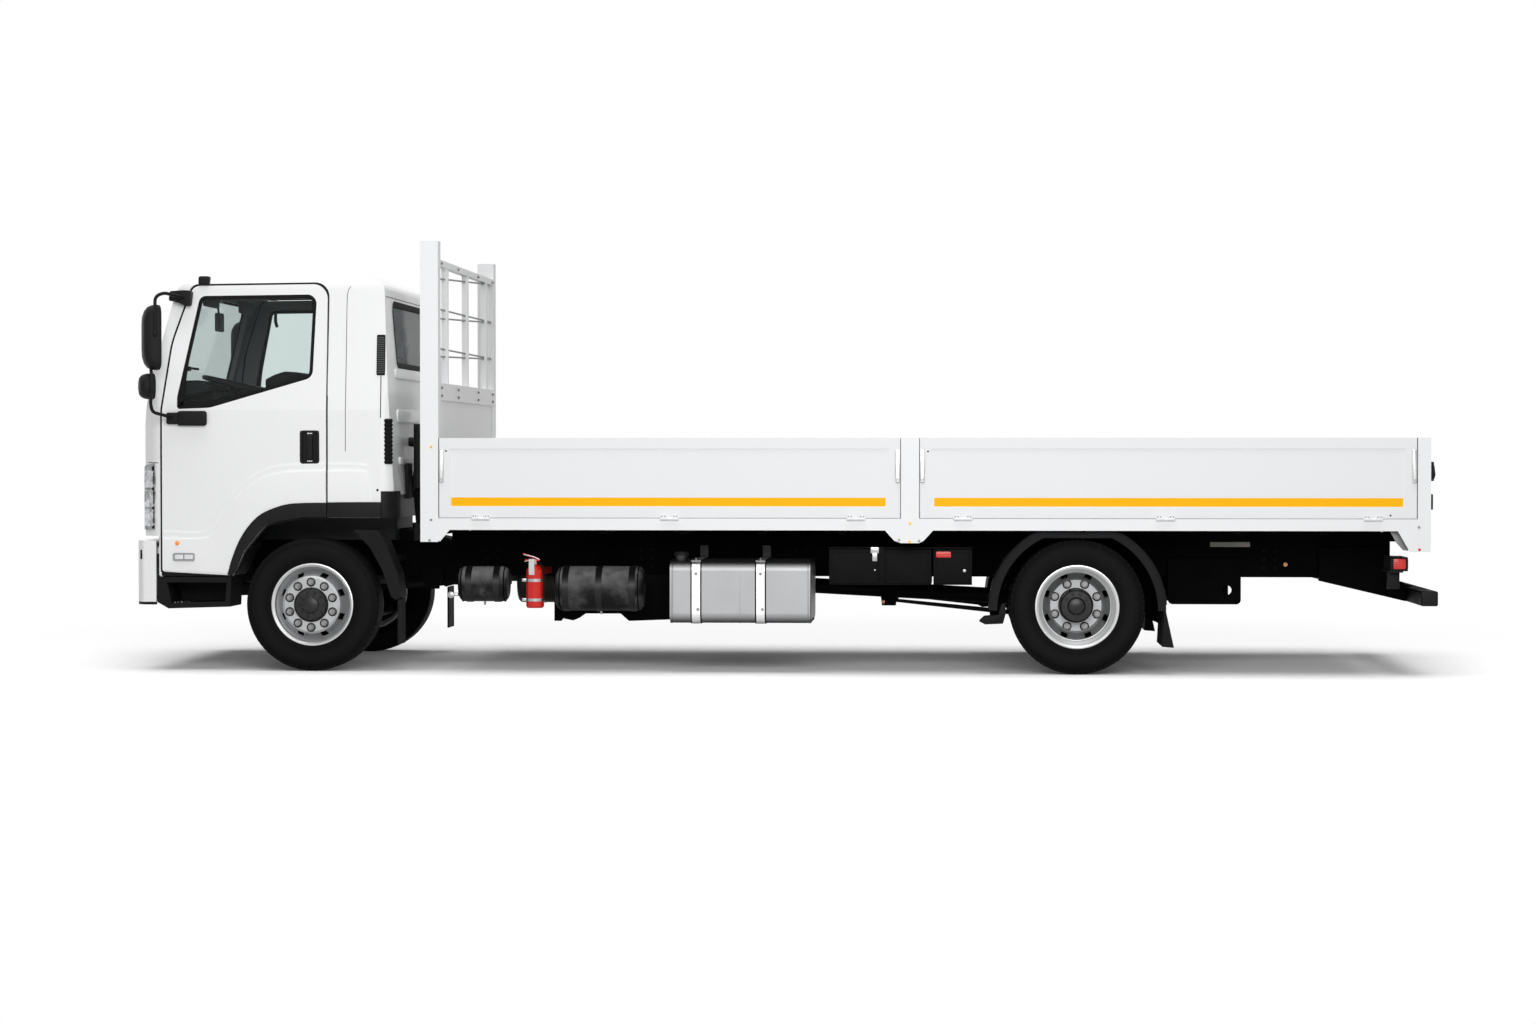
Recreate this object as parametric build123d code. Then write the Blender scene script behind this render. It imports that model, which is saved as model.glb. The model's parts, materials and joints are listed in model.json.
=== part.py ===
"""Dropside truck: a forward-control cab on a ladder frame, with a flat load body and hinged boards.

X points forward, Y to the truck's left, Z up. The origin is on the ground, under the centre of the
bounding box. Sizes are millimetres. Each function builds one node, and the table at the end names them.
"""

import math
import os

from build123d import *

# Overall layout, along the truck
WHEELBASE = 4800.0
FRONT_OVERHANG = 1150.0
REAR_OVERHANG = 2208.0
LENGTH = FRONT_OVERHANG + WHEELBASE + REAR_OVERHANG
FRONT_X = LENGTH / 2
AXLE_F = FRONT_X - FRONT_OVERHANG
AXLE_R = AXLE_F - WHEELBASE

# Gaps between pieces
RUNNING_GAP = 0.3
PIN_FIT = 0.05
PANEL_GAP = 12.0
BOARD_GAP = 6.0

# Tyres and wheels
TYRE_R = 420.0
TYRE_WIDTH = 245.0
TREAD_WIDTH = 200.0
RIM_FLANGE_R = 260.0
RIM_SEAT_R = 247.0
RIM_WALL = 8.0
RIM_WIDTH = 190.0
DISC_FACE = 137.5
DISC_WALL = 12.0
SPIGOT_R = 110.0
HAND_HOLES = 8
HAND_HOLE_R = 22.0
FRONT_TYRE_Y = 978.0
REAR_OUTER_TYRE_Y = 1028.0
HUB_R = 102.0
HUB_FLANGE_R = 157.0
DRUM_R = 185.0
SPINDLE_R = 40.0

# Steering
KINGPIN_Y = 830.0
KINGPIN_R = 20.0
BOSS_R = 45.0
BOSS_HEIGHT = 110.0
EAR_THICK = 30.0
ARM_LENGTH = 190.0
ARM_SECTION = 20.0
BALL_PIN_R = 11.0
TIE_ROD_R = 16.0
LINK_PLAY = 0.8

# Ladder frame
RAIL_Y = 425.0
RAIL_BOTTOM = 580.0
RAIL_HEIGHT = 230.0
RAIL_WALL = 8.0
RAIL_FLANGE = 70.0
RAIL_TOP = RAIL_BOTTOM + RAIL_HEIGHT
RAIL_FRONT = AXLE_F + 960.0
RAIL_REAR = AXLE_R - 2014.0
CROSSMEMBER_DEPTH = 60.0
MEMBER_BOTTOM = RAIL_BOTTOM + 112.0
MEMBER_TOP = RAIL_TOP - 18.0

# Load body
BODY_HALF = 1225.0
BODY_FRONT = AXLE_F - 713.0
BODY_LENGTH = 6239.0
BODY_REAR = BODY_FRONT - BODY_LENGTH
DECK_TOP = 968.0
FLOOR_THICK = 28.0
RAVE_TOP = 968.0
RAVE_HEIGHT = 73.0
RAVE_DEPTH = 60.0
RAVE_WALL = 6.0
POST_X = 113.0
POST_Y = 100.0
POST_TOP = 2696.0
GUSSET_DROP = 78.0
BOARD_HEIGHT = 496.0
BOARD_THICK = 30.0
BOARD_BOTTOM = RAVE_TOP + 4.0
BOARD_TOP = BOARD_BOTTOM + BOARD_HEIGHT
CENTRE_POST_X = BODY_FRONT - 2997.0
CENTRE_POST_WIDTH = 112.0
REAR_POST_WIDTH = 80.0
BEARER_HALF = BODY_HALF - RAVE_DEPTH - 10.0
HINGE_R = 9.0
HINGE_PIN_R = 4.0
HINGE_OUT = 12.0
HINGE_WIDTH = 113.0
HINGE_Z = RAVE_TOP - 2.0
KNUCKLE_LENGTH = 34.0

# Cab
CAB_HALF = 1085.0
CAB_WALL = 45.0
CAB_FLOOR = 1115.0
CAB_BACK_TOP = AXLE_F - 450.0
CAB_BACK_BOTTOM = AXLE_F - 520.0
CAB_ROOF = 2540.0
CAB_SKIRT = 967.0
CAB_FRONT = AXLE_F + 1125.0
PIVOT_X = AXLE_F + 1068.0
PIVOT_Y = 320.0
PIVOT_Z = 868.0
PIVOT_R = 12.0
PIVOT_ARM = 36.0
PIVOT_NOTCH = 34.0
CAB_BELT = 1645.0
CAB_EAVE = 2440.0
CAB_LEAN = 75.0
PANEL_BOTTOM = 850.0
CAB_BOTTOM = 600.0
DOOR_THICK = 45.0
SILL_GAP = 8.0
GLASS_INSET = 8.0
GLASS_THICK = 6.0
DOOR_FRONT = AXLE_F + 956.0
DOOR_REAR = AXLE_F - 90.0
DOOR_BOTTOM = 612.0
DOOR_PIN_X = DOOR_FRONT - 10.0
DOOR_PIN_Y = CAB_HALF - 14.0
DOOR_PIN_R = 5.0
DOOR_HINGE_Z = (760.0, 1500.0)
MIRROR_OUT = 155.0


def box(x0, x1, y0, y1, z0, z1):
    """A box between two corners."""
    size = Box(abs(x1 - x0), abs(y1 - y0), abs(z1 - z0))
    return Pos((x0 + x1) / 2, (y0 + y1) / 2, (z0 + z1) / 2) * size


def outline(points, radii=0.0):
    """A closed outline through points, with its corners rounded: one radius, or one for each corner."""
    radii = [radii] * len(points) if isinstance(radii, (int, float)) else list(radii)
    face = make_face(Polyline(*points, close=True))
    for point, radius in zip(points, radii):
        if radius > 0:
            corner = min(face.vertices(), key=lambda v: (v.X - point[0]) ** 2 + (v.Y - point[1]) ** 2)
            face = fillet(corner, radius)
    return face


def prism_xz(points, y0, y1, radii=0.0):
    """A side-view outline of (x, z) points, carried from y0 to y1."""
    plane = Plane(origin=(0, max(y0, y1), 0), x_dir=(1, 0, 0), z_dir=(0, -1, 0))
    return extrude(plane * outline(points, radii), amount=abs(y1 - y0))


def prism_yz(points, x0, x1, radii=0.0):
    """A front-view outline of (y, z) points, carried from x0 to x1."""
    plane = Plane(origin=(min(x0, x1), 0, 0), x_dir=(0, 1, 0), z_dir=(1, 0, 0))
    return extrude(plane * outline(points, radii), amount=abs(x1 - x0))


def prism_xy(points, z0, z1, radii=0.0):
    """A plan-view outline of (x, y) points, carried from z0 to z1."""
    return extrude(Pos(0, 0, min(z0, z1)) * outline(points, radii), amount=abs(z1 - z0))


def rod(start, end, radius):
    """A round bar between two points."""
    start, end = Vector(*start), Vector(*end)
    plane = Plane(origin=start, z_dir=end - start)
    return extrude(plane * Circle(radius), amount=(end - start).length)


def turned(profile):
    """A solid of revolution about the Y axis, from (radius, y) points."""
    return revolve(make_face(Polyline(*profile, close=True)), axis=Axis.Y)


def other_side(shape):
    """The same piece on the truck's right."""
    return mirror(shape, about=Plane.XZ)


def both_sides(shape):
    """The piece and its twin on the other side."""
    return shape + other_side(shape)


def inset(points, amount):
    """An outline moved inwards by amount, for points that run counter-clockwise."""
    moved = []
    count = len(points)
    for i in range(count):
        before, here, after = points[i - 1], points[i], points[(i + 1) % count]
        lines = []
        for a, b in ((before, here), (here, after)):
            dx, dy = b[0] - a[0], b[1] - a[1]
            length = math.hypot(dx, dy)
            normal = (-dy / length, dx / length)
            lines.append((a[0] + normal[0] * amount, a[1] + normal[1] * amount, dx, dy))
        (ax, ay, adx, ady), (bx, by, bdx, bdy) = lines
        cross = adx * bdy - ady * bdx
        along = ((bx - ax) * bdy - (by - ay) * bdx) / cross
        moved.append((ax + adx * along, ay + ady * along))
    return moved


# Wheels


def tyre():
    """A tyre about the origin: tread, shoulders, and sidewalls that bulge between tread and bead."""
    half, tread = TYRE_WIDTH / 2, TREAD_WIDTH / 2
    bead = RIM_WIDTH / 2 - 3
    bulge_r = (TYRE_R + RIM_SEAT_R) / 2 + 8
    side = [(TYRE_R, tread - 12), (TYRE_R - 14, tread + 6), (bulge_r, half), (RIM_FLANGE_R + 6, half - 16)]
    side += [(RIM_FLANGE_R, bead), (RIM_SEAT_R + RUNNING_GAP, bead)]
    return turned(side + [(r, -y) for r, y in reversed(side)])


def wheel():
    """A steel disc wheel about the origin, its dish towards +Y: flanged rim, drop centre and dished disc."""
    lip, well = RIM_WIDTH / 2, RIM_SEAT_R - 22
    skin = [(RIM_FLANGE_R, lip + 10), (RIM_FLANGE_R, lip), (RIM_SEAT_R, lip - 3), (RIM_SEAT_R, lip - 35)]
    skin += [(well, lip - 50), (well, 50 - lip), (RIM_SEAT_R, 35 - lip), (RIM_SEAT_R, 3 - lip)]
    skin += [(RIM_FLANGE_R, -lip), (RIM_FLANGE_R, -lip - 10)]
    bore = [(RIM_FLANGE_R - RIM_WALL, -lip - 12), (RIM_SEAT_R - RIM_WALL, -lip - 4)]
    bore += [(RIM_SEAT_R - RIM_WALL, 38 - lip), (well - RIM_WALL, 53 - lip), (well - RIM_WALL, lip - 53)]
    bore += [(RIM_SEAT_R - RIM_WALL, lip - 38), (RIM_SEAT_R - RIM_WALL, lip + 4), (RIM_FLANGE_R - RIM_WALL, lip + 12)]
    rim = turned(skin + bore)
    face, back = DISC_FACE, DISC_FACE - DISC_WALL
    dish = [(SPIGOT_R, back), (SPIGOT_R, face), (168, face), (182, face - 9), (212, 62), (well - 2, 34)]
    dish += [(well - 2, 12), (well - RIM_WALL - 6, 14), (201, 54), (172, back - 8), (160, back)]
    disc = turned(dish)
    for i in range(HAND_HOLES):
        angle = 360 * (i + 0.5) / HAND_HOLES
        slot = Rot(0, angle, 0) * Pos(196, 100, 0) * Rot(90, 0, 0) * Box(26, 2 * HAND_HOLE_R, 160)
        disc -= slot
    return rim + disc


def front_hub():
    """The hub about the origin of the front tyre: flange behind the disc, spigot, cap and brake drum."""
    back = DISC_FACE - DISC_WALL
    cap = DISC_FACE + 24
    profile = [(SPINDLE_R + PIN_FIT, -40), (SPINDLE_R + PIN_FIT, back - 20), (0, back - 20)]
    profile += [(0, cap), (HUB_R - 16, cap), (HUB_R, cap - 14), (HUB_R, back), (HUB_FLANGE_R, back)]
    profile += [(HUB_FLANGE_R, back - 24), (DRUM_R - 10, back - 60), (DRUM_R, back - 70), (DRUM_R, -70)]
    profile += [(DRUM_R - 14, -70), (DRUM_R - 14, back - 76), (90, back - 60), (70, -40)]
    return turned(profile)


def rear_hub():
    """The rear hub, with y measured from the plane where the twin discs meet."""
    back = -DISC_WALL
    cap = DISC_WALL + 118
    profile = [(SPINDLE_R + PIN_FIT, -200), (SPINDLE_R + PIN_FIT, 60), (0, 60), (0, cap)]
    profile += [(HUB_R - 20, cap), (HUB_R, cap - 16), (HUB_R, back), (HUB_FLANGE_R, back)]
    profile += [(HUB_FLANGE_R, back - 30), (DRUM_R - 12, back - 52), (DRUM_R, back - 66), (DRUM_R, back - 200)]
    profile += [(DRUM_R - 14, back - 200), (DRUM_R - 14, back - 72), (90, back - 60), (70, -200)]
    return turned(profile)


def at_front_wheel(shape):
    """Moves a piece from the origin to the left front wheel."""
    return Pos(AXLE_F, FRONT_TYRE_Y, TYRE_R) * shape


TWIN_PLANE_Y = REAR_OUTER_TYRE_Y - DISC_FACE


def rear_pair(piece):
    """A wheel or tyre twice, dish against dish, at the left end of the rear axle."""
    outer = Pos(AXLE_R, TWIN_PLANE_Y + DISC_FACE, TYRE_R) * mirror(piece, about=Plane.XZ)
    inner = Pos(AXLE_R, TWIN_PLANE_Y - DISC_FACE, TYRE_R) * piece
    return outer, inner


# Steering and axles


def knuckle():
    """The left steering knuckle: two ears on the kingpin, the spindle and the track rod arm."""
    half = BOSS_HEIGHT / 2
    gap = 1.0
    inner = half + gap
    ears = [Pos(0, 0, side * (inner + EAR_THICK / 2)) * Cylinder(BOSS_R, EAR_THICK) for side in (1, -1)]
    web_y = BOSS_R + 15
    bridge = box(-BOSS_R, BOSS_R, web_y, web_y + 30, -inner - EAR_THICK, inner + EAR_THICK)
    lugs = [box(-BOSS_R, BOSS_R, 0, web_y + 30, s * inner, s * (inner + EAR_THICK)) for s in (1, -1)]
    pin = Cylinder(KINGPIN_R, 2 * (inner + EAR_THICK))
    spindle_end = FRONT_TYRE_Y + DISC_FACE - DISC_WALL - 30 - KINGPIN_Y
    spindle = rod((0, web_y + 15, 0), (0, spindle_end, 0), SPINDLE_R)
    arm_top = -inner - EAR_THICK
    arm = box(-ARM_LENGTH - 22, 0, -20, 20, arm_top - ARM_SECTION, arm_top)
    ball_pin = Pos(-ARM_LENGTH, 0, arm_top - ARM_SECTION - 18) * Cylinder(BALL_PIN_R, 38)
    shape = bridge + spindle + pin + arm + ball_pin
    for piece in ears + lugs:
        shape += piece
    return Pos(AXLE_F, KINGPIN_Y, TYRE_R) * shape


TRACK_ROD_Z = TYRE_R - BOSS_HEIGHT / 2 - 1 - EAR_THICK - ARM_SECTION - 20


def track_rod():
    """The track rod, an eye on each knuckle's ball pin and a tube between them."""
    x = AXLE_F - ARM_LENGTH
    eye_r = BALL_PIN_R + 14
    tube = rod((x, -KINGPIN_Y, TRACK_ROD_Z), (x, KINGPIN_Y, TRACK_ROD_Z), TIE_ROD_R)
    shape = tube
    for side, play in ((1, PIN_FIT), (-1, LINK_PLAY)):
        eye = Pos(x, side * KINGPIN_Y, TRACK_ROD_Z) * Cylinder(eye_r, 34)
        bore = Pos(x, side * KINGPIN_Y, TRACK_ROD_Z) * Cylinder(BALL_PIN_R + play, 60)
        shape = (shape + eye) - bore
    return shape


def front_axle():
    """The front beam: an I section that drops between the springs, with a bored boss at each end."""
    y_end, y_bend, y_low = KINGPIN_Y - 20, 620.0, 480.0
    high, low, depth = TYRE_R, TYRE_R - 60, 92.0
    top = [(-y_end, high + depth / 2), (-y_bend, high + depth / 2), (-y_low, low + depth / 2)]
    bottom = [(-y_low, low - depth / 2), (-y_bend, high - depth / 2), (-y_end, high - depth / 2)]
    points = top + [(-y, z) for y, z in reversed(top)] + [(-y, z) for y, z in reversed(bottom)] + bottom
    flange_x, flange_t = 42.0, 18.0
    beam = prism_yz(points, AXLE_F - flange_x, AXLE_F + flange_x)
    cut_top = [(y, z - flange_t) for y, z in top] + [(-y, z - flange_t) for y, z in reversed(top)]
    cut_bottom = [(-y, z + flange_t) for y, z in reversed(bottom)] + [(y, z + flange_t) for y, z in bottom]
    pocket = prism_yz(cut_top + cut_bottom, AXLE_F + 10, AXLE_F + flange_x + 1)
    beam = beam - pocket - mirror(pocket, about=Plane.YZ.offset(AXLE_F))
    for side in (1, -1):
        place = Pos(AXLE_F, side * KINGPIN_Y, TYRE_R)
        beam += place * Cylinder(BOSS_R, BOSS_HEIGHT)
        beam -= place * Cylinder(KINGPIN_R + PIN_FIT, BOSS_HEIGHT + 20)
    seat_top = FRONT_SPRING_BOTTOM
    for side in (1, -1):
        y = side * SPRING_Y
        beam += box(AXLE_F - 75, AXLE_F + 75, y - 40, y + 40, low + depth / 2 - 10, seat_top)
    return beam


SPRING_Y = 425.0
SPRING_WIDTH = 70.0
FRONT_SPRING_BOTTOM = 440.0
FRONT_SPRING_THICK = 60.0
REAR_SPRING_TOP = 340.0
REAR_SPRING_THICK = 90.0
SPRING_EYE_R = 26.0
SPRING_PIN_R = 12.0


def rear_axle():
    """The rear axle: a round casing with the drive's bowl at its centre and a seat over each spring."""
    seat = TWIN_PLANE_Y - 205
    tube = rod((AXLE_R, -seat, TYRE_R), (AXLE_R, seat, TYRE_R), 62)
    bowl = Pos(AXLE_R, 0, TYRE_R) * Rot(0, 90, 0) * Cylinder(185, 150)
    nose = rod((AXLE_R, 0, TYRE_R), (AXLE_R + 300, 0, TYRE_R + 10), 75)
    cones = loft([Plane(origin=(AXLE_R, 240, TYRE_R), z_dir=(0, -1, 0)) * Circle(62),
                  Plane(origin=(AXLE_R, 60, TYRE_R), z_dir=(0, -1, 0)) * Circle(150)])
    spindle = rod((AXLE_R, 0, TYRE_R), (AXLE_R, TWIN_PLANE_Y + 50, TYRE_R), SPINDLE_R)
    pad = box(AXLE_R - 80, AXLE_R + 80, SPRING_Y - 45, SPRING_Y + 45, REAR_SPRING_TOP, TYRE_R)
    half = cones + spindle + pad
    return tube + bowl + nose + half + other_side(half)


def spring(eye_front, eye_rear, seat, thick, taper):
    """A leaf spring in side view: the eyes and seat are (x, z) at the top of the main leaf."""
    (fx, fz), (rx, rz), (sx, sz) = eye_front, eye_rear, seat
    leaf = 18.0
    upper = [(fx, fz), (sx + 120, sz), (sx - 120, sz), (rx, rz)]
    lower = [(rx, rz - leaf), (sx - 120 - taper, (rz + sz) / 2 - thick * 0.6), (sx - 100, sz - thick)]
    lower += [(sx + 100, sz - thick), (sx + 120 + taper, (fz + sz) / 2 - thick * 0.6), (fx, fz - leaf)]
    y0, y1 = SPRING_Y - SPRING_WIDTH / 2, SPRING_Y + SPRING_WIDTH / 2
    shape = prism_xz(upper + lower, y0, y1)
    for x, z in (eye_front, eye_rear):
        shape += rod((x, y0, z - leaf / 2), (x, y1, z - leaf / 2), SPRING_EYE_R)
        shape -= rod((x, y0 - 1, z - leaf / 2), (x, y1 + 1, z - leaf / 2), SPRING_PIN_R + RUNNING_GAP)
    return shape


def leaf_springs():
    """Four leaf springs: the front pair over the axle beam, the rear pair slung below the axle."""
    front_top = FRONT_SPRING_BOTTOM + FRONT_SPRING_THICK
    front = spring((AXLE_F + 660, 540), (AXLE_F - 660, 540), (AXLE_F, front_top), FRONT_SPRING_THICK, 150)
    rear = spring((AXLE_R + 1180, 440), (AXLE_R - 780, 500), (AXLE_R, REAR_SPRING_TOP), REAR_SPRING_THICK, 260)
    return both_sides(front + rear)


# Frame and what hangs from it


def chassis_frame():
    """The ladder frame: two channel rails, crossmembers, spring hangers and the bored rear plates."""
    y1, y0 = RAIL_Y, RAIL_Y - RAIL_FLANGE
    rail = box(RAIL_REAR, RAIL_FRONT, y0, y1, RAIL_BOTTOM, RAIL_TOP)
    rail -= box(RAIL_REAR - 1, RAIL_FRONT + 1, y0 - 1, y1 - RAIL_WALL, RAIL_BOTTOM + RAIL_WALL, RAIL_TOP - RAIL_WALL)
    shape = rail
    hangers = ((AXLE_F + 660, 540), (AXLE_F - 660, 540), (AXLE_R + 1180, 440))
    for x, eye_z in hangers:
        half = 75.0
        cheek = [(x - half, RAIL_BOTTOM + 60), (x - 45, eye_z - 45), (x + 45, eye_z - 45), (x + half, RAIL_BOTTOM + 60)]
        wall = 10.0
        face = SPRING_Y + SPRING_WIDTH / 2 + 1
        shape += prism_xz(cheek, face, face + wall)
        shape += box(x - half, x + half, RAIL_Y, face + wall, RAIL_BOTTOM + 10, RAIL_BOTTOM + 60)
        shape += rod((x, SPRING_Y - SPRING_WIDTH / 2 - 4, eye_z - 9), (x, face + wall, eye_z - 9), SPRING_PIN_R)
    face = SPRING_Y + SPRING_WIDTH / 2 + 1
    plate = prism_xz(REAR_PLATE, face, face + REAR_PLATE_THICK, (0, 30, 30, 0))
    plate += box(REAR_PLATE[0][0], REAR_PLATE[2][0], RAIL_Y, face + REAR_PLATE_THICK, RAIL_BOTTOM + 12, RAIL_BOTTOM + 120)
    plate += rod((AXLE_R - 780, SPRING_Y - SPRING_WIDTH / 2 - 4, 491), (AXLE_R - 780, face + 1, 491), SPRING_PIN_R)
    shape += plate - rod((PLATE_HOLE_X, 0, PLATE_HOLE_Z), (PLATE_HOLE_X, BODY_HALF, PLATE_HOLE_Z), PLATE_HOLE_R)
    shape = shape + other_side(shape)
    spacing = [(RAIL_FRONT - 40, 0), (AXLE_F - 1050, 0), (AXLE_F - 2050, 0), (AXLE_F - 3050, 0)]
    spacing += [(AXLE_R + 760, 0), (AXLE_R - 420, 0), (AXLE_R - 1250, 0), (RAIL_REAR + 40, 0)]
    for x, _ in spacing:
        half = CROSSMEMBER_DEPTH / 2
        inner = RAIL_Y - RAIL_WALL
        member = box(x - half, x + half, -inner, inner, MEMBER_BOTTOM, MEMBER_TOP)
        member -= box(x - half + RAIL_WALL, x + half + 1, 1 - inner + RAIL_FLANGE, inner - RAIL_FLANGE - 1,
                      MEMBER_BOTTOM + RAIL_WALL, MEMBER_TOP - RAIL_WALL)
        shape += member
    arm = prism_xz([(RAIL_FRONT - 30, MEMBER_BOTTOM), (RAIL_FRONT + 20, MEMBER_BOTTOM), (PIVOT_X + 22, PIVOT_Z - 14),
                    (PIVOT_X + 14, PIVOT_Z + 16), (PIVOT_X - 14, PIVOT_Z + 18), (RAIL_FRONT - 30, MEMBER_TOP)],
                   PIVOT_Y - PIVOT_ARM / 2, PIVOT_Y + PIVOT_ARM / 2, (0, 0, 12, 14, 14, 0))
    arm -= rod((PIVOT_X, 0, PIVOT_Z), (PIVOT_X, BODY_HALF, PIVOT_Z), PIVOT_R + PIN_FIT)
    return shape + both_sides(arm)


REAR_PLATE_THICK = 10.0
REAR_PLATE = [(AXLE_R - 603, RAIL_BOTTOM + 120), (AXLE_R - 603, 408), (AXLE_R - 1066, 408), (AXLE_R - 1066, RAIL_BOTTOM + 120)]
PLATE_HOLE_X = AXLE_R - 977.0
PLATE_HOLE_Z = 499.0
PLATE_HOLE_R = 30.0


def engine():
    """The engine as one plain block, with the gearbox behind it."""
    block = box(AXLE_F - 400, AXLE_F + 600, -310, 310, 520, 1020)
    return fillet(block.edges(), 25)


def driveline():
    """Gearbox, two-piece propeller shaft and its centre bearing."""
    bearing_x = AXLE_F - 2050
    box_end = AXLE_F - 1020
    case = loft([Plane(origin=(AXLE_F - 400.3, 0, 680), z_dir=(-1, 0, 0)) * Rectangle(400, 420),
                 Plane(origin=(box_end, 0, 640), z_dir=(-1, 0, 0)) * Rectangle(220, 240)])
    shaft_a = rod((box_end, 0, 640), (bearing_x, 0, 560), 45)
    shaft_b = rod((bearing_x, 0, 560), (AXLE_R + 301, 0, TYRE_R + 10), 50)
    carrier = box(bearing_x - 30, bearing_x + 30, -150, 150, 500, MEMBER_BOTTOM - RUNNING_GAP)
    return case + shaft_a + shaft_b + carrier


TANK_X = (AXLE_F - 2263.0, AXLE_F - 3150.0)
TANK_Y = (500.0, 1150.0)
TANK_Z = (313.0, 702.0)
TANK_CORNER = 62.0
STRAP_THICK = 5.0
STRAP_WIDTH = 52.0


def fuel_tank():
    """The aluminium fuel tank: a rounded oblong in section, with pressed ends and a filler neck."""
    (x0, x1), (y0, y1), (z0, z1) = TANK_X, TANK_Y, TANK_Z
    section = [(y0, z0), (y1, z0), (y1, z1), (y0, z1)]
    body = prism_yz(section, x1, x0, TANK_CORNER)
    body = fillet(body.faces().sort_by(Axis.X)[0].edges() + body.faces().sort_by(Axis.X)[-1].edges(), 28)
    neck = rod((x0 - 72, y1 - 90, z1 - 5), (x0 - 72, y1 - 70, z1 + 45), 38)
    return body + neck


AIR_TANKS = (
    # front x, rear x, centre y, centre z, radius
    (AXLE_F - 907.0, AXLE_F - 1224.0, 900.0, 546.0, 111.0),
    (AXLE_F - 1523.0, AXLE_F - 2084.0, 880.0, 518.0, 141.0),
)


def side_tanks():
    """Two black round tanks on the left, with domed ends."""
    shape = None
    for x0, x1, y, z, r in AIR_TANKS:
        body = rod((x1, y, z), (x0, y, z), r)
        ends = body.edges().filter_by(GeomType.CIRCLE)
        body = fillet(ends, r * 0.35)
        shape = body if shape is None else shape + body
    return shape


STRAP_TABLE = ((AXLE_F - 2432.0, True), (AXLE_F - 2835.0, True))


def tank_straps():
    """Straps round the tanks, with the brackets that carry the tanks on the left rail."""
    shape = None
    (y0, y1), (z0, z1) = TANK_Y, TANK_Z
    out, grow = STRAP_THICK + RUNNING_GAP, RUNNING_GAP
    for x, _ in STRAP_TABLE:
        half = STRAP_WIDTH / 2
        big = [(y0 - out, z0 - out), (y1 + out, z0 - out), (y1 + out, z1 + out), (y0 - out, z1 + out)]
        small = [(y0 - grow, z0 - grow), (y1 + grow, z0 - grow), (y1 + grow, z1 + grow), (y0 - grow, z1 + grow)]
        band = prism_yz(big, x - half, x + half, TANK_CORNER + out)
        band -= prism_yz(small, x - half - 1, x + half + 1, TANK_CORNER + grow)
        arm = box(x - half, x + half, RAIL_Y + 0.2, y0 - out, z0 + 60, RAIL_TOP - 30)
        shape = band + arm if shape is None else shape + band + arm
    for x0, x1, y, z, r in AIR_TANKS:
        count = 2 if x0 - x1 < 400 else 3
        for i in range(count):
            x = x0 - 70 - (x0 - x1 - 140) * i / (count - 1)
            ring = rod((x - 20, y, z), (x + 20, y, z), r + 4) - rod((x - 30, y, z), (x + 30, y, z), r + RUNNING_GAP)
            arm = box(x - 20, x + 20, RAIL_Y + 0.2, y - r - 1, z - 20, z + 80)
            shape += ring + arm
    return shape


LOCKER_X = (AXLE_F - 3252.0, AXLE_F - 3589.0, AXLE_F - 3903.0, AXLE_F - 4156.0)
LOCKER_Y = (RAIL_Y + 0.2, 1050.0)
LOCKER_Z = (551.0, 781.0)


def side_lockers():
    """Three black lockers in a row behind the fuel tank, joined by their back rail."""
    y0, y1 = LOCKER_Y
    z0, z1 = LOCKER_Z
    shape = box(LOCKER_X[0], LOCKER_X[-1], y0, y0 + 70, z0 + 100, z1 - 40)
    for x0, x1 in zip(LOCKER_X, LOCKER_X[1:]):
        body = box(x0 - 6, x1 + 6, y0 + 60, y1, z0, z1)
        body = fillet(body.edges().filter_by(Axis.X), 22)
        shape += body
    return shape


BOTTLE_X = AXLE_F - 1415.0
BOTTLE_Y = 1090.0
BOTTLE_R = 56.0


def fire_extinguisher():
    """A fire extinguisher upright in its clamp: bottle, neck, lever and the clamp's arm to the rail."""
    z0, z1 = 404.0, 640.0
    profile = [(0, z0), (BOTTLE_R - 8, z0), (BOTTLE_R, z0 + 10), (BOTTLE_R, z1), (BOTTLE_R - 18, z1 + 26)]
    profile += [(20, z1 + 36), (20, z1 + 60), (0, z1 + 60)]
    face = Plane.XZ * make_face(Polyline(*profile, close=True))
    bottle = Pos(BOTTLE_X, BOTTLE_Y, 0) * revolve(face, axis=Axis.Z)
    lever = box(BOTTLE_X - 30, BOTTLE_X + 62, BOTTLE_Y - 9, BOTTLE_Y + 9, z1 + 58, z1 + 68)
    carry = prism_xz([(BOTTLE_X - 20, z1 + 78), (BOTTLE_X + 75, z1 + 108), (BOTTLE_X + 75, z1 + 98), (BOTTLE_X - 20, z1 + 66)],
                     BOTTLE_Y - 9, BOTTLE_Y + 9)
    arm = box(BOTTLE_X - 20, BOTTLE_X + 20, RAIL_Y + 0.2, BOTTLE_Y - BOTTLE_R + 12, 600, 640)
    return bottle + lever + carry + arm


def pipe(points, radius):
    """A round bar bent through points."""
    shape = None
    for a, b in zip(points, points[1:]):
        piece = rod(a, b, radius)
        shape = piece if shape is None else shape + piece
    for point in points[1:-1]:
        shape += Pos(*point) * Sphere(radius + 0.5)
    return shape


SILENCER_X = (AXLE_F - 1050.0, AXLE_F - 1950.0)
SILENCER_Y = -800.0
SILENCER_Z = 500.0
SILENCER_R = 150.0


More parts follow.
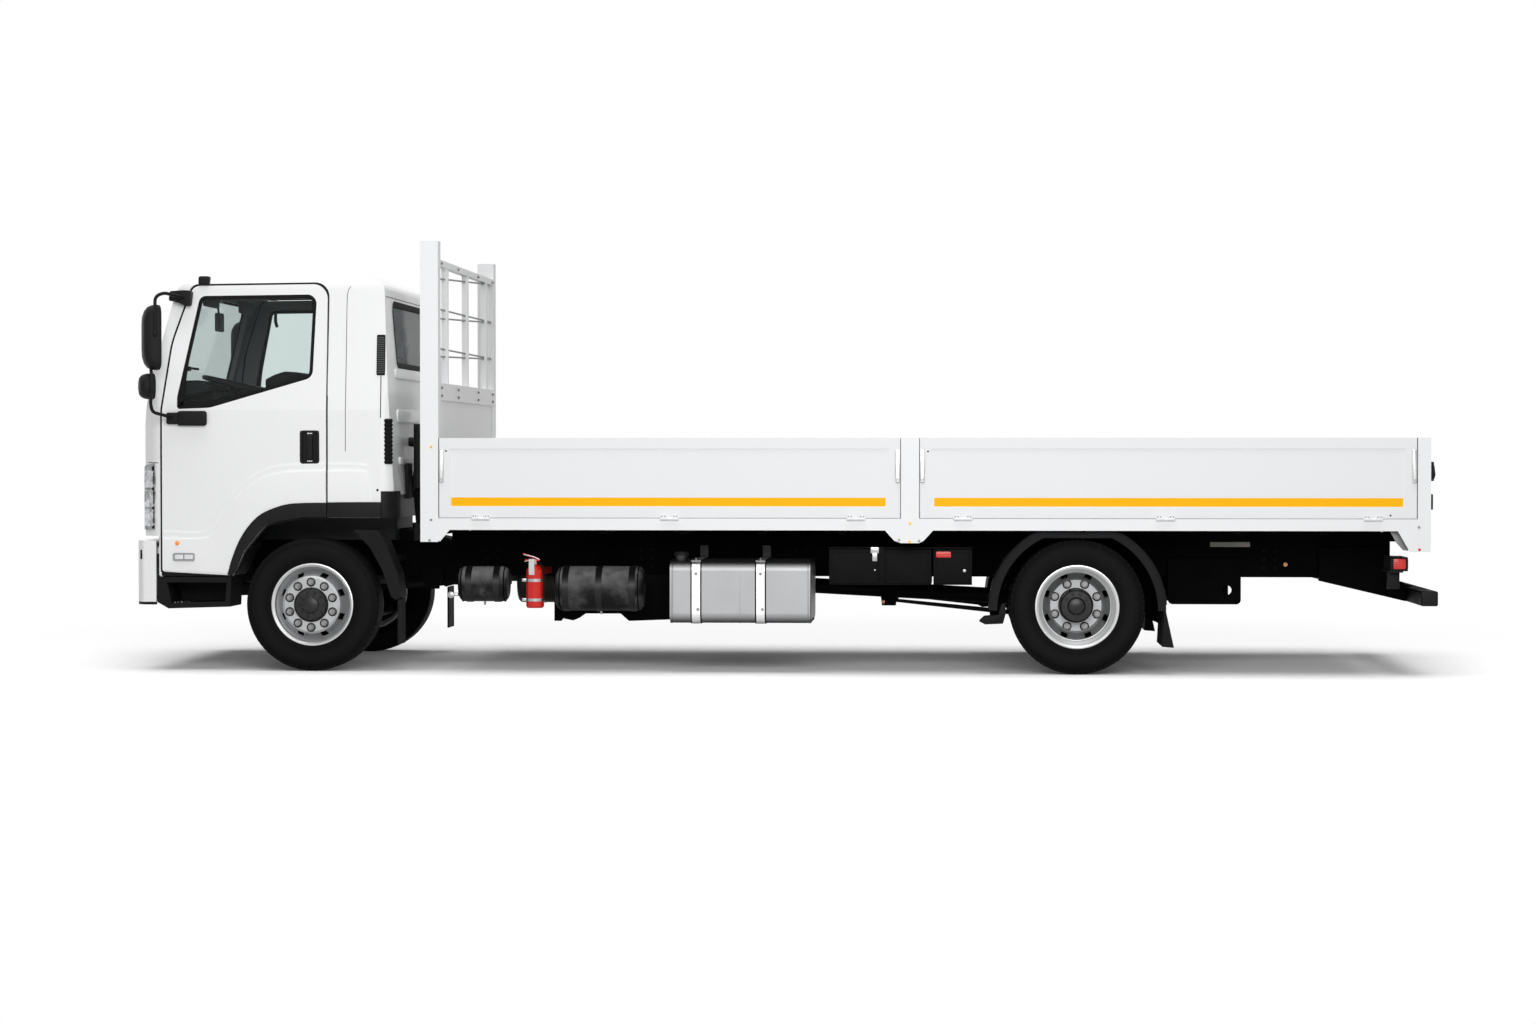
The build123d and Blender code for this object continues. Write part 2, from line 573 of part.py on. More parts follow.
def exhaust():
    """The silencer on the right, its pipe from the engine side, its tail pipe and its two hangers."""
    x0, x1 = SILENCER_X
    y, z, r = SILENCER_Y, SILENCER_Z, SILENCER_R
    body = rod((x1, y, z), (x0, y, z), r)
    body = fillet(body.edges().filter_by(GeomType.CIRCLE), 30)
    engine_side = -310 - 36 - RUNNING_GAP
    inlet = pipe([(x0 - 10, y, z + 30), (x0 + 110, y, z + 30), (x0 + 160, engine_side, z + 20), (AXLE_F - 340, engine_side, z + 30)], 36)
    tail = pipe([(x1 + 10, y, z - 40), (x1 - 370, y, z - 40), (x1 - 420, y - 230, z - 90)], 41)
    shape = body + inlet + tail
    for x in (x0 - 180, x1 + 180):
        shape += box(x - 20, x + 20, y + 60, y + 110, z + 60, z + 200)
        shape += box(x - 20, x + 20, y + 60, -RAIL_Y - RUNNING_GAP, z + 160, z + 200)
    return shape


GUARD_R = 545.0
GUARD_WALL = 8.0
GUARD_LIP = 50.0
GUARD_TOP = 879.0
GUARD_Y = (640.0, 1190.0)
GUARD_FOOT = 400.0


def rear_guard():
    """The left rear mudguard: an arch over the twin wheels, flat under the deck, with an outer lip."""
    y0, y1 = GUARD_Y
    axis = (AXLE_R, TYRE_R - 20)

    def arch(radius, top, a, b):
        disc = rod((axis[0], a, axis[1]), (axis[0], b, axis[1]), radius)
        return disc & box(axis[0] - radius - 9, axis[0] + radius + 9, a, b, GUARD_FOOT, top)

    skin = arch(GUARD_R, GUARD_TOP, y0, y1)
    skin -= arch(GUARD_R - GUARD_WALL, GUARD_TOP - GUARD_WALL, y0 - 1, y1 + 1) + box(
        axis[0] - GUARD_R + GUARD_WALL, axis[0] + GUARD_R - GUARD_WALL, y0 - 1, y1 + 1, GUARD_FOOT - 1, GUARD_FOOT + 1)
    lip = arch(GUARD_R, GUARD_TOP, y1 - GUARD_WALL, y1)
    lip -= arch(GUARD_R - GUARD_LIP, GUARD_TOP - GUARD_LIP * 0.6, y1 - GUARD_WALL - 1, y1 + 1)
    shape = skin + lip
    for x in (AXLE_R + 440, AXLE_R - 440):
        z = axis[1] + math.sqrt((GUARD_R - GUARD_WALL) ** 2 - 440.0 ** 2) + 4
        shape += rod((x, RAIL_Y + 0.3, RAIL_BOTTOM + 120), (x, y0 + 200, RAIL_BOTTOM + 120), 18)
    return shape


FRONT_GUARD_Y = (850.0, CAB_HALF)
FRONT_GUARD = (
    # x from the front axle, z: inner edge going down, then outer edge going up
    (-262.0, 892.0), (-369.0, 778.0), (-446.0, 640.0), (-502.0, 470.0), (-532.0, 452.0),
    (-560.0, 470.0), (-545.0, 609.0), (-472.0, 797.0), (-420.0, 892.0),
)


def front_guard():
    """The left front mudguard's rear half, on the frame behind the wheel, with its stay."""
    y0, y1 = FRONT_GUARD_Y
    points = [(AXLE_F + x, z) for x, z in FRONT_GUARD]
    shape = prism_xz(points, y0, y1)
    stay_x = AXLE_F - 470
    stay = rod((stay_x, RAIL_Y + RUNNING_GAP, 700), (stay_x, y0 + 20, 700), 18)
    return shape + stay


def mudguards():
    """All four mudguards on the frame."""
    return both_sides(front_guard() + rear_guard())


def mudflaps():
    """Four rubber flaps behind the wheels, hung from the guards."""
    front = box(AXLE_F - 552, AXLE_F - 542, FRONT_GUARD_Y[0], FRONT_GUARD_Y[1] - 5, 169, 451.7)
    x, top = AXLE_R - GUARD_R + 12, GUARD_FOOT - RUNNING_GAP
    rear = prism_xz([(x, top), (x + 12, 178), (x - 60, 172), (x - 10, top)], GUARD_Y[0] + 10, GUARD_Y[1] - 5)
    return both_sides(front + rear)


BUMPER_TOP = 821.0
BUMPER_BOTTOM = 435.0
BUMPER_REAR = AXLE_F + 995.0
BUMPER_HALF = CAB_HALF + 5


def bumper_plan(back, shrink):
    """The bumper seen from above: a shallow bow with rounded corners."""
    nose, corner = FRONT_X - shrink, AXLE_F + 1122 - shrink
    half = BUMPER_HALF - shrink
    return [(back, -half), (corner - 42, -half), (corner, -half + 52), (nose, -450), (nose, 450),
            (corner, half - 52), (corner - 42, half), (back, half)]


def front_bumper():
    """The front bumper: a bowed shell with side returns, a lower intake and the hinge carrier behind it."""
    shell = prism_xy(bumper_plan(BUMPER_REAR, 0), BUMPER_BOTTOM, BUMPER_TOP, (0, 30, 30, 0, 0, 30, 30, 0))
    shell -= prism_xy(bumper_plan(BUMPER_REAR - 50, 14), BUMPER_BOTTOM + 14, BUMPER_TOP - 14)
    shell -= box(FRONT_X - 90, FRONT_X + 10, -430, 430, BUMPER_BOTTOM + 60, BUMPER_BOTTOM + 190)
    for side in (1, -1):
        shell += box(RAIL_FRONT + RUNNING_GAP, FRONT_X - 12, side * 370, side * 420, RAIL_BOTTOM + 30, RAIL_TOP - 70)
        slot = PIVOT_ARM / 2 + 8
        shell -= box(BUMPER_REAR - 10, AXLE_F + 1112, side * (PIVOT_Y - slot), side * (PIVOT_Y + slot),
                     BUMPER_TOP - 30, BUMPER_TOP + 10)
    return shell


STEP_X = (AXLE_F + 517.0, AXLE_F + 990.0)
STEP_Y = (760.0, CAB_HALF - 10)
STEP_Z = (392.0, 592.0)


def cab_steps():
    """The entry steps below the doors: an open-sided box with a tread, hung from the frame."""
    (x0, x1), (y0, y1), (z0, z1) = STEP_X, STEP_Y, STEP_Z
    body = prism_xz([(x0 + 10, z0 + 12), (x1 - 70, z0), (x1, z0 + 40), (x1, z1), (x0, z1)], y0, y1)
    body -= prism_xz([(x0 + 40, z0 + 45), (x1 - 90, z0 + 35), (x1 - 60, z1 - 35), (x0 + 30, z1 - 35)], y0 + 40, y1 + 1)
    for x in (x0 + 30, x1 - 120):
        body += box(x - 20, x + 20, RAIL_Y + RUNNING_GAP, y0 + 5, z1 - 50, z1)
        body += box(x - 20, x + 20, RAIL_Y + RUNNING_GAP, RAIL_Y + 12, z1 - 50, RAIL_BOTTOM + 90)
    return both_sides(body)


BAR_Z = (432.0, 524.0)
BAR_DEPTH = 104.0
BAR_HALF = 1150.0


def underrun_bar():
    """The rear underrun bar on two arms that slope down from the rails."""
    rear = AXLE_R - REAR_OVERHANG
    z0, z1 = BAR_Z
    bar = box(rear, rear + BAR_DEPTH, -BAR_HALF, BAR_HALF, z0, z1)
    bar = fillet(bar.edges().filter_by(Axis.Y), 12)
    y0, y1 = RAIL_Y + 0.3, RAIL_Y + 45
    x = AXLE_R - 1560
    arm = prism_xz([(x, RAIL_TOP - 40), (x, RAIL_BOTTOM - 20), (rear + 105, z0), (rear + 50, z0), (rear + 50, z1),
                    (rear + 210, z1 + 60), (rear + 210, RAIL_TOP - 40)], y0, y1)
    return bar + both_sides(arm)


def tail_lamps():
    """Two tail lamp housings on stalks above the underrun bar."""
    x0, x1 = AXLE_R - 2046, AXLE_R - 1941
    lamp = box(x0, x1, 660, 1000, 641, 728)
    lamp = fillet(lamp.edges().filter_by(Axis.X), 14)
    carrier = rod((x1 - 40, RAIL_Y + 45 + RUNNING_GAP, 690), (x1 - 40, 700, 690), 16)
    return both_sides(lamp + carrier)


# Load body


def deck_subframe():
    """Runners on the rails and cross bearers under the floor."""
    front, rear = BODY_FRONT - 10, BODY_REAR + 70
    runner_top = RAIL_TOP + 60
    bearer_top = DECK_TOP - FLOOR_THICK
    shape = both_sides(box(rear + 20, front - 60, RAIL_Y - 60, RAIL_Y, RAIL_TOP, runner_top))
    count = 13
    for i in range(count):
        x = front - 130 - (front - rear - 200) * i / (count - 1)
        low = runner_top - 1 if abs(x - AXLE_R) > GUARD_R + 40 else GUARD_TOP + 5
        shape += box(x - 22, x + 22, -BEARER_HALF, BEARER_HALF, low, bearer_top)
        shape += box(x - 22, x + 22, -RAIL_Y, RAIL_Y, runner_top - 1, bearer_top)
    return shape


def deck_floor():
    """The load floor, between the side raves."""
    half = BODY_HALF - RAVE_DEPTH
    return box(BODY_FRONT - POST_X, BODY_REAR + RAVE_DEPTH, -half, half, DECK_TOP - FLOOR_THICK, DECK_TOP)


def hinge_places():
    """The hinge centres of the two boards on one side, as x positions for each board."""
    front = [BODY_FRONT - d for d in (381, 1561, 2719)]
    rear = [BODY_FRONT - d for d in (3380, 4623, 5888)]
    return front, rear


def deck_raves():
    """The white side rails and end sill, with gussets at the posts and the fixed hinge knuckles."""
    z1, z0 = RAVE_TOP, RAVE_TOP - RAVE_HEIGHT
    y1, y0 = BODY_HALF, BODY_HALF - RAVE_DEPTH
    front, rear = BODY_FRONT - POST_X, BODY_REAR
    side = box(rear, front, y0, y1, z0, z1)
    side -= box(rear - 1, front + 1, y0 - 1, y1 - RAVE_WALL, z0 + RAVE_WALL, z1 - RAVE_WALL)
    drop = z0 - GUSSET_DROP
    c0, c1 = CENTRE_POST_X, CENTRE_POST_X - CENTRE_POST_WIDTH
    gussets = (
        [(front, z0 + 1), (front - 71, z0 + 1), (front - 71, z0), (front - 14, z0 - 68), (front, z0 - 68)],
        [(c0 + 99, z0 + 1), (c0 + 99, z0), (c0 + 43, z0 - 62), (c0, drop), (c1, drop), (c1 - 30, z0 - 62), (c1 - 86, z0), (c1 - 86, z0 + 1)],
        [(rear + 200, z0 + 1), (rear + 200, z0), (rear + 126, z0 - 128), (rear, z0 - 128), (rear, z0 + 1)],
    )
    for points in gussets:
        side += prism_xz(points, y1 - RAVE_WALL, y1)
    for x in [*hinge_places()[0], *hinge_places()[1]]:
        y = y1 + HINGE_OUT
        side += rod((x - KNUCKLE_LENGTH / 2, y, HINGE_Z), (x + KNUCKLE_LENGTH / 2, y, HINGE_Z), HINGE_R)
        side += rod((x - HINGE_WIDTH / 2, y, HINGE_Z), (x + HINGE_WIDTH / 2, y, HINGE_Z), HINGE_PIN_R)
        side += box(x - KNUCKLE_LENGTH / 2, x + KNUCKLE_LENGTH / 2, y1 - 1, y, HINGE_Z - HINGE_R, HINGE_Z)
    shape = side + other_side(side)
    sill = box(rear, rear + RAVE_DEPTH, -y0 - 1, y0 + 1, z0, z1)
    sill -= box(rear + RAVE_WALL, rear + RAVE_DEPTH + 1, -y0 - 2, y0 + 2, z0 + RAVE_WALL, z1 - RAVE_WALL)
    shape += sill
    for y in TAIL_HINGES:
        x = rear - HINGE_OUT
        shape += rod((x, y - KNUCKLE_LENGTH / 2, HINGE_Z), (x, y + KNUCKLE_LENGTH / 2, HINGE_Z), HINGE_R)
        shape += rod((x, y - HINGE_WIDTH / 2, HINGE_Z), (x, y + HINGE_WIDTH / 2, HINGE_Z), HINGE_PIN_R)
        shape += box(x, rear + 1, y - KNUCKLE_LENGTH / 2, y + KNUCKLE_LENGTH / 2, HINGE_Z - HINGE_R, HINGE_Z)
    return shape


TAIL_HINGES = (-800.0, 0.0, 800.0)


def body_posts():
    """The centre and rear posts that the boards latch to."""
    y1, y0 = BODY_HALF, BODY_HALF - RAVE_DEPTH
    top = BOARD_TOP
    centre = box(CENTRE_POST_X - CENTRE_POST_WIDTH, CENTRE_POST_X, y0, y1, RAVE_TOP, top)
    rear = box(BODY_REAR, BODY_REAR + REAR_POST_WIDTH, y0, y1, RAVE_TOP, top)
    return both_sides(centre + rear)


BAR_YS = (820.0, 0.0, -820.0)
HEAD_RAIL_TOP = 2585.0
MID_RAIL = (1706.0, 1815.0)
HEAD_RODS = (
    # height at the left post, height at the right post
    (2467.0, 2551.0), (2278.0, 2290.0), (2218.0, 2286.0), (2031.0, 2036.0), (1979.0, 2032.0),
)


def headboard():
    """The headboard: two tall posts, a top rail, bars, thin rods, a mid rail and a sheet below it."""
    x1, x0 = BODY_FRONT, BODY_FRONT - POST_X
    inner = BODY_HALF - POST_Y
    bottom = RAVE_TOP - RAVE_HEIGHT - GUSSET_DROP + 3
    post = box(x0, x1, inner, BODY_HALF, bottom, POST_TOP)
    shape = both_sides(post)
    bar = 40.0
    xa, xb = x0 + 2, x0 + 2 + bar
    shape += box(xa, xb, -inner - 1, inner + 1, HEAD_RAIL_TOP - bar, HEAD_RAIL_TOP)
    shape += box(xa, xb, -inner - 1, inner + 1, *MID_RAIL)
    shape += box(xa, xb, -inner - 1, inner + 1, RAVE_TOP - RAVE_HEIGHT, RAVE_TOP)
    shape += box(xa + 8, xa + 14, -inner - 1, inner + 1, RAVE_TOP - 1, MID_RAIL[0] + 1)
    for y in BAR_YS:
        shape += box(xa, xb, y - bar / 2, y + bar / 2, MID_RAIL[1] - 1, HEAD_RAIL_TOP - bar + 1)
    for left, right in HEAD_RODS:
        shape += rod((xa + 20, inner + 2, left), (xa + 20, -inner - 2, right), 5)
    return shape


def board(x_front, x_rear, hinges):
    """One left side board: a framed panel with ribs, latches at both ends and its hinge knuckles."""
    y1, y0 = BODY_HALF, BODY_HALF - BOARD_THICK
    z0, z1 = BOARD_BOTTOM, BOARD_TOP
    shape = box(x_rear, x_front, y0, y1, z0, z1)
    rim_side, rim_top, rim_low, recess = 72.0, 68.0, 66.0, 7.0
    shape -= box(x_rear + rim_side, x_front - rim_side, y1 - recess, y1 + 1, z0 + rim_low, z1 - rim_top)
    for x in hinges:
        for side in (-1, 1):
            a = x + side * (KNUCKLE_LENGTH / 2 + 2)
            b = x + side * HINGE_WIDTH / 2
            lo, hi = min(a, b), max(a, b)
            leaf = box(lo, hi, y1 - 1, y1 + HINGE_OUT, HINGE_Z + 6, HINGE_Z + 24)
            leaf += rod((lo, y1 + HINGE_OUT, HINGE_Z), (hi, y1 + HINGE_OUT, HINGE_Z), HINGE_R)
            shape += leaf - rod((lo - 1, y1 + HINGE_OUT, HINGE_Z), (hi + 1, y1 + HINGE_OUT, HINGE_Z), HINGE_PIN_R + PIN_FIT)
    for x in (x_rear + 14, x_front - 14):
        shape += box(x - 12, x + 12, y1 - 1, y1 + 12, z1 - 276, z1 - 74)
    return shape


def tailboard():
    """The tailboard between the rear posts, hinged on the end sill."""
    x0, x1 = BODY_REAR, BODY_REAR + BOARD_THICK
    half = BODY_HALF - RAVE_DEPTH - BOARD_GAP
    z0, z1 = BOARD_BOTTOM, BOARD_TOP
    shape = box(x0, x1, -half, half, z0, z1)
    shape -= box(x0 - 1, x0 + 7, 72 - half, half - 72, z0 + 66, z1 - 68)
    for y in TAIL_HINGES:
        for side in (-1, 1):
            a = y + side * (KNUCKLE_LENGTH / 2 + 2)
            b = y + side * HINGE_WIDTH / 2
            lo, hi = min(a, b), max(a, b)
            x = x0 - HINGE_OUT
            leaf = box(x, x0 + 1, lo, hi, HINGE_Z + 6, HINGE_Z + 24)
            leaf += rod((x, lo, HINGE_Z), (x, hi, HINGE_Z), HINGE_R)
            shape += leaf - rod((x, lo - 1, HINGE_Z), (x, hi + 1, HINGE_Z), HINGE_PIN_R + PIN_FIT)
    for side in (-1, 1):
        y = side * (half - 10)
        shape += box(x0 - 22, x0 + 1, y - 12, y + 12, z1 - 264, z1 - 150)
    return shape


# Cab

CAB_SIDE = [
    # x, z of the side view, counter-clockwise from the front lower corner
    (CAB_FRONT - 32, PANEL_BOTTOM),
    (CAB_FRONT, 1290.0),
    (CAB_FRONT - 52, 1680.0),
    (AXLE_F + 868, 2440.0),
    (AXLE_F + 560, 2528.0),
    (AXLE_F + 150, CAB_ROOF),
    (AXLE_F - 230, 2532.0),
    (CAB_BACK_TOP, 2440.0),
    (CAB_BACK_BOTTOM, CAB_SKIRT),
    (AXLE_F + 76, CAB_SKIRT),
    (AXLE_F + 290, 925.0),
    (AXLE_F + 430, 755.0),
    (AXLE_F + 507, CAB_BOTTOM),
    (DOOR_FRONT + 20, CAB_BOTTOM),
    (DOOR_FRONT + 20, PANEL_BOTTOM),
]
CAB_SIDE_RADII = (0, 300, 60, 130, 400, 600, 200, 60, 0, 130, 120, 120, 0, 0, 0)
CAB_SECTION = [
    # y, z of the front view, counter-clockwise
    (CAB_HALF, 400.0),
    (CAB_HALF, CAB_BELT),
    (CAB_HALF - CAB_LEAN, CAB_EAVE),
    (CAB_HALF - 190, CAB_ROOF + 20),
    (190 - CAB_HALF, CAB_ROOF + 20),
    (CAB_LEAN - CAB_HALF, CAB_EAVE),
    (-CAB_HALF, CAB_BELT),
    (-CAB_HALF, 400.0),
]
CAB_SECTION_RADII = (0, 0, 110, 40, 40, 110, 0, 0)
CAB_PLAN_DROP = 95.0


def cab_form(amount=0.0, floor=None):
    """The cab's outer form moved inwards by amount: side view, front view and plan view together."""
    side = inset(CAB_SIDE, amount) if amount else CAB_SIDE
    radii = list(CAB_SIDE_RADII)
    if floor is not None:
        back = CAB_BACK_BOTTOM + (CAB_BACK_TOP - CAB_BACK_BOTTOM) * (floor - CAB_SKIRT) / (2440.0 - CAB_SKIRT)
        side = [(CAB_FRONT - 15 - amount, floor)] + side[1:8] + [(back + amount, floor)]
        radii = radii[:8] + [0]
    form = prism_xz(side, -CAB_HALF - 10, CAB_HALF + 10, radii)
    section = inset(CAB_SECTION, amount) if amount else CAB_SECTION
    form &= prism_yz(section, CAB_BACK_BOTTOM - 50, FRONT_X + 50, CAB_SECTION_RADII)
    half, nose, tail = CAB_HALF - amount, CAB_FRONT - amount, CAB_BACK_BOTTOM + amount
    bow = nose + 40
    plan = [(tail, -half), (nose - 130, -half), (nose - 32, 100 - half), (bow - 40, -450), (bow - 40, 450),
            (nose - 32, half - 100), (nose - 130, half), (tail, half)]
    form &= prism_xy(plan, 300, 2700, (90, 110, 90, 700, 700, 90, 110, 90))
    return form


DOOR_OUTLINE = [
    (DOOR_FRONT, DOOR_BOTTOM + 14),
    (DOOR_FRONT, 1640.0),
    (DOOR_FRONT - 62, 2070.0),
    (AXLE_F + 770, 2432.0),
    (DOOR_REAR, 2442.0),
    (DOOR_REAR, CAB_SKIRT + 2),
    (AXLE_F + 76, CAB_SKIRT + 2),
    (AXLE_F + 292, 927.0),
    (AXLE_F + 432, 757.0),
    (AXLE_F + 500, DOOR_BOTTOM - 10),
]
DOOR_RADII = (20, 400, 600, 60, 95, 0, 130, 120, 120, 10)
WINDOW_OUTLINE = [
    (AXLE_F + 860, 1652.0),
    (AXLE_F + 860, 1730.0),
    (AXLE_F + 725, 2368.0),
    (AXLE_F - 22, 2376.0),
    (AXLE_F - 2, 1850.0),
    (AXLE_F + 650, 1660.0),
]
WINDOW_RADII = (20, 120, 45, 60, 60, 200)
SCREEN_OUTLINE = [(-940.0, 1712.0), (940.0, 1712.0), (862.0, 2392.0), (-862.0, 2392.0)]
BACK_WINDOW = [(-690.0, 1935.0), (690.0, 1935.0), (770.0, 2330.0), (-770.0, 2330.0)]


def door_cut(gap=0.0, sill=0.0):
    """The door's outline as a prism through the left wall, grown by gap, that stops sill behind the door."""
    points = inset(DOOR_OUTLINE, -gap) if gap else DOOR_OUTLINE
    cut = prism_xz(points, CAB_HALF - 220, CAB_HALF + 30, DOOR_RADII)
    back = CAB_HALF - DOOR_THICK - sill
    return cut - box(DOOR_REAR - 50, DOOR_FRONT + 50, CAB_HALF - 230, back, DOOR_BOTTOM - 50, CAB_BELT)


def window_cut(points, radii, y0, y1):
    """A side window's outline as a prism."""
    return prism_xz(points, y0, y1, radii)


def door():
    """The left door: a thick shell panel cut out of the cab's form, with its window opening."""
    shell = (cab_form(0) - cab_form(DOOR_THICK)) & door_cut()
    shell -= window_cut(WINDOW_OUTLINE, WINDOW_RADII, CAB_HALF - 250, CAB_HALF + 40)
    handle_z = 1411.0
    x0, x1 = AXLE_F - 46, AXLE_F + 74
    shell -= box(x0, x1, CAB_HALF - 22, CAB_HALF + 10, handle_z - 104, handle_z + 104)
    shell += box((x0 + x1) / 2 - 16, (x0 + x1) / 2 + 16, CAB_HALF - 30, CAB_HALF - 2, handle_z - 90, handle_z + 90)
    for z in DOOR_HINGE_Z:
        shell -= box(DOOR_PIN_X - 14, DOOR_FRONT + 2, CAB_HALF - DOOR_THICK - 40, DOOR_PIN_Y + 9, z - 26, z + 26)
    return keep_largest(shell) - door_pin(DOOR_PIN_R + PIN_FIT, 2)


def door_pin(radius, extra):
    """The two hinge pins of the left door, on one upright axis."""
    pins = [rod((DOOR_PIN_X, DOOR_PIN_Y, z - 45 - extra), (DOOR_PIN_X, DOOR_PIN_Y, z + 45 + extra), radius)
            for z in DOOR_HINGE_Z]
    return pins[0] + pins[1]


def door_hinge():
    """The cab's half of the left door's hinges: cranked arms that reach the pins from inside."""
    shape = door_pin(DOOR_PIN_R, 0)
    for z in DOOR_HINGE_Z:
        x, y, low = DOOR_PIN_X, DOOR_PIN_Y, CAB_HALF - DOOR_THICK - 22
        shape += rod((x, y, z - 22), (x, y, z + 22), DOOR_PIN_R + 3)
        shape += box(x - 5, x + 5, low, y, z - 22, z + 22)
        shape += box(x - 5, DOOR_FRONT + 40, low, low + 12, z - 22, z + 22)
        shape += box(DOOR_FRONT + PANEL_GAP + 4, DOOR_FRONT + 40, low, low + 30, z - 22, z + 22)
    return shape


def keep_largest(shape):
    """The largest solid of a cut, without the slivers that the cut leaves."""
    return max(shape.solids(), key=lambda s: s.volume)


def glass(cut):
    """A pane that follows the cab's form inside a cut."""
    pane = (cab_form(GLASS_INSET) - cab_form(GLASS_INSET + GLASS_THICK)) & cut
    return keep_largest(pane)


def door_glass():
    """The left door's window."""
    points = inset(WINDOW_OUTLINE, 0.4)
    return glass(window_cut(points, WINDOW_RADII, CAB_HALF - 250, CAB_HALF + 40))


def cab_shell():
    """The hollow cab: roof, back wall, quarter panels, floor, pillars and step wells, with its openings cut."""
    shell = cab_form(0) - cab_form(CAB_WALL, CAB_FLOOR)
    opening = door_cut(PANEL_GAP, SILL_GAP)
    shell = shell - opening - other_side(opening)
    shell -= box(AXLE_F + 400, CAB_FRONT - 70, -700, 700, 400, CAB_FLOOR - 50)
    shell -= box(CAB_BACK_BOTTOM + 60, AXLE_F + 401, -1000, 1000, 400, CAB_FLOOR - 50)
    well = box(AXLE_F + 590, DOOR_FRONT - 30, 790, CAB_HALF + 20, 660, CAB_FLOOR + 10)
    shell = shell - well - other_side(well)
    shell -= prism_yz(SCREEN_OUTLINE, AXLE_F + 640, FRONT_X + 40, (60, 60, 90, 90))
    shell -= prism_yz(BACK_WINDOW, CAB_BACK_BOTTOM - 40, CAB_BACK_TOP + 120, 60)
    slot = PIVOT_ARM / 2 + 6
    notch = box(DOOR_FRONT, PIVOT_X + PIVOT_NOTCH, PIVOT_Y - slot, PIVOT_Y + slot, PANEL_BOTTOM - 10, PIVOT_Z + 34)
    pin = rod((PIVOT_X, PIVOT_Y - slot - 5, PIVOT_Z), (PIVOT_X, PIVOT_Y + slot + 5, PIVOT_Z), PIVOT_R)
    shell = shell - both_sides(notch) + both_sides(pin)
    return keep_largest(shell) + both_sides(door_hinge())


def cab_glass():
    """The windscreen and the rear window."""
    screen = prism_yz(inset(SCREEN_OUTLINE, 0.4), AXLE_F + 700, FRONT_X + 40, (60, 60, 90, 90))
    back = prism_yz(inset(BACK_WINDOW, 0.4), CAB_BACK_BOTTOM - 40, CAB_BACK_TOP + 60, 60)
    return glass(screen) + glass(back)


def headlamps():
    """Two tall headlamps at the cab's front corners."""
    lamp = prism_yz([(940, 890), (CAB_HALF + 5, 890), (CAB_HALF + 5, 1314), (985, 1290), (930, 1120)],
                    AXLE_F + 1007, FRONT_X + 30)
    lens = (cab_form(-6) - cab_form(-0.3)) & lamp
    return both_sides(keep_largest(lens))


def front_panel():
    """The grille panel on the cab's nose, with its slats."""
    area = prism_yz([(-640, 905), (640, 905), (680, 1330), (-680, 1330)], AXLE_F + 900, FRONT_X + 40, 30)
    shape = keep_largest((cab_form(-14) - cab_form(-0.3)) & area)
    for z in (985.0, 1065.0, 1145.0, 1225.0):
        shape -= box(FRONT_X - 40 + 2, FRONT_X + 40, -560, 560, z - 18, z + 18)
    return keep_largest(shape)


def dashboard():
    """The dashboard with its hood, and the engine cover between the seats."""
    x0 = CAB_FRONT - 95
    profile = [(x0 - 10, 1400), (x0 - 30, 1660), (x0 - 130, 1700), (x0 - 330, 1690), (x0 - 390, 1560), (x0 - 300, 1400)]
    dash = prism_xz(profile, -960, 960, (0, 20, 60, 60, 40, 0))
    hood = prism_xz([(x0 - 140, 1690), (x0 - 170, 1770), (x0 - 330, 1785), (x0 - 380, 1660)], 400, 740, (0, 40, 30, 0))
    foot = box(x0 - 260, x0 - 120, -900, 900, CAB_FLOOR, 1405)
    column = Pos(*WHEEL_CENTRE) * rod((0, 0, -10), (190, 0, -330), COLUMN_R + RUNNING_GAP)
    return (dash + hood + foot) & cab_form(CAB_WALL + RUNNING_GAP, CAB_FLOOR + RUNNING_GAP) - column


def seats():
    """The driver's seat, the passenger bench and the console between them, on their bases."""
    floor = CAB_FLOOR
    shape = None
    back_x = AXLE_F - 390
    for y, half in ((560.0, 260.0), (-540.0, 300.0)):
        base = box(back_x + 60, AXLE_F + 180, y - half + 60, y + half - 60, floor, floor + 250)
        cushion = box(back_x, AXLE_F + 250, y - half, y + half, floor + 250, floor + 400)
        cushion = fillet(cushion.edges(), 45)
        back = prism_xz([(back_x + 30, floor + 330), (back_x + 170, floor + 330), (back_x + 130, 2060), (back_x + 20, 2060)],
                        y - half, y + half)
        back = fillet(back.edges(), 40)
        rest = fillet(box(back_x + 30, back_x + 120, y - 130, y + 130, 2090, 2230).edges(), 30)
        stem = box(back_x + 60, back_x + 80, y - 50, y + 50, 2020, 2100)
        seat = base + cushion + back + rest + stem
        shape = seat if shape is None else shape + seat
    console = box(AXLE_F + 120, AXLE_F + 520, -190, 190, floor, 1860)
    console = fillet(console.edges().filter_by(Axis.Y), 60)
    return shape + console


COLUMN_R = 32.0
WHEEL_CENTRE = (AXLE_F + 600.0, 560.0, 1815.0)


def steering_wheel():
    """The steering wheel, its spokes and its column."""
    tilt = Pos(*WHEEL_CENTRE) * Rot(0, -14, 0)
    ring = Torus(212, 14)
    hub = Cylinder(62, 44)
    spokes = Box(420, 34, 16) + Box(34, 420, 16)
    column = rod((0, 0, -10), (180, 0, -313), COLUMN_R)
    return tilt * (ring + hub + spokes) + Pos(*WHEEL_CENTRE) * column


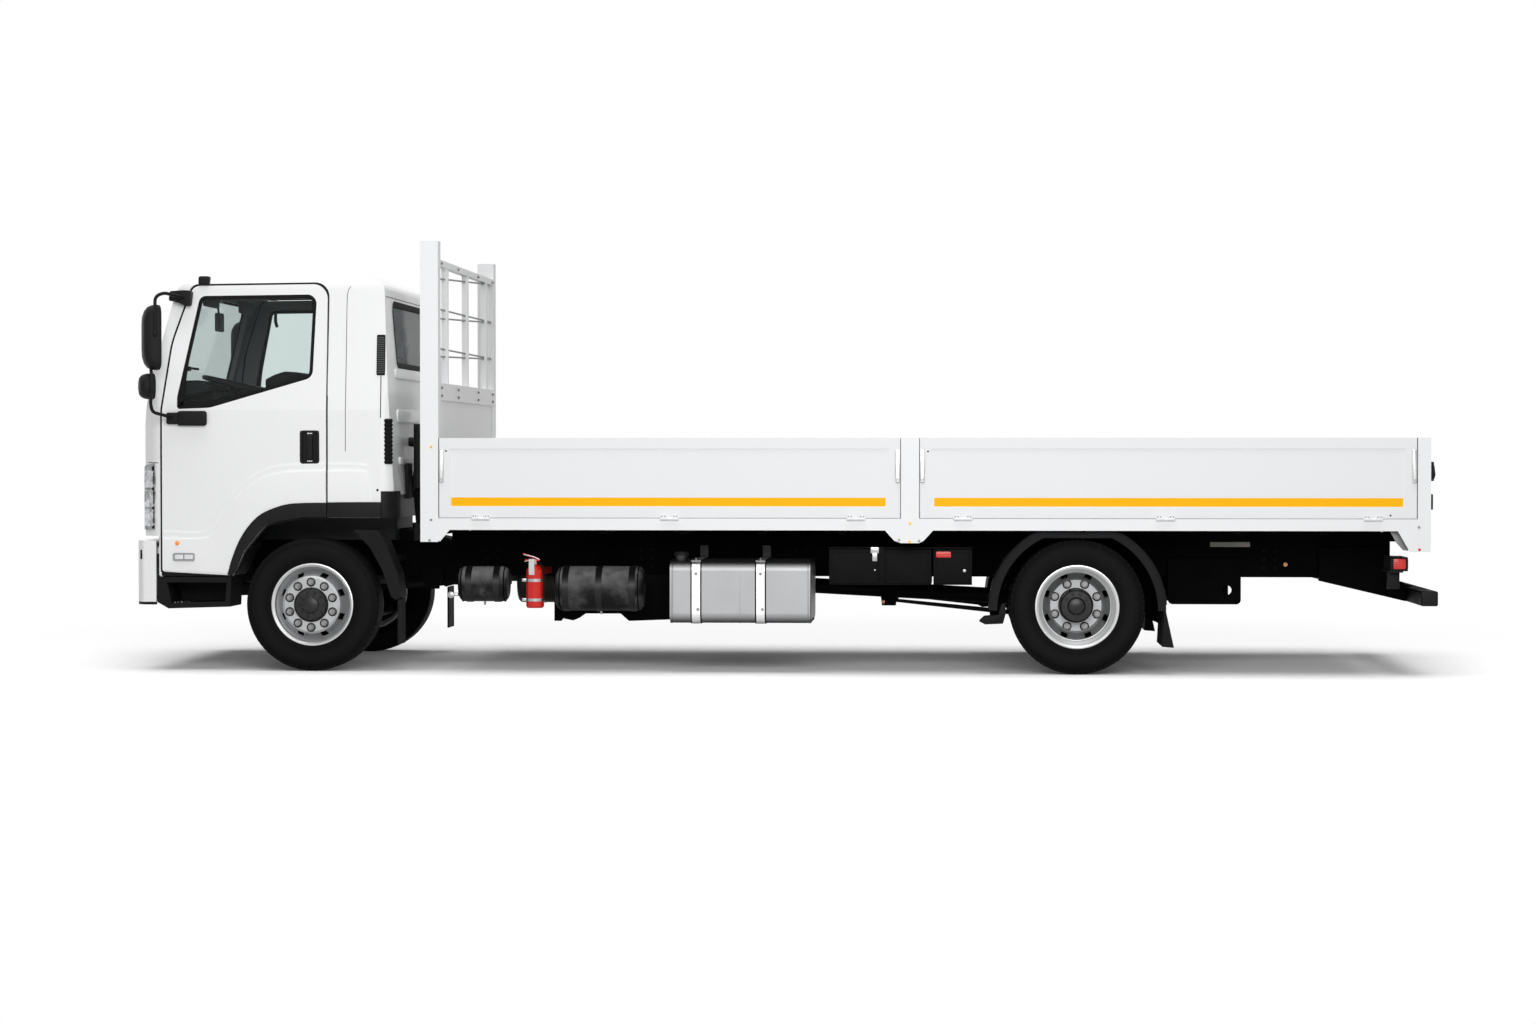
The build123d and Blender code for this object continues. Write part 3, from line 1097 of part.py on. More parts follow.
def intake_duct():
    """The air intake behind the cab: a black snorkel that bends down to the frame."""
    x = AXLE_F - 625.0
    y = 640.0
    stack = box(x - 45, x + 45, y - 90, y + 90, 1150, 1560)
    stack = fillet(stack.edges().filter_by(Axis.Z), 30)
    hose = rod((x, y, 1151), (x, y - 120, 900), 60)
    foot = box(x - 60, x + 60, RAIL_Y - 150, y - 40, RAIL_TOP + 0.3, 920)
    return stack + hose + foot


def mirror_left():
    """The left mirrors on their stay: bracket, bent tube, main glass and wide-angle glass."""
    y = CAB_HALF + MIRROR_OUT
    x0 = AXLE_F
    stay_r = 11.0
    path = [(x0 + 800, CAB_HALF - 35, 2352), (x0 + 950, y, 2368), (x0 + 985, y, 2310), (x0 + 1000, y, 1690),
            (x0 + 985, y, 1620), (x0 + 880, CAB_HALF + 25, 1600)]
    shape = None
    for a, b in zip(path, path[1:]):
        piece = rod(a, b, stay_r) + Pos(*b) * Sphere(stay_r)
        shape = piece if shape is None else shape + piece
    main = fillet(box(x0 + 925, x0 + 1040, y - 95, y + 95, 1895, 2303).edges(), 30)
    wide = fillet(box(x0 + 945, x0 + 1055, y - 95, y + 95, 1712, 1876).edges(), 30)
    low = fillet(box(x0 + 660, x0 + 900, CAB_HALF + 0.5, CAB_HALF + 45, 1558, 1634).edges(), 12)
    top = fillet(box(x0 + 735, x0 + 850, CAB_HALF - 55, CAB_HALF + 10, 2318, 2385).edges(), 12)
    return shape + main + wide + low + top


NODES = {}


def add(name, shape):
    """Keeps a finished node under its name."""
    NODES[name] = shape


def build():
    """Builds every node."""
    add("chassis_frame", chassis_frame())
    add("engine", engine())
    add("driveline", driveline())
    add("front_axle", front_axle())
    add("rear_axle", rear_axle())
    add("leaf_springs", leaf_springs())
    add("fuel_tank", fuel_tank())
    add("side_tanks", side_tanks())
    add("tank_straps", tank_straps())
    add("side_lockers", side_lockers())
    add("fire_extinguisher", fire_extinguisher())
    add("exhaust", exhaust())
    add("mudguards", mudguards())
    add("mudflaps", mudflaps())
    add("front_bumper", front_bumper())
    add("cab_steps", cab_steps())
    add("underrun_bar", underrun_bar())
    add("tail_lamps", tail_lamps())
    add("intake_duct", intake_duct())
    add("deck_subframe", deck_subframe())
    add("deck_floor", deck_floor())
    add("deck_raves", deck_raves())
    add("body_posts", body_posts())
    add("headboard", headboard())
    add("cab_shell", cab_shell())
    add("cab_glass", cab_glass())
    add("front_panel", front_panel())
    add("headlamps", headlamps())
    add("dashboard", dashboard())
    add("seats", seats())
    add("steering_wheel", steering_wheel())
    sides = {
        "door": door(),
        "door_glass": door_glass(),
        "mirror": mirror_left(),
        "knuckle": knuckle(),
        "front_tyre": at_front_wheel(tyre()),
        "front_wheel": at_front_wheel(wheel()),
        "front_hub": at_front_wheel(front_hub()),
        "rear_tyres": Compound(children=list(rear_pair(tyre()))),
        "rear_wheels": sum_of(rear_pair(wheel())),
        "rear_hub": Pos(AXLE_R, TWIN_PLANE_Y, TYRE_R) * rear_hub(),
    }
    front_hinges, rear_hinges = hinge_places()
    first = BODY_FRONT - POST_X - BOARD_GAP
    sides["front_board"] = board(first, CENTRE_POST_X + BOARD_GAP, front_hinges)
    second = CENTRE_POST_X - CENTRE_POST_WIDTH - BOARD_GAP
    sides["rear_board"] = board(second, BODY_REAR + REAR_POST_WIDTH + BOARD_GAP, rear_hinges)
    for name, shape in sides.items():
        add(f"{name}_left", shape)
        add(f"{name}_right", other_side(shape))
    add("tailboard", tailboard())
    add("track_rod", track_rod())


def sum_of(pieces):
    """Joins pieces into one shape."""
    first, *rest = pieces
    for piece in rest:
        first = first + piece
    return first


if __name__ == "__main__":
    os.makedirs("parts", exist_ok=True)
    build()
    for name, shape in NODES.items():
        export_step(shape, f"parts/{name}.step")
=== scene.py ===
"""Looks of a dropside truck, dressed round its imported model.

Lengths are metres. X points forward, Y to the truck's left and Z up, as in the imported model.
"""
from __future__ import annotations

import json
import logging
import math
from dataclasses import dataclass
from enum import Enum
from typing import Any, Callable, Iterable, Sequence

import bmesh
import bpy
from mathutils import Matrix, Vector
from mathutils.bvhtree import BVHTree

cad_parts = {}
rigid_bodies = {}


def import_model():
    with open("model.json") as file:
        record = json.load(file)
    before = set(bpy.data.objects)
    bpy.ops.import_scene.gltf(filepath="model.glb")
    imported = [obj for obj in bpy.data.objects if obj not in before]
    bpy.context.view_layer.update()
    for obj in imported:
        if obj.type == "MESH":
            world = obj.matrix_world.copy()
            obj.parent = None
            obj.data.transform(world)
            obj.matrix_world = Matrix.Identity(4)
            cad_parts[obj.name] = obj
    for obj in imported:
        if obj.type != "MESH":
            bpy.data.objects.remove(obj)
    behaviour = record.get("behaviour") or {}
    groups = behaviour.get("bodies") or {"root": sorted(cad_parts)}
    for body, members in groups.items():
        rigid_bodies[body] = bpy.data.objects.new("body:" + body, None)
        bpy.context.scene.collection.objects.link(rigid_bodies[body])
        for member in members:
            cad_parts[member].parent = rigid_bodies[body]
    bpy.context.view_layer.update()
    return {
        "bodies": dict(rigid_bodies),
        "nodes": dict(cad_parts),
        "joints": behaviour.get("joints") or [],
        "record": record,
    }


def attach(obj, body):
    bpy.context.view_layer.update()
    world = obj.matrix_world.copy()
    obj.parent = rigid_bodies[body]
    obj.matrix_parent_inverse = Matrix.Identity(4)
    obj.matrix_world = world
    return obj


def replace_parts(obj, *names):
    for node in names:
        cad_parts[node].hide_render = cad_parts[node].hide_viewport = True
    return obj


LOG = logging.getLogger("truck")
Point = tuple[float, float, float]
Flat = tuple[float, float]
Colour = tuple[float, float, float]
Lift = Callable[[float, float], float]


# Shared sizes


@dataclass(frozen=True)
class Datum:
    """Places that several assemblies share."""

    front_axle: float = 2.929
    rear_axle: float = -1.871
    cab_half: float = 1.085
    cab_belt: float = 1.645
    cab_eave: float = 2.44
    cab_lean: float = 0.075

    def ahead(self, distance: float) -> float:
        """The x of a place that far ahead of the front axle."""
        return self.front_axle + distance

    def cab_side(self, z: float) -> float:
        """The y of the cab's left side at a height."""
        rise = max(0.0, z - self.cab_belt) / (self.cab_eave - self.cab_belt)
        return self.cab_half - self.cab_lean * rise


DATUM = Datum()


# Shader maths


class Wire:
    """A socket that carries a value, so that node maths reads as plain maths."""

    def __init__(self, graph: "Graph", socket: bpy.types.NodeSocket) -> None:
        """Wraps an output socket of a graph."""
        self.graph, self.socket = graph, socket

    def _math(self, operation: str, *values: "Wire | float") -> "Wire":
        """Adds one Math node with that operation, fed by the values in order."""
        return self.graph.add("ShaderNodeMath", {"operation": operation}, dict(enumerate(values)))

    def __add__(self, other: "Wire | float") -> "Wire":
        """Sum."""
        return self._math("ADD", self, other)

    def __sub__(self, other: "Wire | float") -> "Wire":
        """Difference."""
        return self._math("SUBTRACT", self, other)

    def __rsub__(self, other: float) -> "Wire":
        """Difference from a number."""
        return self._math("SUBTRACT", other, self)

    def __mul__(self, other: "Wire | float") -> "Wire":
        """Product."""
        return self._math("MULTIPLY", self, other)

    def __truediv__(self, other: "Wire | float") -> "Wire":
        """Quotient."""
        return self._math("DIVIDE", self, other)

    __radd__, __rmul__ = __add__, __mul__

    def __abs__(self) -> "Wire":
        """Size without sign."""
        return self._math("ABSOLUTE", self)

    def wave(self) -> "Wire":
        """Sine, with the wire in radians."""
        return self._math("SINE", self)

    def saw(self, period: float) -> "Wire":
        """A saw that climbs from 0 to 1 once each period."""
        return self._math("FRACT", self / period)

    def power(self, exponent: float) -> "Wire":
        """The wire raised to a power."""
        return self._math("POWER", self, exponent)

    def above(self, level: float, soft: float = 0.001) -> "Wire":
        """A mask, 1 above a level and 0 below it, over a soft width.

        Args:
            level: where the mask passes a half.
            soft: the width of the change.

        Returns:
            The mask.
        """
        values = {"Value": self, "From Min": level - soft / 2, "From Max": level + soft / 2}
        return self.graph.add("ShaderNodeMapRange", {"clamp": True, "interpolation_type": "SMOOTHSTEP"},
            values)

    def within(self, low: float, high: float, soft: float = 0.001) -> "Wire":
        """A mask, 1 between two levels."""
        return self.above(low, soft) * (1 - self.above(high, soft))


class Graph:
    """A node tree that is written from Python."""

    def __init__(self, tree: bpy.types.NodeTree) -> None:
        """Starts from an empty tree."""
        self.tree = tree
        tree.nodes.clear()

    def add(self, kind: str, settings: dict[str, Any] | None = None, values: dict[Any, Any] | None = None,
            output: int | str = 0) -> Wire:
        """Adds a node.

        Args:
            kind: the node's type.
            settings: the node's own properties.
            values: numbers or wires for its inputs, by name or place.
            output: which output to hand back.

        Returns:
            That output.
        """
        node = self.tree.nodes.new(kind)
        for name, value in (settings or {}).items():
            setattr(node, name, value)
        for key, value in (values or {}).items():
            if isinstance(value, Wire):
                self.tree.links.new(value.socket, node.inputs[key])
            else:
                node.inputs[key].default_value = value
        return Wire(self, node.outputs[output]) if node.outputs else Wire(self, node.inputs[0])

    def place(self) -> Wire:
        """Object coordinates."""
        return self.add("ShaderNodeTexCoord", output="Object")

    def axes(self, vector: Wire) -> tuple[Wire, Wire, Wire]:
        """A vector's three numbers.

        Args:
            vector: the vector to split.

        Returns:
            Its three parts.
        """
        node = self.tree.nodes.new("ShaderNodeSeparateXYZ")
        self.tree.links.new(vector.socket, node.inputs[0])
        return tuple(Wire(self, socket) for socket in node.outputs)

    def stretch(self, vector: Wire, scale: Point) -> Wire:
        """A vector scaled along its axes."""
        return self.add("ShaderNodeVectorMath", {"operation": "MULTIPLY"}, {0: vector, 1: scale})

    def noise(self, vector: Wire, scale: float, detail: float = 3.0, roughness: float = 0.5) -> Wire:
        """A cloudy pattern from 0 to 1."""
        return self.add("ShaderNodeTexNoise", {}, {"Vector": vector, "Scale": scale, "Detail": detail,
            "Roughness": roughness})

    def cells(self, vector: Wire, scale: float) -> Wire:
        """Distance to the nearest of many scattered points."""
        return self.add("ShaderNodeTexVoronoi", {}, {"Vector": vector, "Scale": scale})

    def mix(self, factor: Wire | float, first: Wire | Colour, second: Wire | Colour) -> Wire:
        """A colour between two."""
        values = {0: factor, 6: self._colour(first), 7: self._colour(second)}
        return self.add("ShaderNodeMix", {"data_type": "RGBA"}, values, output=2)

    @staticmethod
    def _colour(value: Wire | Colour) -> Any:
        """A colour as a socket takes it."""
        return value if isinstance(value, Wire) else (*value, 1.0)

    def bump(self, height: Wire, depth: float, strength: float = 1.0) -> Wire:
        """A normal bent by a height of about 0 to 1, that many metres deep."""
        return self.add("ShaderNodeBump", {}, {"Height": height, "Distance": depth, "Strength": strength})

    def surface(self, **values: Any) -> Wire:
        """A Principled shader, its inputs named with underscores for spaces."""
        named = {key.replace("_", " "): value for key, value in values.items()}
        if isinstance(named.get("Base Color"), tuple):
            named["Base Color"] = (*named["Base Color"], 1.0)
        return self.add("ShaderNodeBsdfPrincipled", {}, named)

    def finish(self, shader: Wire) -> None:
        """Ends a material."""
        self.add("ShaderNodeOutputMaterial", {}, {"Surface": shader})


# Finishes


@dataclass(frozen=True)
class Finish:
    """A surface finish, made into a material once."""

    name: str
    colour: Colour = (0.8, 0.8, 0.8)

    def write(self, g: Graph) -> None:
        """Writes the material's nodes."""
        raise NotImplementedError

    def material(self) -> bpy.types.Material:
        """The material, made the first time it is asked for."""
        made = bpy.data.materials.get(f"finish_{self.name}")
        if made is None:
            made = bpy.data.materials.new(f"finish_{self.name}")
            made.use_nodes = True
            self.write(Graph(made.node_tree))
            made.diffuse_color = (*self.colour, 1.0)
        return made


@dataclass(frozen=True)
class Paint(Finish):
    """Sprayed paint with a clear coat, faint orange peel, and road dust that gathers low down."""

    roughness: float = 0.28
    coat: float = 0.6
    peel: float = 0.00012
    dust: float = 0.04
    dust_top: float = 1.1
    specular: float = 0.4
    band: tuple[float, float] | None = None
    band_ends: tuple[tuple[float, float], ...] = ()
    band_out: float = 1.2165
    band_colour: Colour = (0.99, 0.48, 0.002)
    lining: Colour | None = None
    lining_centre: Point = (3.28, 0.0, 1.7)
    lining_sill: float = 1.118
    dust_colour: Colour = (0.46, 0.43, 0.39)
    painted_shade_colour: Colour = (0.006, 0.006, 0.006)
    painted_shade_top: float = 1.112
    painted_shade_half: float = 1.045
    painted_shade_front: float = 0.93

    def write(self, g: Graph) -> None:
        """Writes paint, then dust, then the stripe, and the lining and the painted shade under the cab where
        the finish has them.

        Args:
            g: the material's graph.
        """
        place = g.place()
        x, y, z = g.axes(place)
        cloud = g.noise(place, 1.3, 4.0)
        streak = g.noise(g.stretch(place, (9.0, 9.0, 1.2)), 2.0, 5.0, 0.6)
        tone = g.mix(cloud * 0.5, self.colour, tuple(c * 0.965 for c in self.colour))
        rough: Wire = self.roughness + (streak - 0.5) * 0.04
        if self.band is not None:
            low, high = self.band
            mask = z.within(low, high, 0.0012) * abs(y).above(self.band_out, 0.001)
            ends: Wire | None = None
            for first, last in self.band_ends:
                one = x.within(first, last, 0.0015)
                ends = one if ends is None else ends + one
            tone = g.mix(mask * ends if ends is not None else mask, tone, self.band_colour)
        low_down = (1 - z.above(self.dust_top - 0.45, 0.9)) * streak.above(0.5, 0.35)
        tone = g.mix(low_down * self.dust, tone, self.dust_colour)
        rough = rough + low_down * 0.3
        coat: Wire | float = self.coat
        peel = g.noise(place, 160.0, 2.0)
        normal = g.bump(peel, self.peel)
        if self.lining is not None:
            outward = g.add("ShaderNodeVectorMath", {"operation": "SUBTRACT"},
                {0: place, 1: self.lining_centre})
            facing = g.add("ShaderNodeVectorMath", {"operation": "DOT_PRODUCT"},
                {0: outward, 1: g.add("ShaderNodeTexCoord", output="Normal")}, output="Value")
            inside = (1 - facing.above(0.0, 0.01)) * z.above(self.lining_sill, 0.004)
            nap = g.noise(place, 420.0, 3.0, 0.7)
            tone = g.mix(inside, tone, g.mix(nap, self.lining, tuple(c * 0.6 for c in self.lining)))
            rough = rough + inside * 0.5
            # painted shade: the cab shell's white underside and arch flanges are painted black where they lie
            # in shadow
            behind = 1 - x.above(DATUM.ahead(self.painted_shade_front), 0.01)
            under = (1 - z.above(self.painted_shade_top, 0.004)) * (1 - abs(y).above(self.painted_shade_half, 0.004)) * behind
            tone = g.mix(under, tone, self.painted_shade_colour)
            coat = (1 - under) * (1 - inside) * self.coat
        g.finish(g.surface(Base_Color=tone, Roughness=rough, Normal=normal, Coat_Weight=coat,
            Coat_Roughness=0.06, Specular_IOR_Level=self.specular))


@dataclass(frozen=True)
class Coated(Finish):
    """Thick satin coating on steel, with dust on the faces that look up, which on the air tanks is a painted
    highlight, and chips at random.
    """

    roughness: float = 0.45
    dust: float = 0.3
    chips: float = 0.0
    specular: float = 0.05
    dust_colour: Colour = (0.23, 0.21, 0.19)
    rust: Colour = (0.2, 0.09, 0.04)

    def write(self, g: Graph) -> None:
        """Writes the coating.

        Args:
            g: the material's graph.
        """
        place = g.place()
        cloud = g.noise(place, 5.0, 5.0, 0.6)
        fine = g.noise(place, 90.0, 3.0)
        up = g.axes(g.add("ShaderNodeTexCoord", output="Normal"))[2]
        # faces that look up turn paler: dust, and on the air tanks a painted highlight of their tops
        dust_and_highlight = up.above(0.35, 0.9) * cloud.above(0.42, 0.4) + (1 - up.above(0.35, 0.9)) * cloud.above(0.62,
            0.3) * 0.5
        tone = g.mix(dust_and_highlight * self.dust, self.colour, self.dust_colour)
        if self.chips > 0:
            spots = (1 - g.cells(place, 70.0).above(0.1, 0.03)) * cloud.above(0.6, 0.05)
            tone = g.mix(spots * self.chips, tone, self.rust)
        rough = self.roughness + (cloud - 0.5) * 0.2 + dust_and_highlight * 0.25
        g.finish(g.surface(Base_Color=tone, Roughness=rough, Normal=g.bump(fine, 0.0003, 0.6),
            Specular_IOR_Level=self.specular))


@dataclass(frozen=True)
class Strapping(Finish):
    """Bright tank straps whose arms, and whose rings further forward, are black."""

    bright_ahead: float = 0.75
    bright_out: float = 0.497
    coating: Colour = (0.008, 0.008, 0.008)
    brushed: Colour = (0.4, 0.4, 0.4)

    def write(self, g: Graph) -> None:
        """Writes bright metal where the straps hold the fuel tank, and black coating elsewhere.

        Args:
            g: the material's graph.
        """
        place = g.place()
        x, y, _ = g.axes(place)
        bright = (1 - x.above(self.bright_ahead)) * y.above(self.bright_out)
        lines = g.noise(g.stretch(place, (40.0, 1.0, 1.0)), 12.0, 4.0, 0.7)
        tone = g.mix(bright, self.coating, g.mix(lines * 0.3, self.colour, self.brushed))
        g.finish(g.surface(Base_Color=tone, Roughness=0.36 + (lines - 0.5) * 0.14, Metallic=bright * 0.9,
            Normal=g.bump(lines, 0.0002, 0.5), Specular_IOR_Level=0.25))


@dataclass(frozen=True)
class Bare(Finish):
    """Bare metal with brush lines along one axis, and painted shade above and below an unshaded band of
    heights.
    """

    roughness: float = 0.34
    grain: Point = (1.0, 60.0, 60.0)
    dull: float = 0.25
    metallic: float = 1.0
    stain: float = 4.0
    deep: float = 0.62
    unshaded_band: tuple[float, float] | None = None

    def write(self, g: Graph) -> None:
        """Writes the metal.

        Args:
            g: the material's graph.
        """
        place = g.place()
        lines = g.noise(g.stretch(place, self.grain), 12.0, 4.0, 0.7)
        stains = g.noise(place, self.stain, 5.0, 0.6)
        tone = g.mix(stains.above(0.5, 0.5) * self.dull, self.colour, tuple(c * self.deep
            for c in self.colour))
        if self.unshaded_band is not None:
            # painted shade: the metal is darkened above and below the unshaded band of heights
            painted_shade = 1 - g.axes(place)[2].within(*self.unshaded_band, 0.05)
            tone = g.mix(painted_shade * 0.85, tone, tuple(c * 0.1 for c in self.colour))
        rough = self.roughness + (lines - 0.5) * 0.16 + stains * 0.08
        g.finish(g.surface(Base_Color=tone, Roughness=rough, Metallic=self.metallic,
            Normal=g.bump(lines, 0.0002, 0.5)))


@dataclass(frozen=True)
class Moulded(Finish):
    """Moulded plastic with a leather-like grain, paler where it is scuffed."""

    roughness: float = 0.55
    grain: float = 260.0
    depth: float = 0.0003
    scuff: float = 0.25
    specular: float = 0.1

    def write(self, g: Graph) -> None:
        """Writes the plastic.

        Args:
            g: the material's graph.
        """
        place = g.place()
        pits = g.cells(place, self.grain)
        cloud = g.noise(place, 6.0, 4.0)
        pale = tuple(min(1.0, c * 1.7 + 0.004) for c in self.colour)
        tone = g.mix(cloud.above(0.55, 0.3) * self.scuff, self.colour, pale)
        rough = self.roughness + (cloud - 0.5) * 0.16
        g.finish(g.surface(Base_Color=tone, Roughness=rough, Normal=g.bump(pits, self.depth, 0.7),
            Specular_IOR_Level=self.specular))


@dataclass(frozen=True)
class Tread(Finish):
    """Tyre rubber, dusty in its tread, with a painted sheen band and fine rings on its wall."""

    tread: float = 0.402
    dust: Colour = (0.02, 0.0195, 0.019)
    wall: tuple[float, float] = (0.305, 0.375)
    ringed: tuple[float, float] = (0.275, 0.292)
    ring_turn: float = 1400.0

    def write(self, g: Graph) -> None:
        """Writes rubber that knows its distance from the axle, by the piece's own attribute.

        Args:
            g: the material's graph.
        """
        place = g.place()
        reach = g.add("ShaderNodeAttribute", {"attribute_name": "reach"}, output="Fac")
        cloud = g.noise(place, 14.0, 5.0, 0.6)
        fine = g.noise(place, 300.0, 2.0)
        dusty = reach.above(self.tread, 0.02) * 0.12 + cloud.above(0.5, 0.4) * 0.1
        tone = g.mix(dusty, self.colour, self.dust)
        # painted sheen: a paler band round the bulge of the wall
        tone = g.mix(reach.within(*self.wall, 0.05) * 0.8, tone, tuple(c * 2.4 for c in self.colour))
        rings = (reach * self.ring_turn).wave() * reach.within(*self.ringed, 0.004)
        rough = 0.62 + (cloud - 0.5) * 0.2
        g.finish(g.surface(Base_Color=tone, Roughness=rough, Normal=g.bump(rings * 0.5 + fine * 0.3, 0.0006),
            Specular_IOR_Level=0.05))


@dataclass(frozen=True)
class Glazing(Finish):
    """Tinted glass: mostly clear, with sheen at a slant."""

    clear: float = 0.96
    roughness: float = 0.03
    sheen: float = 0.3
    painted_reflection: Colour = (0.1, 0.108, 0.108)

    def write(self, g: Graph) -> None:
        """Writes glass that is seen through, with a haze of dust.

        Args:
            g: the material's graph.
        """
        place = g.place()
        haze = g.noise(place, 3.0, 4.0)
        # the sheen layer's grey base colour is a painted reflection that lightens the glass
        sheen = g.surface(Base_Color=self.painted_reflection, Roughness=self.roughness + haze * 0.02,
            Coat_Weight=0.5, Coat_Roughness=0.02)
        through = g.add("ShaderNodeBsdfTransparent", {}, {"Color": (*self.tint(), 1.0)})
        edge = g.add("ShaderNodeLayerWeight", {}, {"Blend": 0.35}, output="Fresnel")
        g.finish(g.add("ShaderNodeMixShader", {}, {0: (1 - self.clear) + edge * self.sheen, 1: through,
            2: sheen}))

    def tint(self) -> Colour:
        """The colour of light that has passed through."""
        return tuple(min(1.0, 0.84 + c * 0.16) for c in self.colour)


@dataclass(frozen=True)
class Lens(Finish):
    """A lamp lens, ribbed inside."""

    ribs: float = 0.006
    roughness: float = 0.12
    coat: float = 0.9

    def write(self, g: Graph) -> None:
        """Writes a lens.

        Args:
            g: the material's graph.
        """
        place = g.place()
        x, y, z = g.axes(place)
        pattern = (z * (2 * math.pi / self.ribs)).wave() * 0.5 + ((x + y) * (2 * math.pi
            / self.ribs)).wave() * 0.5
        tone = g.mix(pattern * 0.25 + 0.25, self.colour, tuple(min(1.0, c * 1.4) for c in self.colour))
        g.finish(g.surface(Base_Color=tone, Roughness=self.roughness + abs(pattern) * 0.05,
            Coat_Weight=self.coat, Coat_Roughness=0.03, Normal=g.bump(pattern, 0.0006, 0.6)))


@dataclass(frozen=True)
class Cloth(Finish):
    """Woven seat cloth."""

    thread: float = 0.0016

    def write(self, g: Graph) -> None:
        """Writes warp and weft with a fleck.

        Args:
            g: the material's graph.
        """
        place = g.place()
        x, y, z = g.axes(place)
        turn = 2 * math.pi / self.thread
        weave = ((x + z) * turn).wave() * (y * turn).wave()
        fleck = g.noise(place, 500.0, 2.0)
        tone = g.mix(weave * 0.3 + fleck * 0.5, self.colour, tuple(min(1.0, c * 2.0 + 0.02)
            for c in self.colour))
        g.finish(g.surface(Base_Color=tone, Roughness=0.9 + weave * 0.05, Normal=g.bump(weave, 0.0004),
            Sheen_Weight=0.25))


@dataclass(frozen=True)
class Decking(Finish):
    """Coated deck boards: a fine raised mesh, joints across, and scuffs from loads."""

    joint: float = 1.22
    joint_half: float = 0.0025
    mesh: float = 0.006
    scuff: Colour = (0.42, 0.4, 0.37)
    sealant: Colour = (0.03, 0.03, 0.03)

    def write(self, g: Graph) -> None:
        """Writes the deck.

        Args:
            g: the material's graph.
        """
        place = g.place()
        x, y, z = g.axes(place)
        cloud = g.noise(place, 1.6, 6.0, 0.65)
        drag = g.noise(g.stretch(place, (1.0, 14.0, 1.0)), 3.0, 5.0, 0.7)
        turn = 2 * math.pi / self.mesh
        grid = abs(((x + y) * turn).wave() * ((x - y) * turn).wave())
        seam = 1 - abs((x / self.joint).saw(1.0) - 0.5).above(self.joint_half, 0.001)
        tone = g.mix(cloud.above(0.5, 0.5), self.colour, tuple(c * 0.72 for c in self.colour))
        tone = g.mix(drag.above(0.62, 0.12) * 0.35, tone, self.scuff)
        tone = g.mix(seam * 0.8, tone, self.sealant)
        rough = 0.6 + (cloud - 0.5) * 0.2
        g.finish(g.surface(Base_Color=tone, Roughness=rough, Normal=g.bump(grid - seam * 2, 0.0005)))


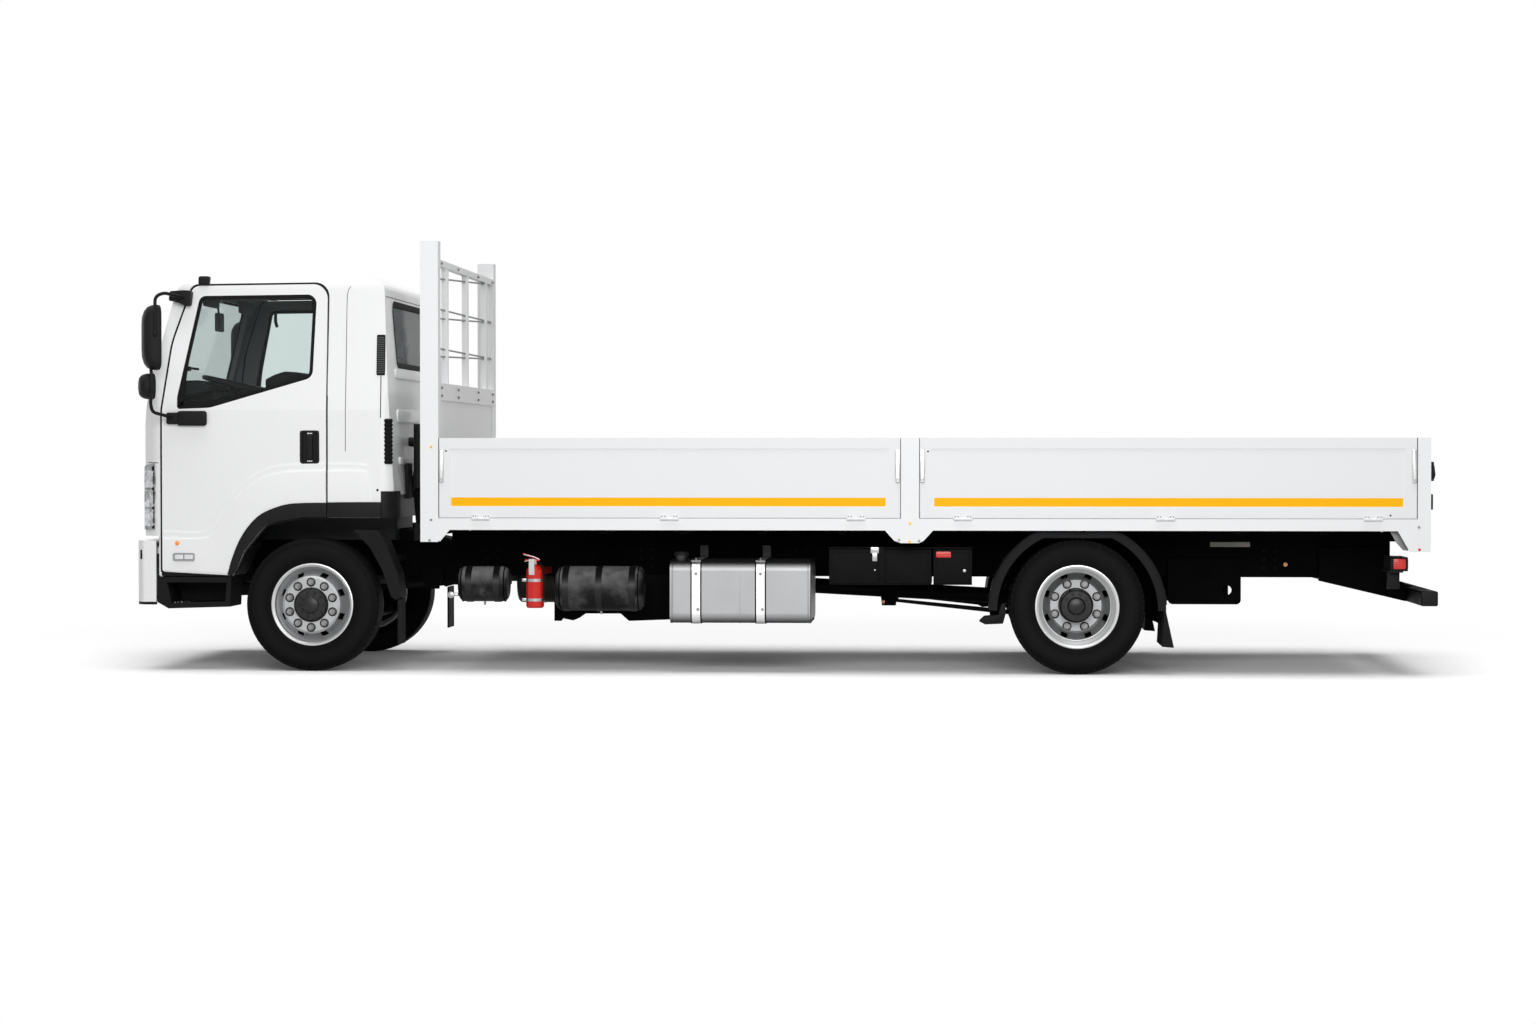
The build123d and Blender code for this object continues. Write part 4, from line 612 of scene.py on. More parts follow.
class Shop:
    """The truck's finishes, by the words a maker would use."""

    cab_white = Paint("cab_white", (0.87, 0.873, 0.877), roughness=0.34, coat=0.35,
        lining=(0.3, 0.305, 0.308), dust=0.0)
    body_white = Paint("body_white", (0.85, 0.858, 0.865), roughness=0.4, coat=0.1, specular=0.25, dust=0.02)
    panel_white = Paint("panel_white", (0.82, 0.83, 0.84), roughness=0.45, coat=0.0, specular=0.12,
        band=(1.0435, 1.0975), band_ends=((-3.855, -0.986), (-0.686, 2.023)))
    # the grey on the air tanks' upward faces is a painted highlight of their tops
    tank_black = Coated("tank_black", (0.0055, 0.0055, 0.0058), roughness=0.42, dust=0.6, specular=0.12,
        dust_colour=(0.34, 0.34, 0.34))
    tank_red = Paint("tank_red", (0.62, 0.012, 0.006), roughness=0.3, coat=0.25, specular=0.25, dust_top=0.4)
    frame_black = Coated("frame_black", (0.0014, 0.0014, 0.0016), roughness=0.5, dust=0.002, chips=0.02,
        specular=0.02)
    axle_black = Coated("axle_black", (0.0035, 0.0035, 0.0038), roughness=0.5, dust=0.008)
    engine_grey = Coated("engine_grey", (0.06, 0.063, 0.067), roughness=0.55, dust=0.25, specular=0.3)
    subframe_black = Coated("subframe_black", (0.0014, 0.0014, 0.0016), roughness=0.55, dust=0.002,
        specular=0.02)
    exhaust_steel = Bare("exhaust_steel", (0.07, 0.066, 0.06), roughness=0.55, dull=0.6)
    # the tank's top and bottom edges get painted shade outside this unshaded band
    tank_aluminium = Bare("tank_aluminium", (0.29, 0.293, 0.298), roughness=0.45, grain=(1.0, 30.0, 30.0),
        dull=0.12, unshaded_band=(0.335, 0.676))
    strap_steel = Strapping("strap_steel", (0.74, 0.74, 0.75))
    bright_steel = Bare("bright_steel", (0.36, 0.36, 0.36), roughness=0.28, grain=(4.0, 4.0, 1.0), dull=0.1)
    rod_steel = Bare("rod_steel", (0.2, 0.2, 0.2), roughness=0.45, metallic=0.6)
    bolt_zinc = Bare("bolt_zinc", (0.24, 0.24, 0.235), roughness=0.4, grain=(1.0, 1.0, 1.0))
    bolt_gold = Bare("bolt_gold", (0.8, 0.46, 0.06), roughness=0.4, grain=(1.0, 1.0, 1.0), metallic=0.5)
    bolt_copper = Bare("bolt_copper", (0.62, 0.3, 0.14), roughness=0.5, grain=(1.0, 1.0, 1.0), metallic=0.6)
    mirror_silver = Bare("mirror_silver", (0.92, 0.93, 0.94), roughness=0.03, dull=0.0, grain=(1.0, 1.0, 1.0))
    trim_black = Moulded("trim_black", (0.01, 0.01, 0.0105), roughness=0.5)
    step_black = Moulded("step_black", (0.005, 0.005, 0.005), roughness=0.55, grain=180.0)
    locker_black = Moulded("locker_black", (0.0032, 0.0033, 0.0035), roughness=0.55, grain=340.0,
        specular=0.06)
    dash_grey = Moulded("dash_grey", (0.016, 0.0165, 0.017), roughness=0.65, grain=320.0)
    pillar_grey = Moulded("pillar_grey", (0.11, 0.115, 0.118), roughness=0.6, grain=380.0)
    guard_black = Moulded("guard_black", (0.0062, 0.0064, 0.0066), roughness=0.6, scuff=0.4)
    seal_black = Moulded("seal_black", (0.006, 0.006, 0.006), roughness=0.7, grain=500.0)
    lamp_grey = Moulded("lamp_grey", (0.36, 0.36, 0.36), roughness=0.6, grain=500.0)
    # this grey is a real seam on the roof, and painted shade in the board gaps and in the quarter's pressed
    # line
    seam_and_shade_grey = Moulded("seam_and_shade_grey", (0.12, 0.12, 0.12), roughness=0.7, grain=500.0)
    flap_rubber = Moulded("flap_rubber", (0.008, 0.008, 0.008), roughness=0.75, grain=120.0)
    plate_white = Moulded("plate_white", (0.62, 0.62, 0.6), roughness=0.5, grain=900.0, depth=0.00005)
    label_grey = Moulded("label_grey", (0.42, 0.4, 0.36), roughness=0.5, grain=900.0, depth=0.00005)
    tyre_rubber = Tread("tyre_rubber", (0.0032, 0.0032, 0.0033))
    wheel_silver = Bare("wheel_silver", (0.4, 0.405, 0.41), roughness=0.42, dull=0.25, grain=(1.0, 1.0, 1.0),
        metallic=0.75)
    lamp_body = Bare("lamp_body", (0.34, 0.345, 0.35), roughness=0.22, dull=0.8, grain=(1.0, 1.0, 1.0),
        stain=14.0, deep=0.3)
    facet = Bare("facet", (0.72, 0.73, 0.74), roughness=0.14, dull=0.9, grain=(1.0, 1.0, 1.0), stain=17.0,
        deep=0.12)
    rim_bright = Bare("rim_bright", (0.52, 0.52, 0.52), roughness=0.3, grain=(3.0, 3.0, 3.0), dull=0.1)
    hub_black = Coated("hub_black", (0.004, 0.004, 0.0045), roughness=0.34, dust=0.01, specular=0.34)
    side_glass = Glazing("side_glass", (0.52, 0.74, 0.7))
    lamp_glass = Glazing("lamp_glass", (0.95, 0.97, 0.98), clear=0.86, sheen=0.35)
    lamp_clear = Lens("lamp_clear", (0.66, 0.68, 0.69))
    lamp_red = Lens("lamp_red", (0.6, 0.01, 0.005), ribs=0.012, roughness=0.3, coat=0.2)
    lamp_amber = Lens("lamp_amber", (0.9, 0.26, 0.01))
    seat_cloth = Cloth("seat_cloth", (0.03, 0.031, 0.034))
    deck_board = Decking("deck_board", (0.13, 0.12, 0.11))


# Mesh making


def rounded(points: Sequence[Flat], radii: float | Sequence[float], steps: int = 6) -> list[Flat]:
    """An outline with its corners rounded.

    Args:
        points: the corners in order.
        radii: one radius, or one for each corner.
        steps: how many points each corner's arc gets.

    Returns:
        The outline's points.
    """
    if isinstance(radii, (int, float)):
        radii = [float(radii)] * len(points)
    out: list[Flat] = []
    for i, radius in enumerate(radii):
        here = Vector(points[i])
        back = Vector(points[i - 1]) - here
        on = Vector(points[(i + 1) % len(points)]) - here
        if radius <= 0:
            out.append(tuple(here))
            continue
        half = back.angle(on) / 2
        run = min(radius / math.tan(half), back.length * 0.49, on.length * 0.49)
        first, last = here + back.normalized() * run, here + on.normalized() * run
        centre = here + (back.normalized() + on.normalized()).normalized() * (run / math.cos(half))
        a, b = first - centre, last - centre
        sweep = a.angle_signed(b)
        for k in range(steps + 1):
            turn = Matrix.Rotation(-sweep * k / steps, 2)
            out.append(tuple(centre + turn @ a))
    return out


def grown(points: Sequence[Flat], amount: float | Lift) -> list[Flat]:
    """An outline moved outwards, or inwards by a negative amount, whichever way it runs.

    Args:
        points: its points in order.
        amount: how far, or a function that says how far at each point.

    Returns:
        The moved points.
    """
    area = sum(a[0] * b[1] - b[0] * a[1] for a, b in zip(points, [*points[1:], points[0]]))
    side = 1.0 if area > 0 else -1.0
    out = []
    for i, here in enumerate(points):
        before, after = Vector(points[i - 1]), Vector(points[(i + 1) % len(points)])
        a = (Vector(here) - before).normalized()
        b = (after - Vector(here)).normalized()
        na, nb = Vector((a.y, -a.x)) * side, Vector((b.y, -b.x)) * side
        bisector = na + nb
        scale = 2.0 / max(bisector.length_squared, 0.4)
        reach = amount(*here) if callable(amount) else amount
        out.append(tuple(Vector(here) + bisector * (reach * scale)))
    return out


def flowing(points: Sequence[Flat], steps: int = 5) -> list[Flat]:
    """More points along a line, on a smooth curve through those given.

    Args:
        points: the points that the line passes through.
        steps: the steps of each stretch.

    Returns:
        The line's points.
    """
    held = [Vector(p) for p in points]
    slopes = []
    for i, here in enumerate(held):
        back, on = held[max(i - 1, 0)], held[min(i + 1, len(held) - 1)]
        slopes.append((on - back) / max((here - back).length + (on - here).length, 1e-9))
    out = [tuple(points[0])]
    for (a, u), (b, v) in zip(zip(held, slopes), zip(held[1:], slopes[1:])):
        run = (b - a).length
        for k in range(1, steps + 1):
            t = k / steps
            out.append(tuple(a * (2 * t ** 3 - 3 * t ** 2 + 1) + u * (run * (t ** 3 - 2 * t ** 2 + t)) + b
                * (3 * t ** 2 - 2 * t ** 3) + v * (run * (t ** 3 - t ** 2))))
    return out


def bent(points: Sequence[Point], radius: float, steps: int = 5) -> list[Point]:
    """A path in space whose corners are bent round, as a tube is.

    Args:
        points: the path's corners.
        radius: the bends' radius.
        steps: the steps of a bend.

    Returns:
        The path's points.
    """
    out = [tuple(points[0])]
    for before, here, after in zip(points, points[1:], points[2:]):
        a, b, c = Vector(before), Vector(here), Vector(after)
        run = min(radius, (a - b).length * 0.48, (c - b).length * 0.48)
        first, last = b + (a - b).normalized() * run, b + (c - b).normalized() * run
        for k in range(steps + 1):
            t = k / steps
            out.append(tuple(first.lerp(b, t).lerp(b.lerp(last, t), t)))
    return [*out, tuple(points[-1])]


@dataclass(frozen=True)
class View:
    """A drawing board set in space: flat points lie on it, and depth comes towards the viewer."""

    right: Point
    up: Point
    toward: Point

    def at(self, a: float, b: float, depth: float) -> Vector:
        """The place of a flat point at a depth."""
        return Vector(self.right) * a + Vector(self.up) * b + Vector(self.toward) * depth


HALF_TURN = math.sqrt(0.5)
SIDE_VIEW = View((1.0, 0.0, 0.0), (0.0, 0.0, 1.0), (0.0, 1.0, 0.0))
FRONT_VIEW = View((0.0, 1.0, 0.0), (0.0, 0.0, 1.0), (1.0, 0.0, 0.0))
BACK_VIEW = View((0.0, 1.0, 0.0), (0.0, 0.0, 1.0), (-1.0, 0.0, 0.0))
TOP_VIEW = View((1.0, 0.0, 0.0), (0.0, 1.0, 0.0), (0.0, 0.0, 1.0))
CORNER_VIEW = View((-HALF_TURN, HALF_TURN, 0.0), (0.0, 0.0, 1.0), (HALF_TURN, HALF_TURN, 0.0))


class Skin:
    """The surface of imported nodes, which details lie on."""

    def __init__(self, nodes: Iterable[bpy.types.Object]) -> None:
        """Reads the surface.

        Args:
            nodes: the nodes' objects.
        """
        joined = bmesh.new()
        for node in nodes:
            joined.from_mesh(node.data)
        self.tree = BVHTree.FromBMesh(joined)
        joined.free()

    def under(self, view: View, spare: float) -> Lift:
        """How deep the surface lies under each flat point of a view.

        Args:
            view: the drawing board.
            spare: the depth to use where the view's ray meets nothing.

        Returns:
            A function of the flat point.
        """
        toward = Vector(view.toward)

        def depth(a: float, b: float) -> float:
            """The surface's depth under one point."""
            hit = self.tree.ray_cast(view.at(a, b, 9.0), -toward)[0]
            return spare if hit is None else hit.dot(toward)

        return depth


class Form:
    """A mesh under construction."""

    def __init__(self) -> None:
        """Starts empty."""
        self.bm = bmesh.new()

    def _take(self, part: bmesh.types.BMesh, bevel: float = 0.0, segments: int = 2,
            angle: float = 30.0) -> "Form":
        """Adds one shape, its sharp edges bevelled first.

        Args:
            part: the mesh to take in.
            bevel: the bevel's width.
            segments: the bevel's segments.
            angle: the angle from which an edge is beveled.

        Returns:
            The form.
        """
        bmesh.ops.remove_doubles(part, verts=part.verts, dist=1e-6)
        bmesh.ops.recalc_face_normals(part, faces=part.faces)
        if bevel > 0:
            sharp = [e for e in part.edges if len(e.link_faces) == 2 and e.calc_face_angle(
                0.0) > math.radians(angle)]
            bmesh.ops.bevel(part, geom=sharp, offset=bevel, segments=segments, profile=0.6, affect="EDGES",
                clamp_overlap=True)
        mesh = bpy.data.meshes.new("part")
        part.to_mesh(mesh)
        part.free()
        self.bm.from_mesh(mesh)
        bpy.data.meshes.remove(mesh)
        return self

    def block(self, low: Point, high: Point, bevel: float = 0.002, segments: int = 2) -> "Form":
        """Adds a box between two corners.

        Args:
            low: its low corner.
            high: its high corner.
            bevel: the bevel's width.
            segments: the bevel's segments.

        Returns:
            The form.
        """
        part = bmesh.new()
        size, centre = Vector(high) - Vector(low), (Vector(high) + Vector(low)) / 2
        size = Vector(abs(v) for v in size)
        bmesh.ops.create_cube(part, size=1.0, matrix=Matrix.Translation(centre) @ Matrix.Diagonal((*size,
            1.0)))
        return self._take(part, bevel, segments)

    def slab(self, outline: Sequence[Flat], low: float, high: float, bevel: float = 0.0,
            lift: Lift | None = None, view: View = SIDE_VIEW, rings: int = 0) -> "Form":
        """Adds an outline carried from one depth to another.

        Args:
            outline: its points in order.
            low: the first depth.
            high: the last depth.
            bevel: the width of its edge bevel.
            lift: the depth of the surface that it lies on, added at each point.
            view: the drawing board that it lies on.
            rings: how many rings of points its faces get inside the outline, so that they follow the surface.

        Returns:
            This form.
        """
        part = bmesh.new()
        over = lift or (lambda a, b: 0.0)
        count = len(outline)
        middle = (sum(p[0] for p in outline) / count, sum(p[1] for p in outline) / count)
        edges = []
        for depth in (low, high):
            rows = []
            for k in range(rings + 1):
                keep = 1 - k / (rings + 1)
                flat = [(middle[0] + (a - middle[0]) * keep, middle[1] + (b - middle[1]) * keep) for a,
                    b in outline]
                rows.append([part.verts.new(view.at(a, b, depth + over(a, b))) for a, b in flat])
            for outer, inner in zip(rows, rows[1:]):
                for i in range(count):
                    j = (i + 1) % count
                    part.faces.new((outer[i], outer[j], inner[j], inner[i]))
            if rings:
                hub = part.verts.new(view.at(*middle, depth + over(*middle)))
                for i in range(count):
                    part.faces.new((rows[-1][i], rows[-1][(i + 1) % count], hub))
            else:
                part.faces.new(rows[0])
            edges.append(rows[0])
        for i in range(count):
            j = (i + 1) % count
            part.faces.new((edges[0][i], edges[0][j], edges[1][j], edges[1][i]))
        return self._take(part, bevel)

    def hoop(self, outer: Sequence[Flat], inner: Sequence[Flat], low: float, high: float, bevel: float = 0.0,
            lift: Lift | None = None, closed: bool = True, view: View = SIDE_VIEW) -> "Form":
        """Adds a band between two outlines with as many points each.

        Args:
            outer: the outer line.
            inner: the inner line.
            low: the depth that it starts at.
            high: how far it stands out.
            bevel: the bevel's width.
            lift: the surface under it.
            closed: whether its ends meet.
            view: the board that it is drawn on.

        Returns:
            The form.
        """
        over = lift or (lambda a, b: 0.0)
        rings = []
        for a, b in zip(outer, inner):
            up, down = over(*a), over(*b)
            rings.append([view.at(*a, low + up), view.at(*a, high + up), view.at(*b, high + down),
                view.at(*b, low + down)])
        return self.sweep(rings, closed, bevel)

    def sweep(self, rings: Sequence[Sequence[Point]], closed: bool = False, bevel: float = 0.0) -> "Form":
        """Adds a form through sections with as many points each.

        Args:
            rings: the sections in order.
            closed: whether the last joins the first. The ends are capped otherwise.
            bevel: the width of its edge bevel.

        Returns:
            This form.
        """
        part = bmesh.new()
        rows = [[part.verts.new(p) for p in ring] for ring in rings]
        self._join(part, rows, closed)
        if not closed:
            part.faces.new(rows[0])
            part.faces.new(rows[-1][::-1])
        return self._take(part, bevel)

    @staticmethod
    def _join(part: bmesh.types.BMesh, rows: Sequence[Sequence[bmesh.types.BMVert]], closed: bool) -> None:
        """Joins rings of points with faces, and the last to the first if the form is closed.

        Args:
            part: the mesh to add to.
            rows: the rings in order.
            closed: whether the last ring meets the first.
        """
        for a, b in zip(rows, [*rows[1:], rows[0]] if closed else rows[1:]):
            for k in range(len(a)):
                j = (k + 1) % len(a)
                part.faces.new((a[k], a[j], b[j], b[k]))

    def stack(self, outline: Sequence[Flat], levels: Sequence[tuple[float, float]], view: View = TOP_VIEW,
            middle: Flat | None = None) -> "Form":
        """Adds one outline at several depths, scaled about its middle at each.

        Args:
            outline: its points in order.
            levels: (depth, scale) pairs in order.
            view: the drawing board that it lies on.
            middle: the point that it shrinks towards.

        Returns:
            This form.
        """
        ca, cb = middle or (sum(p[0] for p in outline) / len(outline), sum(p[1] for p in outline)
            / len(outline))
        return self.sweep([[view.at(ca + (a - ca) * s, cb + (b - cb) * s, depth) for a, b in outline]
            for depth, s in levels])

    def fixings(self, places: Sequence[Point], outward: Point, size: Point,
            unit: "Unit | None" = None) -> "Form":
        """Adds bolts, rivets or bars at places, all facing one way.

        Args:
            places: where they stand.
            outward: the way that they face.
            size: the size of one.
            unit: which detail it is.

        Returns:
            The form.
        """
        laid = Repeat(unit or Unit.NUT, Layout.PLACES, len(places), size, places=tuple(places),
            outward=outward)
        return self.mesh_in(laid.mesh(Shop.bolt_zinc), Matrix.Identity(4))

    def lathe(self, profile: Sequence[Flat], centre: Point, axis: str = "Y", segments: int = 48,
            closed: bool = True) -> "Form":
        """Adds a turned shape.

        Args:
            profile: (radius, along) points.
            centre: the place on the axis from which along counts.
            axis: the axis that it turns about.
            segments: how many steps round.
            closed: whether the profile's ends join.

        Returns:
            This form.
        """
        part = bmesh.new()
        rings = []
        for radius, along in profile:
            ring = []
            for k in range(segments):
                a = 2 * math.pi * k / segments
                c, s = radius * math.cos(a), radius * math.sin(a)
                local = {"X": (along, c, s), "Y": (c, along, s), "Z": (c, s, along)}[axis]
                ring.append(part.verts.new(Vector(centre) + Vector(local)))
            rings.append(ring)
        self._join(part, rings, closed)
        bmesh.ops.remove_doubles(part, verts=part.verts, dist=1e-6)
        loose = [f for f in part.faces if f.calc_area() < 1e-12]
        bmesh.ops.delete(part, geom=loose, context="FACES")
        return self._take(part)

    def tube(self, path: Sequence[Point], radius: float, segments: int = 10) -> "Form":
        """Adds a round bar along points, capped at its ends.

        Args:
            path: its points in order.
            radius: its radius.
            segments: its sides.

        Returns:
            The form.
        """
        part = bmesh.new()
        points = [Vector(p) for p in path]
        rings = []
        across: Vector | None = None
        for i, here in enumerate(points):
            ahead = (points[min(i + 1, len(points) - 1)] - points[max(i - 1, 0)]).normalized()
            if across is None:
                across = ahead.orthogonal().normalized()
            across = (across - ahead * across.dot(ahead)).normalized()
            other = ahead.cross(across)
            ring = []
            for k in range(segments):
                a = 2 * math.pi * k / segments
                ring.append(part.verts.new(here + across * radius * math.cos(a) + other * radius
                    * math.sin(a)))
            rings.append(ring)
        self._join(part, rings, False)
        part.faces.new(rings[0][::-1])
        part.faces.new(rings[-1])
        return self._take(part)

    def mesh_in(self, mesh: bpy.types.Mesh, place: Matrix) -> "Form":
        """Adds a finished mesh at a place and removes it.

        Args:
            mesh: the mesh to add.
            place: the frame that it is laid in.

        Returns:
            The form.
        """
        mesh.transform(place)
        self.bm.from_mesh(mesh)
        bpy.data.meshes.remove(mesh)
        return self

    def other_side(self) -> "Form":
        """The same form on the truck's right."""
        twin = Form()
        mesh = bpy.data.meshes.new("twin")
        self.bm.to_mesh(mesh)
        twin.bm.from_mesh(mesh)
        bpy.data.meshes.remove(mesh)
        bmesh.ops.scale(twin.bm, vec=(1.0, -1.0, 1.0), verts=twin.bm.verts)
        bmesh.ops.reverse_faces(twin.bm, faces=twin.bm.faces)
        return twin

    def piece(self, name: str, body: str, finish: Finish, slot: str, sharp: float = 35.0) -> bpy.types.Object:
        """Makes the object, dresses it and sets it on its body.

        Args:
            name: the piece's name.
            body: the body that it moves with.
            finish: its finish.
            slot: not used.
            sharp: the angle above which an edge stays sharp.

        Returns:
            The object.
        """
        bmesh.ops.recalc_face_normals(self.bm, faces=self.bm.faces)
        mesh = bpy.data.meshes.new(name)
        self.bm.to_mesh(mesh)
        self.bm.free()
        mesh.polygons.foreach_set("use_smooth", [True] * len(mesh.polygons))
        mesh.set_sharp_from_angle(angle=math.radians(sharp))
        mesh.materials.append(finish.material())
        made = bpy.data.objects.new(name, mesh)
        bpy.context.scene.collection.objects.link(made)
        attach(made, body)
        LOG.info("piece %s on %s, %d faces", name, body, len(mesh.polygons))
        return made


class Side(Enum):
    """A side of the truck."""

    LEFT = "left"
    RIGHT = "right"

    def of(self, form: Form) -> Form:
        """A left-hand form, turned to this side."""
        return form if self is Side.LEFT else form.other_side()


class Unit(Enum):
    """What a repeat lays down."""

    NUT = "nut"
    RIVET = "rivet"
    BAR = "bar"


class Layout(Enum):
    """How a repeat is laid out."""

    RING = "ring"
    PLACES = "places"


@dataclass(frozen=True)
class Repeat:
    """A detail laid down many times by a Geometry Nodes tree, in its own frame with Z outwards."""

    unit: Unit
    layout: Layout
    count: int
    size: Point
    radius: float = 0.0
    start: float = 0.0
    places: tuple[Point, ...] = ()
    outward: Point = (0.0, 0.0, 1.0)

    def _unit(self, g: Graph, size: Wire) -> Wire:
        """Builds one unit on the origin, as large as the tree's Size input says.

        Args:
            g: the tree's graph.
            size: the tree's Size input.

        Returns:
            The unit's geometry.
        """
        across, deep, high = g.axes(size)
        if self.unit is Unit.BAR:
            return g.add("GeometryNodeMeshCube", {}, {"Size": size})
        if self.unit is Unit.RIVET:
            ball = g.add("GeometryNodeMeshUVSphere", {}, {"Segments": 10, "Rings": 6, "Radius": 0.5})
            return g.add("GeometryNodeTransform", {}, {"Geometry": ball, "Scale": size})
        join = self.node(g, "GeometryNodeJoinGeometry")
        layers = ((6, 0.5, 1.0, 0.5), (14, 0.62, 0.18, 0.09), (9, 0.27, 1.45, 0.72), (14, 0.56, 0.3, 0.24))
        for sides, wide, tall, middle in layers:
            drum = g.add("GeometryNodeMeshCylinder", {}, {"Vertices": sides, "Radius": across * wide,
                "Depth": high * tall})
            rise = g.add("ShaderNodeCombineXYZ", {}, {2: high * middle})
            moved = g.add("GeometryNodeTransform", {}, {"Geometry": drum, "Translation": rise})
            g.tree.links.new(moved.socket, join.inputs[0])
        return Wire(g, join.outputs[0])

    @staticmethod
    def node(g: Graph, kind: str) -> bpy.types.Node:
        """A bare node, for one that takes many links."""
        return g.tree.nodes.new(kind)

    def mesh(self, finish: Finish) -> bpy.types.Mesh:
        """Runs the tree, which sets a finish, and hands back a plain mesh.

        Args:
            finish: the finish that the tree sets.

        Returns:
            The mesh.
        """
        tree = bpy.data.node_groups.new(f"repeat_{self.unit.value}_{self.layout.value}", "GeometryNodeTree")
        tree.interface.new_socket("Points", in_out="INPUT", socket_type="NodeSocketGeometry")
        sockets = {}
        for name, kind, value in (
                ("Count", "NodeSocketInt", self.count),
                ("Radius", "NodeSocketFloat", self.radius),
                ("Size", "NodeSocketVector", self.size),
                ("Start", "NodeSocketFloat", self.start),
                ("Turn", "NodeSocketRotation", tuple(facing((0, 0, 0), self.outward).to_euler()))):
            sockets[name] = (tree.interface.new_socket(name, in_out="INPUT", socket_type=kind).identifier,
                value)
        tree.interface.new_socket("Geometry", in_out="OUTPUT", socket_type="NodeSocketGeometry")
        g = Graph(tree)
        given = self.node(g, "NodeGroupInput")
        wires = {name: Wire(g, given.outputs[name]) for name in sockets}
        if self.layout is Layout.RING:
            line = g.add("GeometryNodeMeshCircle", {}, {"Vertices": wires["Count"],
                "Radius": wires["Radius"]})
            turn = g.add("ShaderNodeCombineXYZ", {}, {2: wires["Start"]})
            line = g.add("GeometryNodeTransform", {}, {"Geometry": line, "Rotation": turn})
            x, y, _ = g.axes(g.add("GeometryNodeInputPosition"))
            angle = g.add("ShaderNodeMath", {"operation": "ARCTAN2"}, {0: y, 1: x})
            turn = g.add("ShaderNodeCombineXYZ", {}, {2: angle})
        else:
            line, turn = Wire(g, given.outputs["Points"]), wires["Turn"]
        laid = g.add("GeometryNodeInstanceOnPoints", {}, {"Points": line,
            "Instance": self._unit(g, wires["Size"]), "Rotation": turn})
        real = g.add("GeometryNodeRealizeInstances", {}, {"Geometry": laid})
        dressed = g.add("GeometryNodeSetMaterial", {}, {"Geometry": real, "Material": finish.material()})
        g.add("NodeGroupOutput", {}, {"Geometry": dressed})
        points = bpy.data.meshes.new("repeat")
        points.from_pydata(list(self.places), [], [])
        base = bpy.data.objects.new("repeat", points)
        bpy.context.scene.collection.objects.link(base)
        modifier = base.modifiers.new("repeat", "NODES")
        modifier.node_group = tree
        for identifier, value in sockets.values():
            modifier[identifier] = value
        graph = bpy.context.evaluated_depsgraph_get()
        made = bpy.data.meshes.new_from_object(base.evaluated_get(graph))
        bpy.data.objects.remove(base)
        bpy.data.node_groups.remove(tree)
        return made


def facing(place: Point, outward: Point, up: Point = (0.0, 0.0, 1.0)) -> Matrix:
    """A frame at a place whose Z points outwards and whose Y points as near up as it can.

    Args:
        place: where it stands.
        outward: the way that Z points.
        up: the way that Y leans.

    Returns:
        The frame.
    """
    z = Vector(outward).normalized()
    x = Vector(up).cross(z)
    x = x.normalized() if x.length > 1e-6 else z.orthogonal().normalized()
    y = z.cross(x)
    turn = Matrix((x, y, z)).transposed().to_4x4()
    return Matrix.Translation(place) @ turn


# Studio


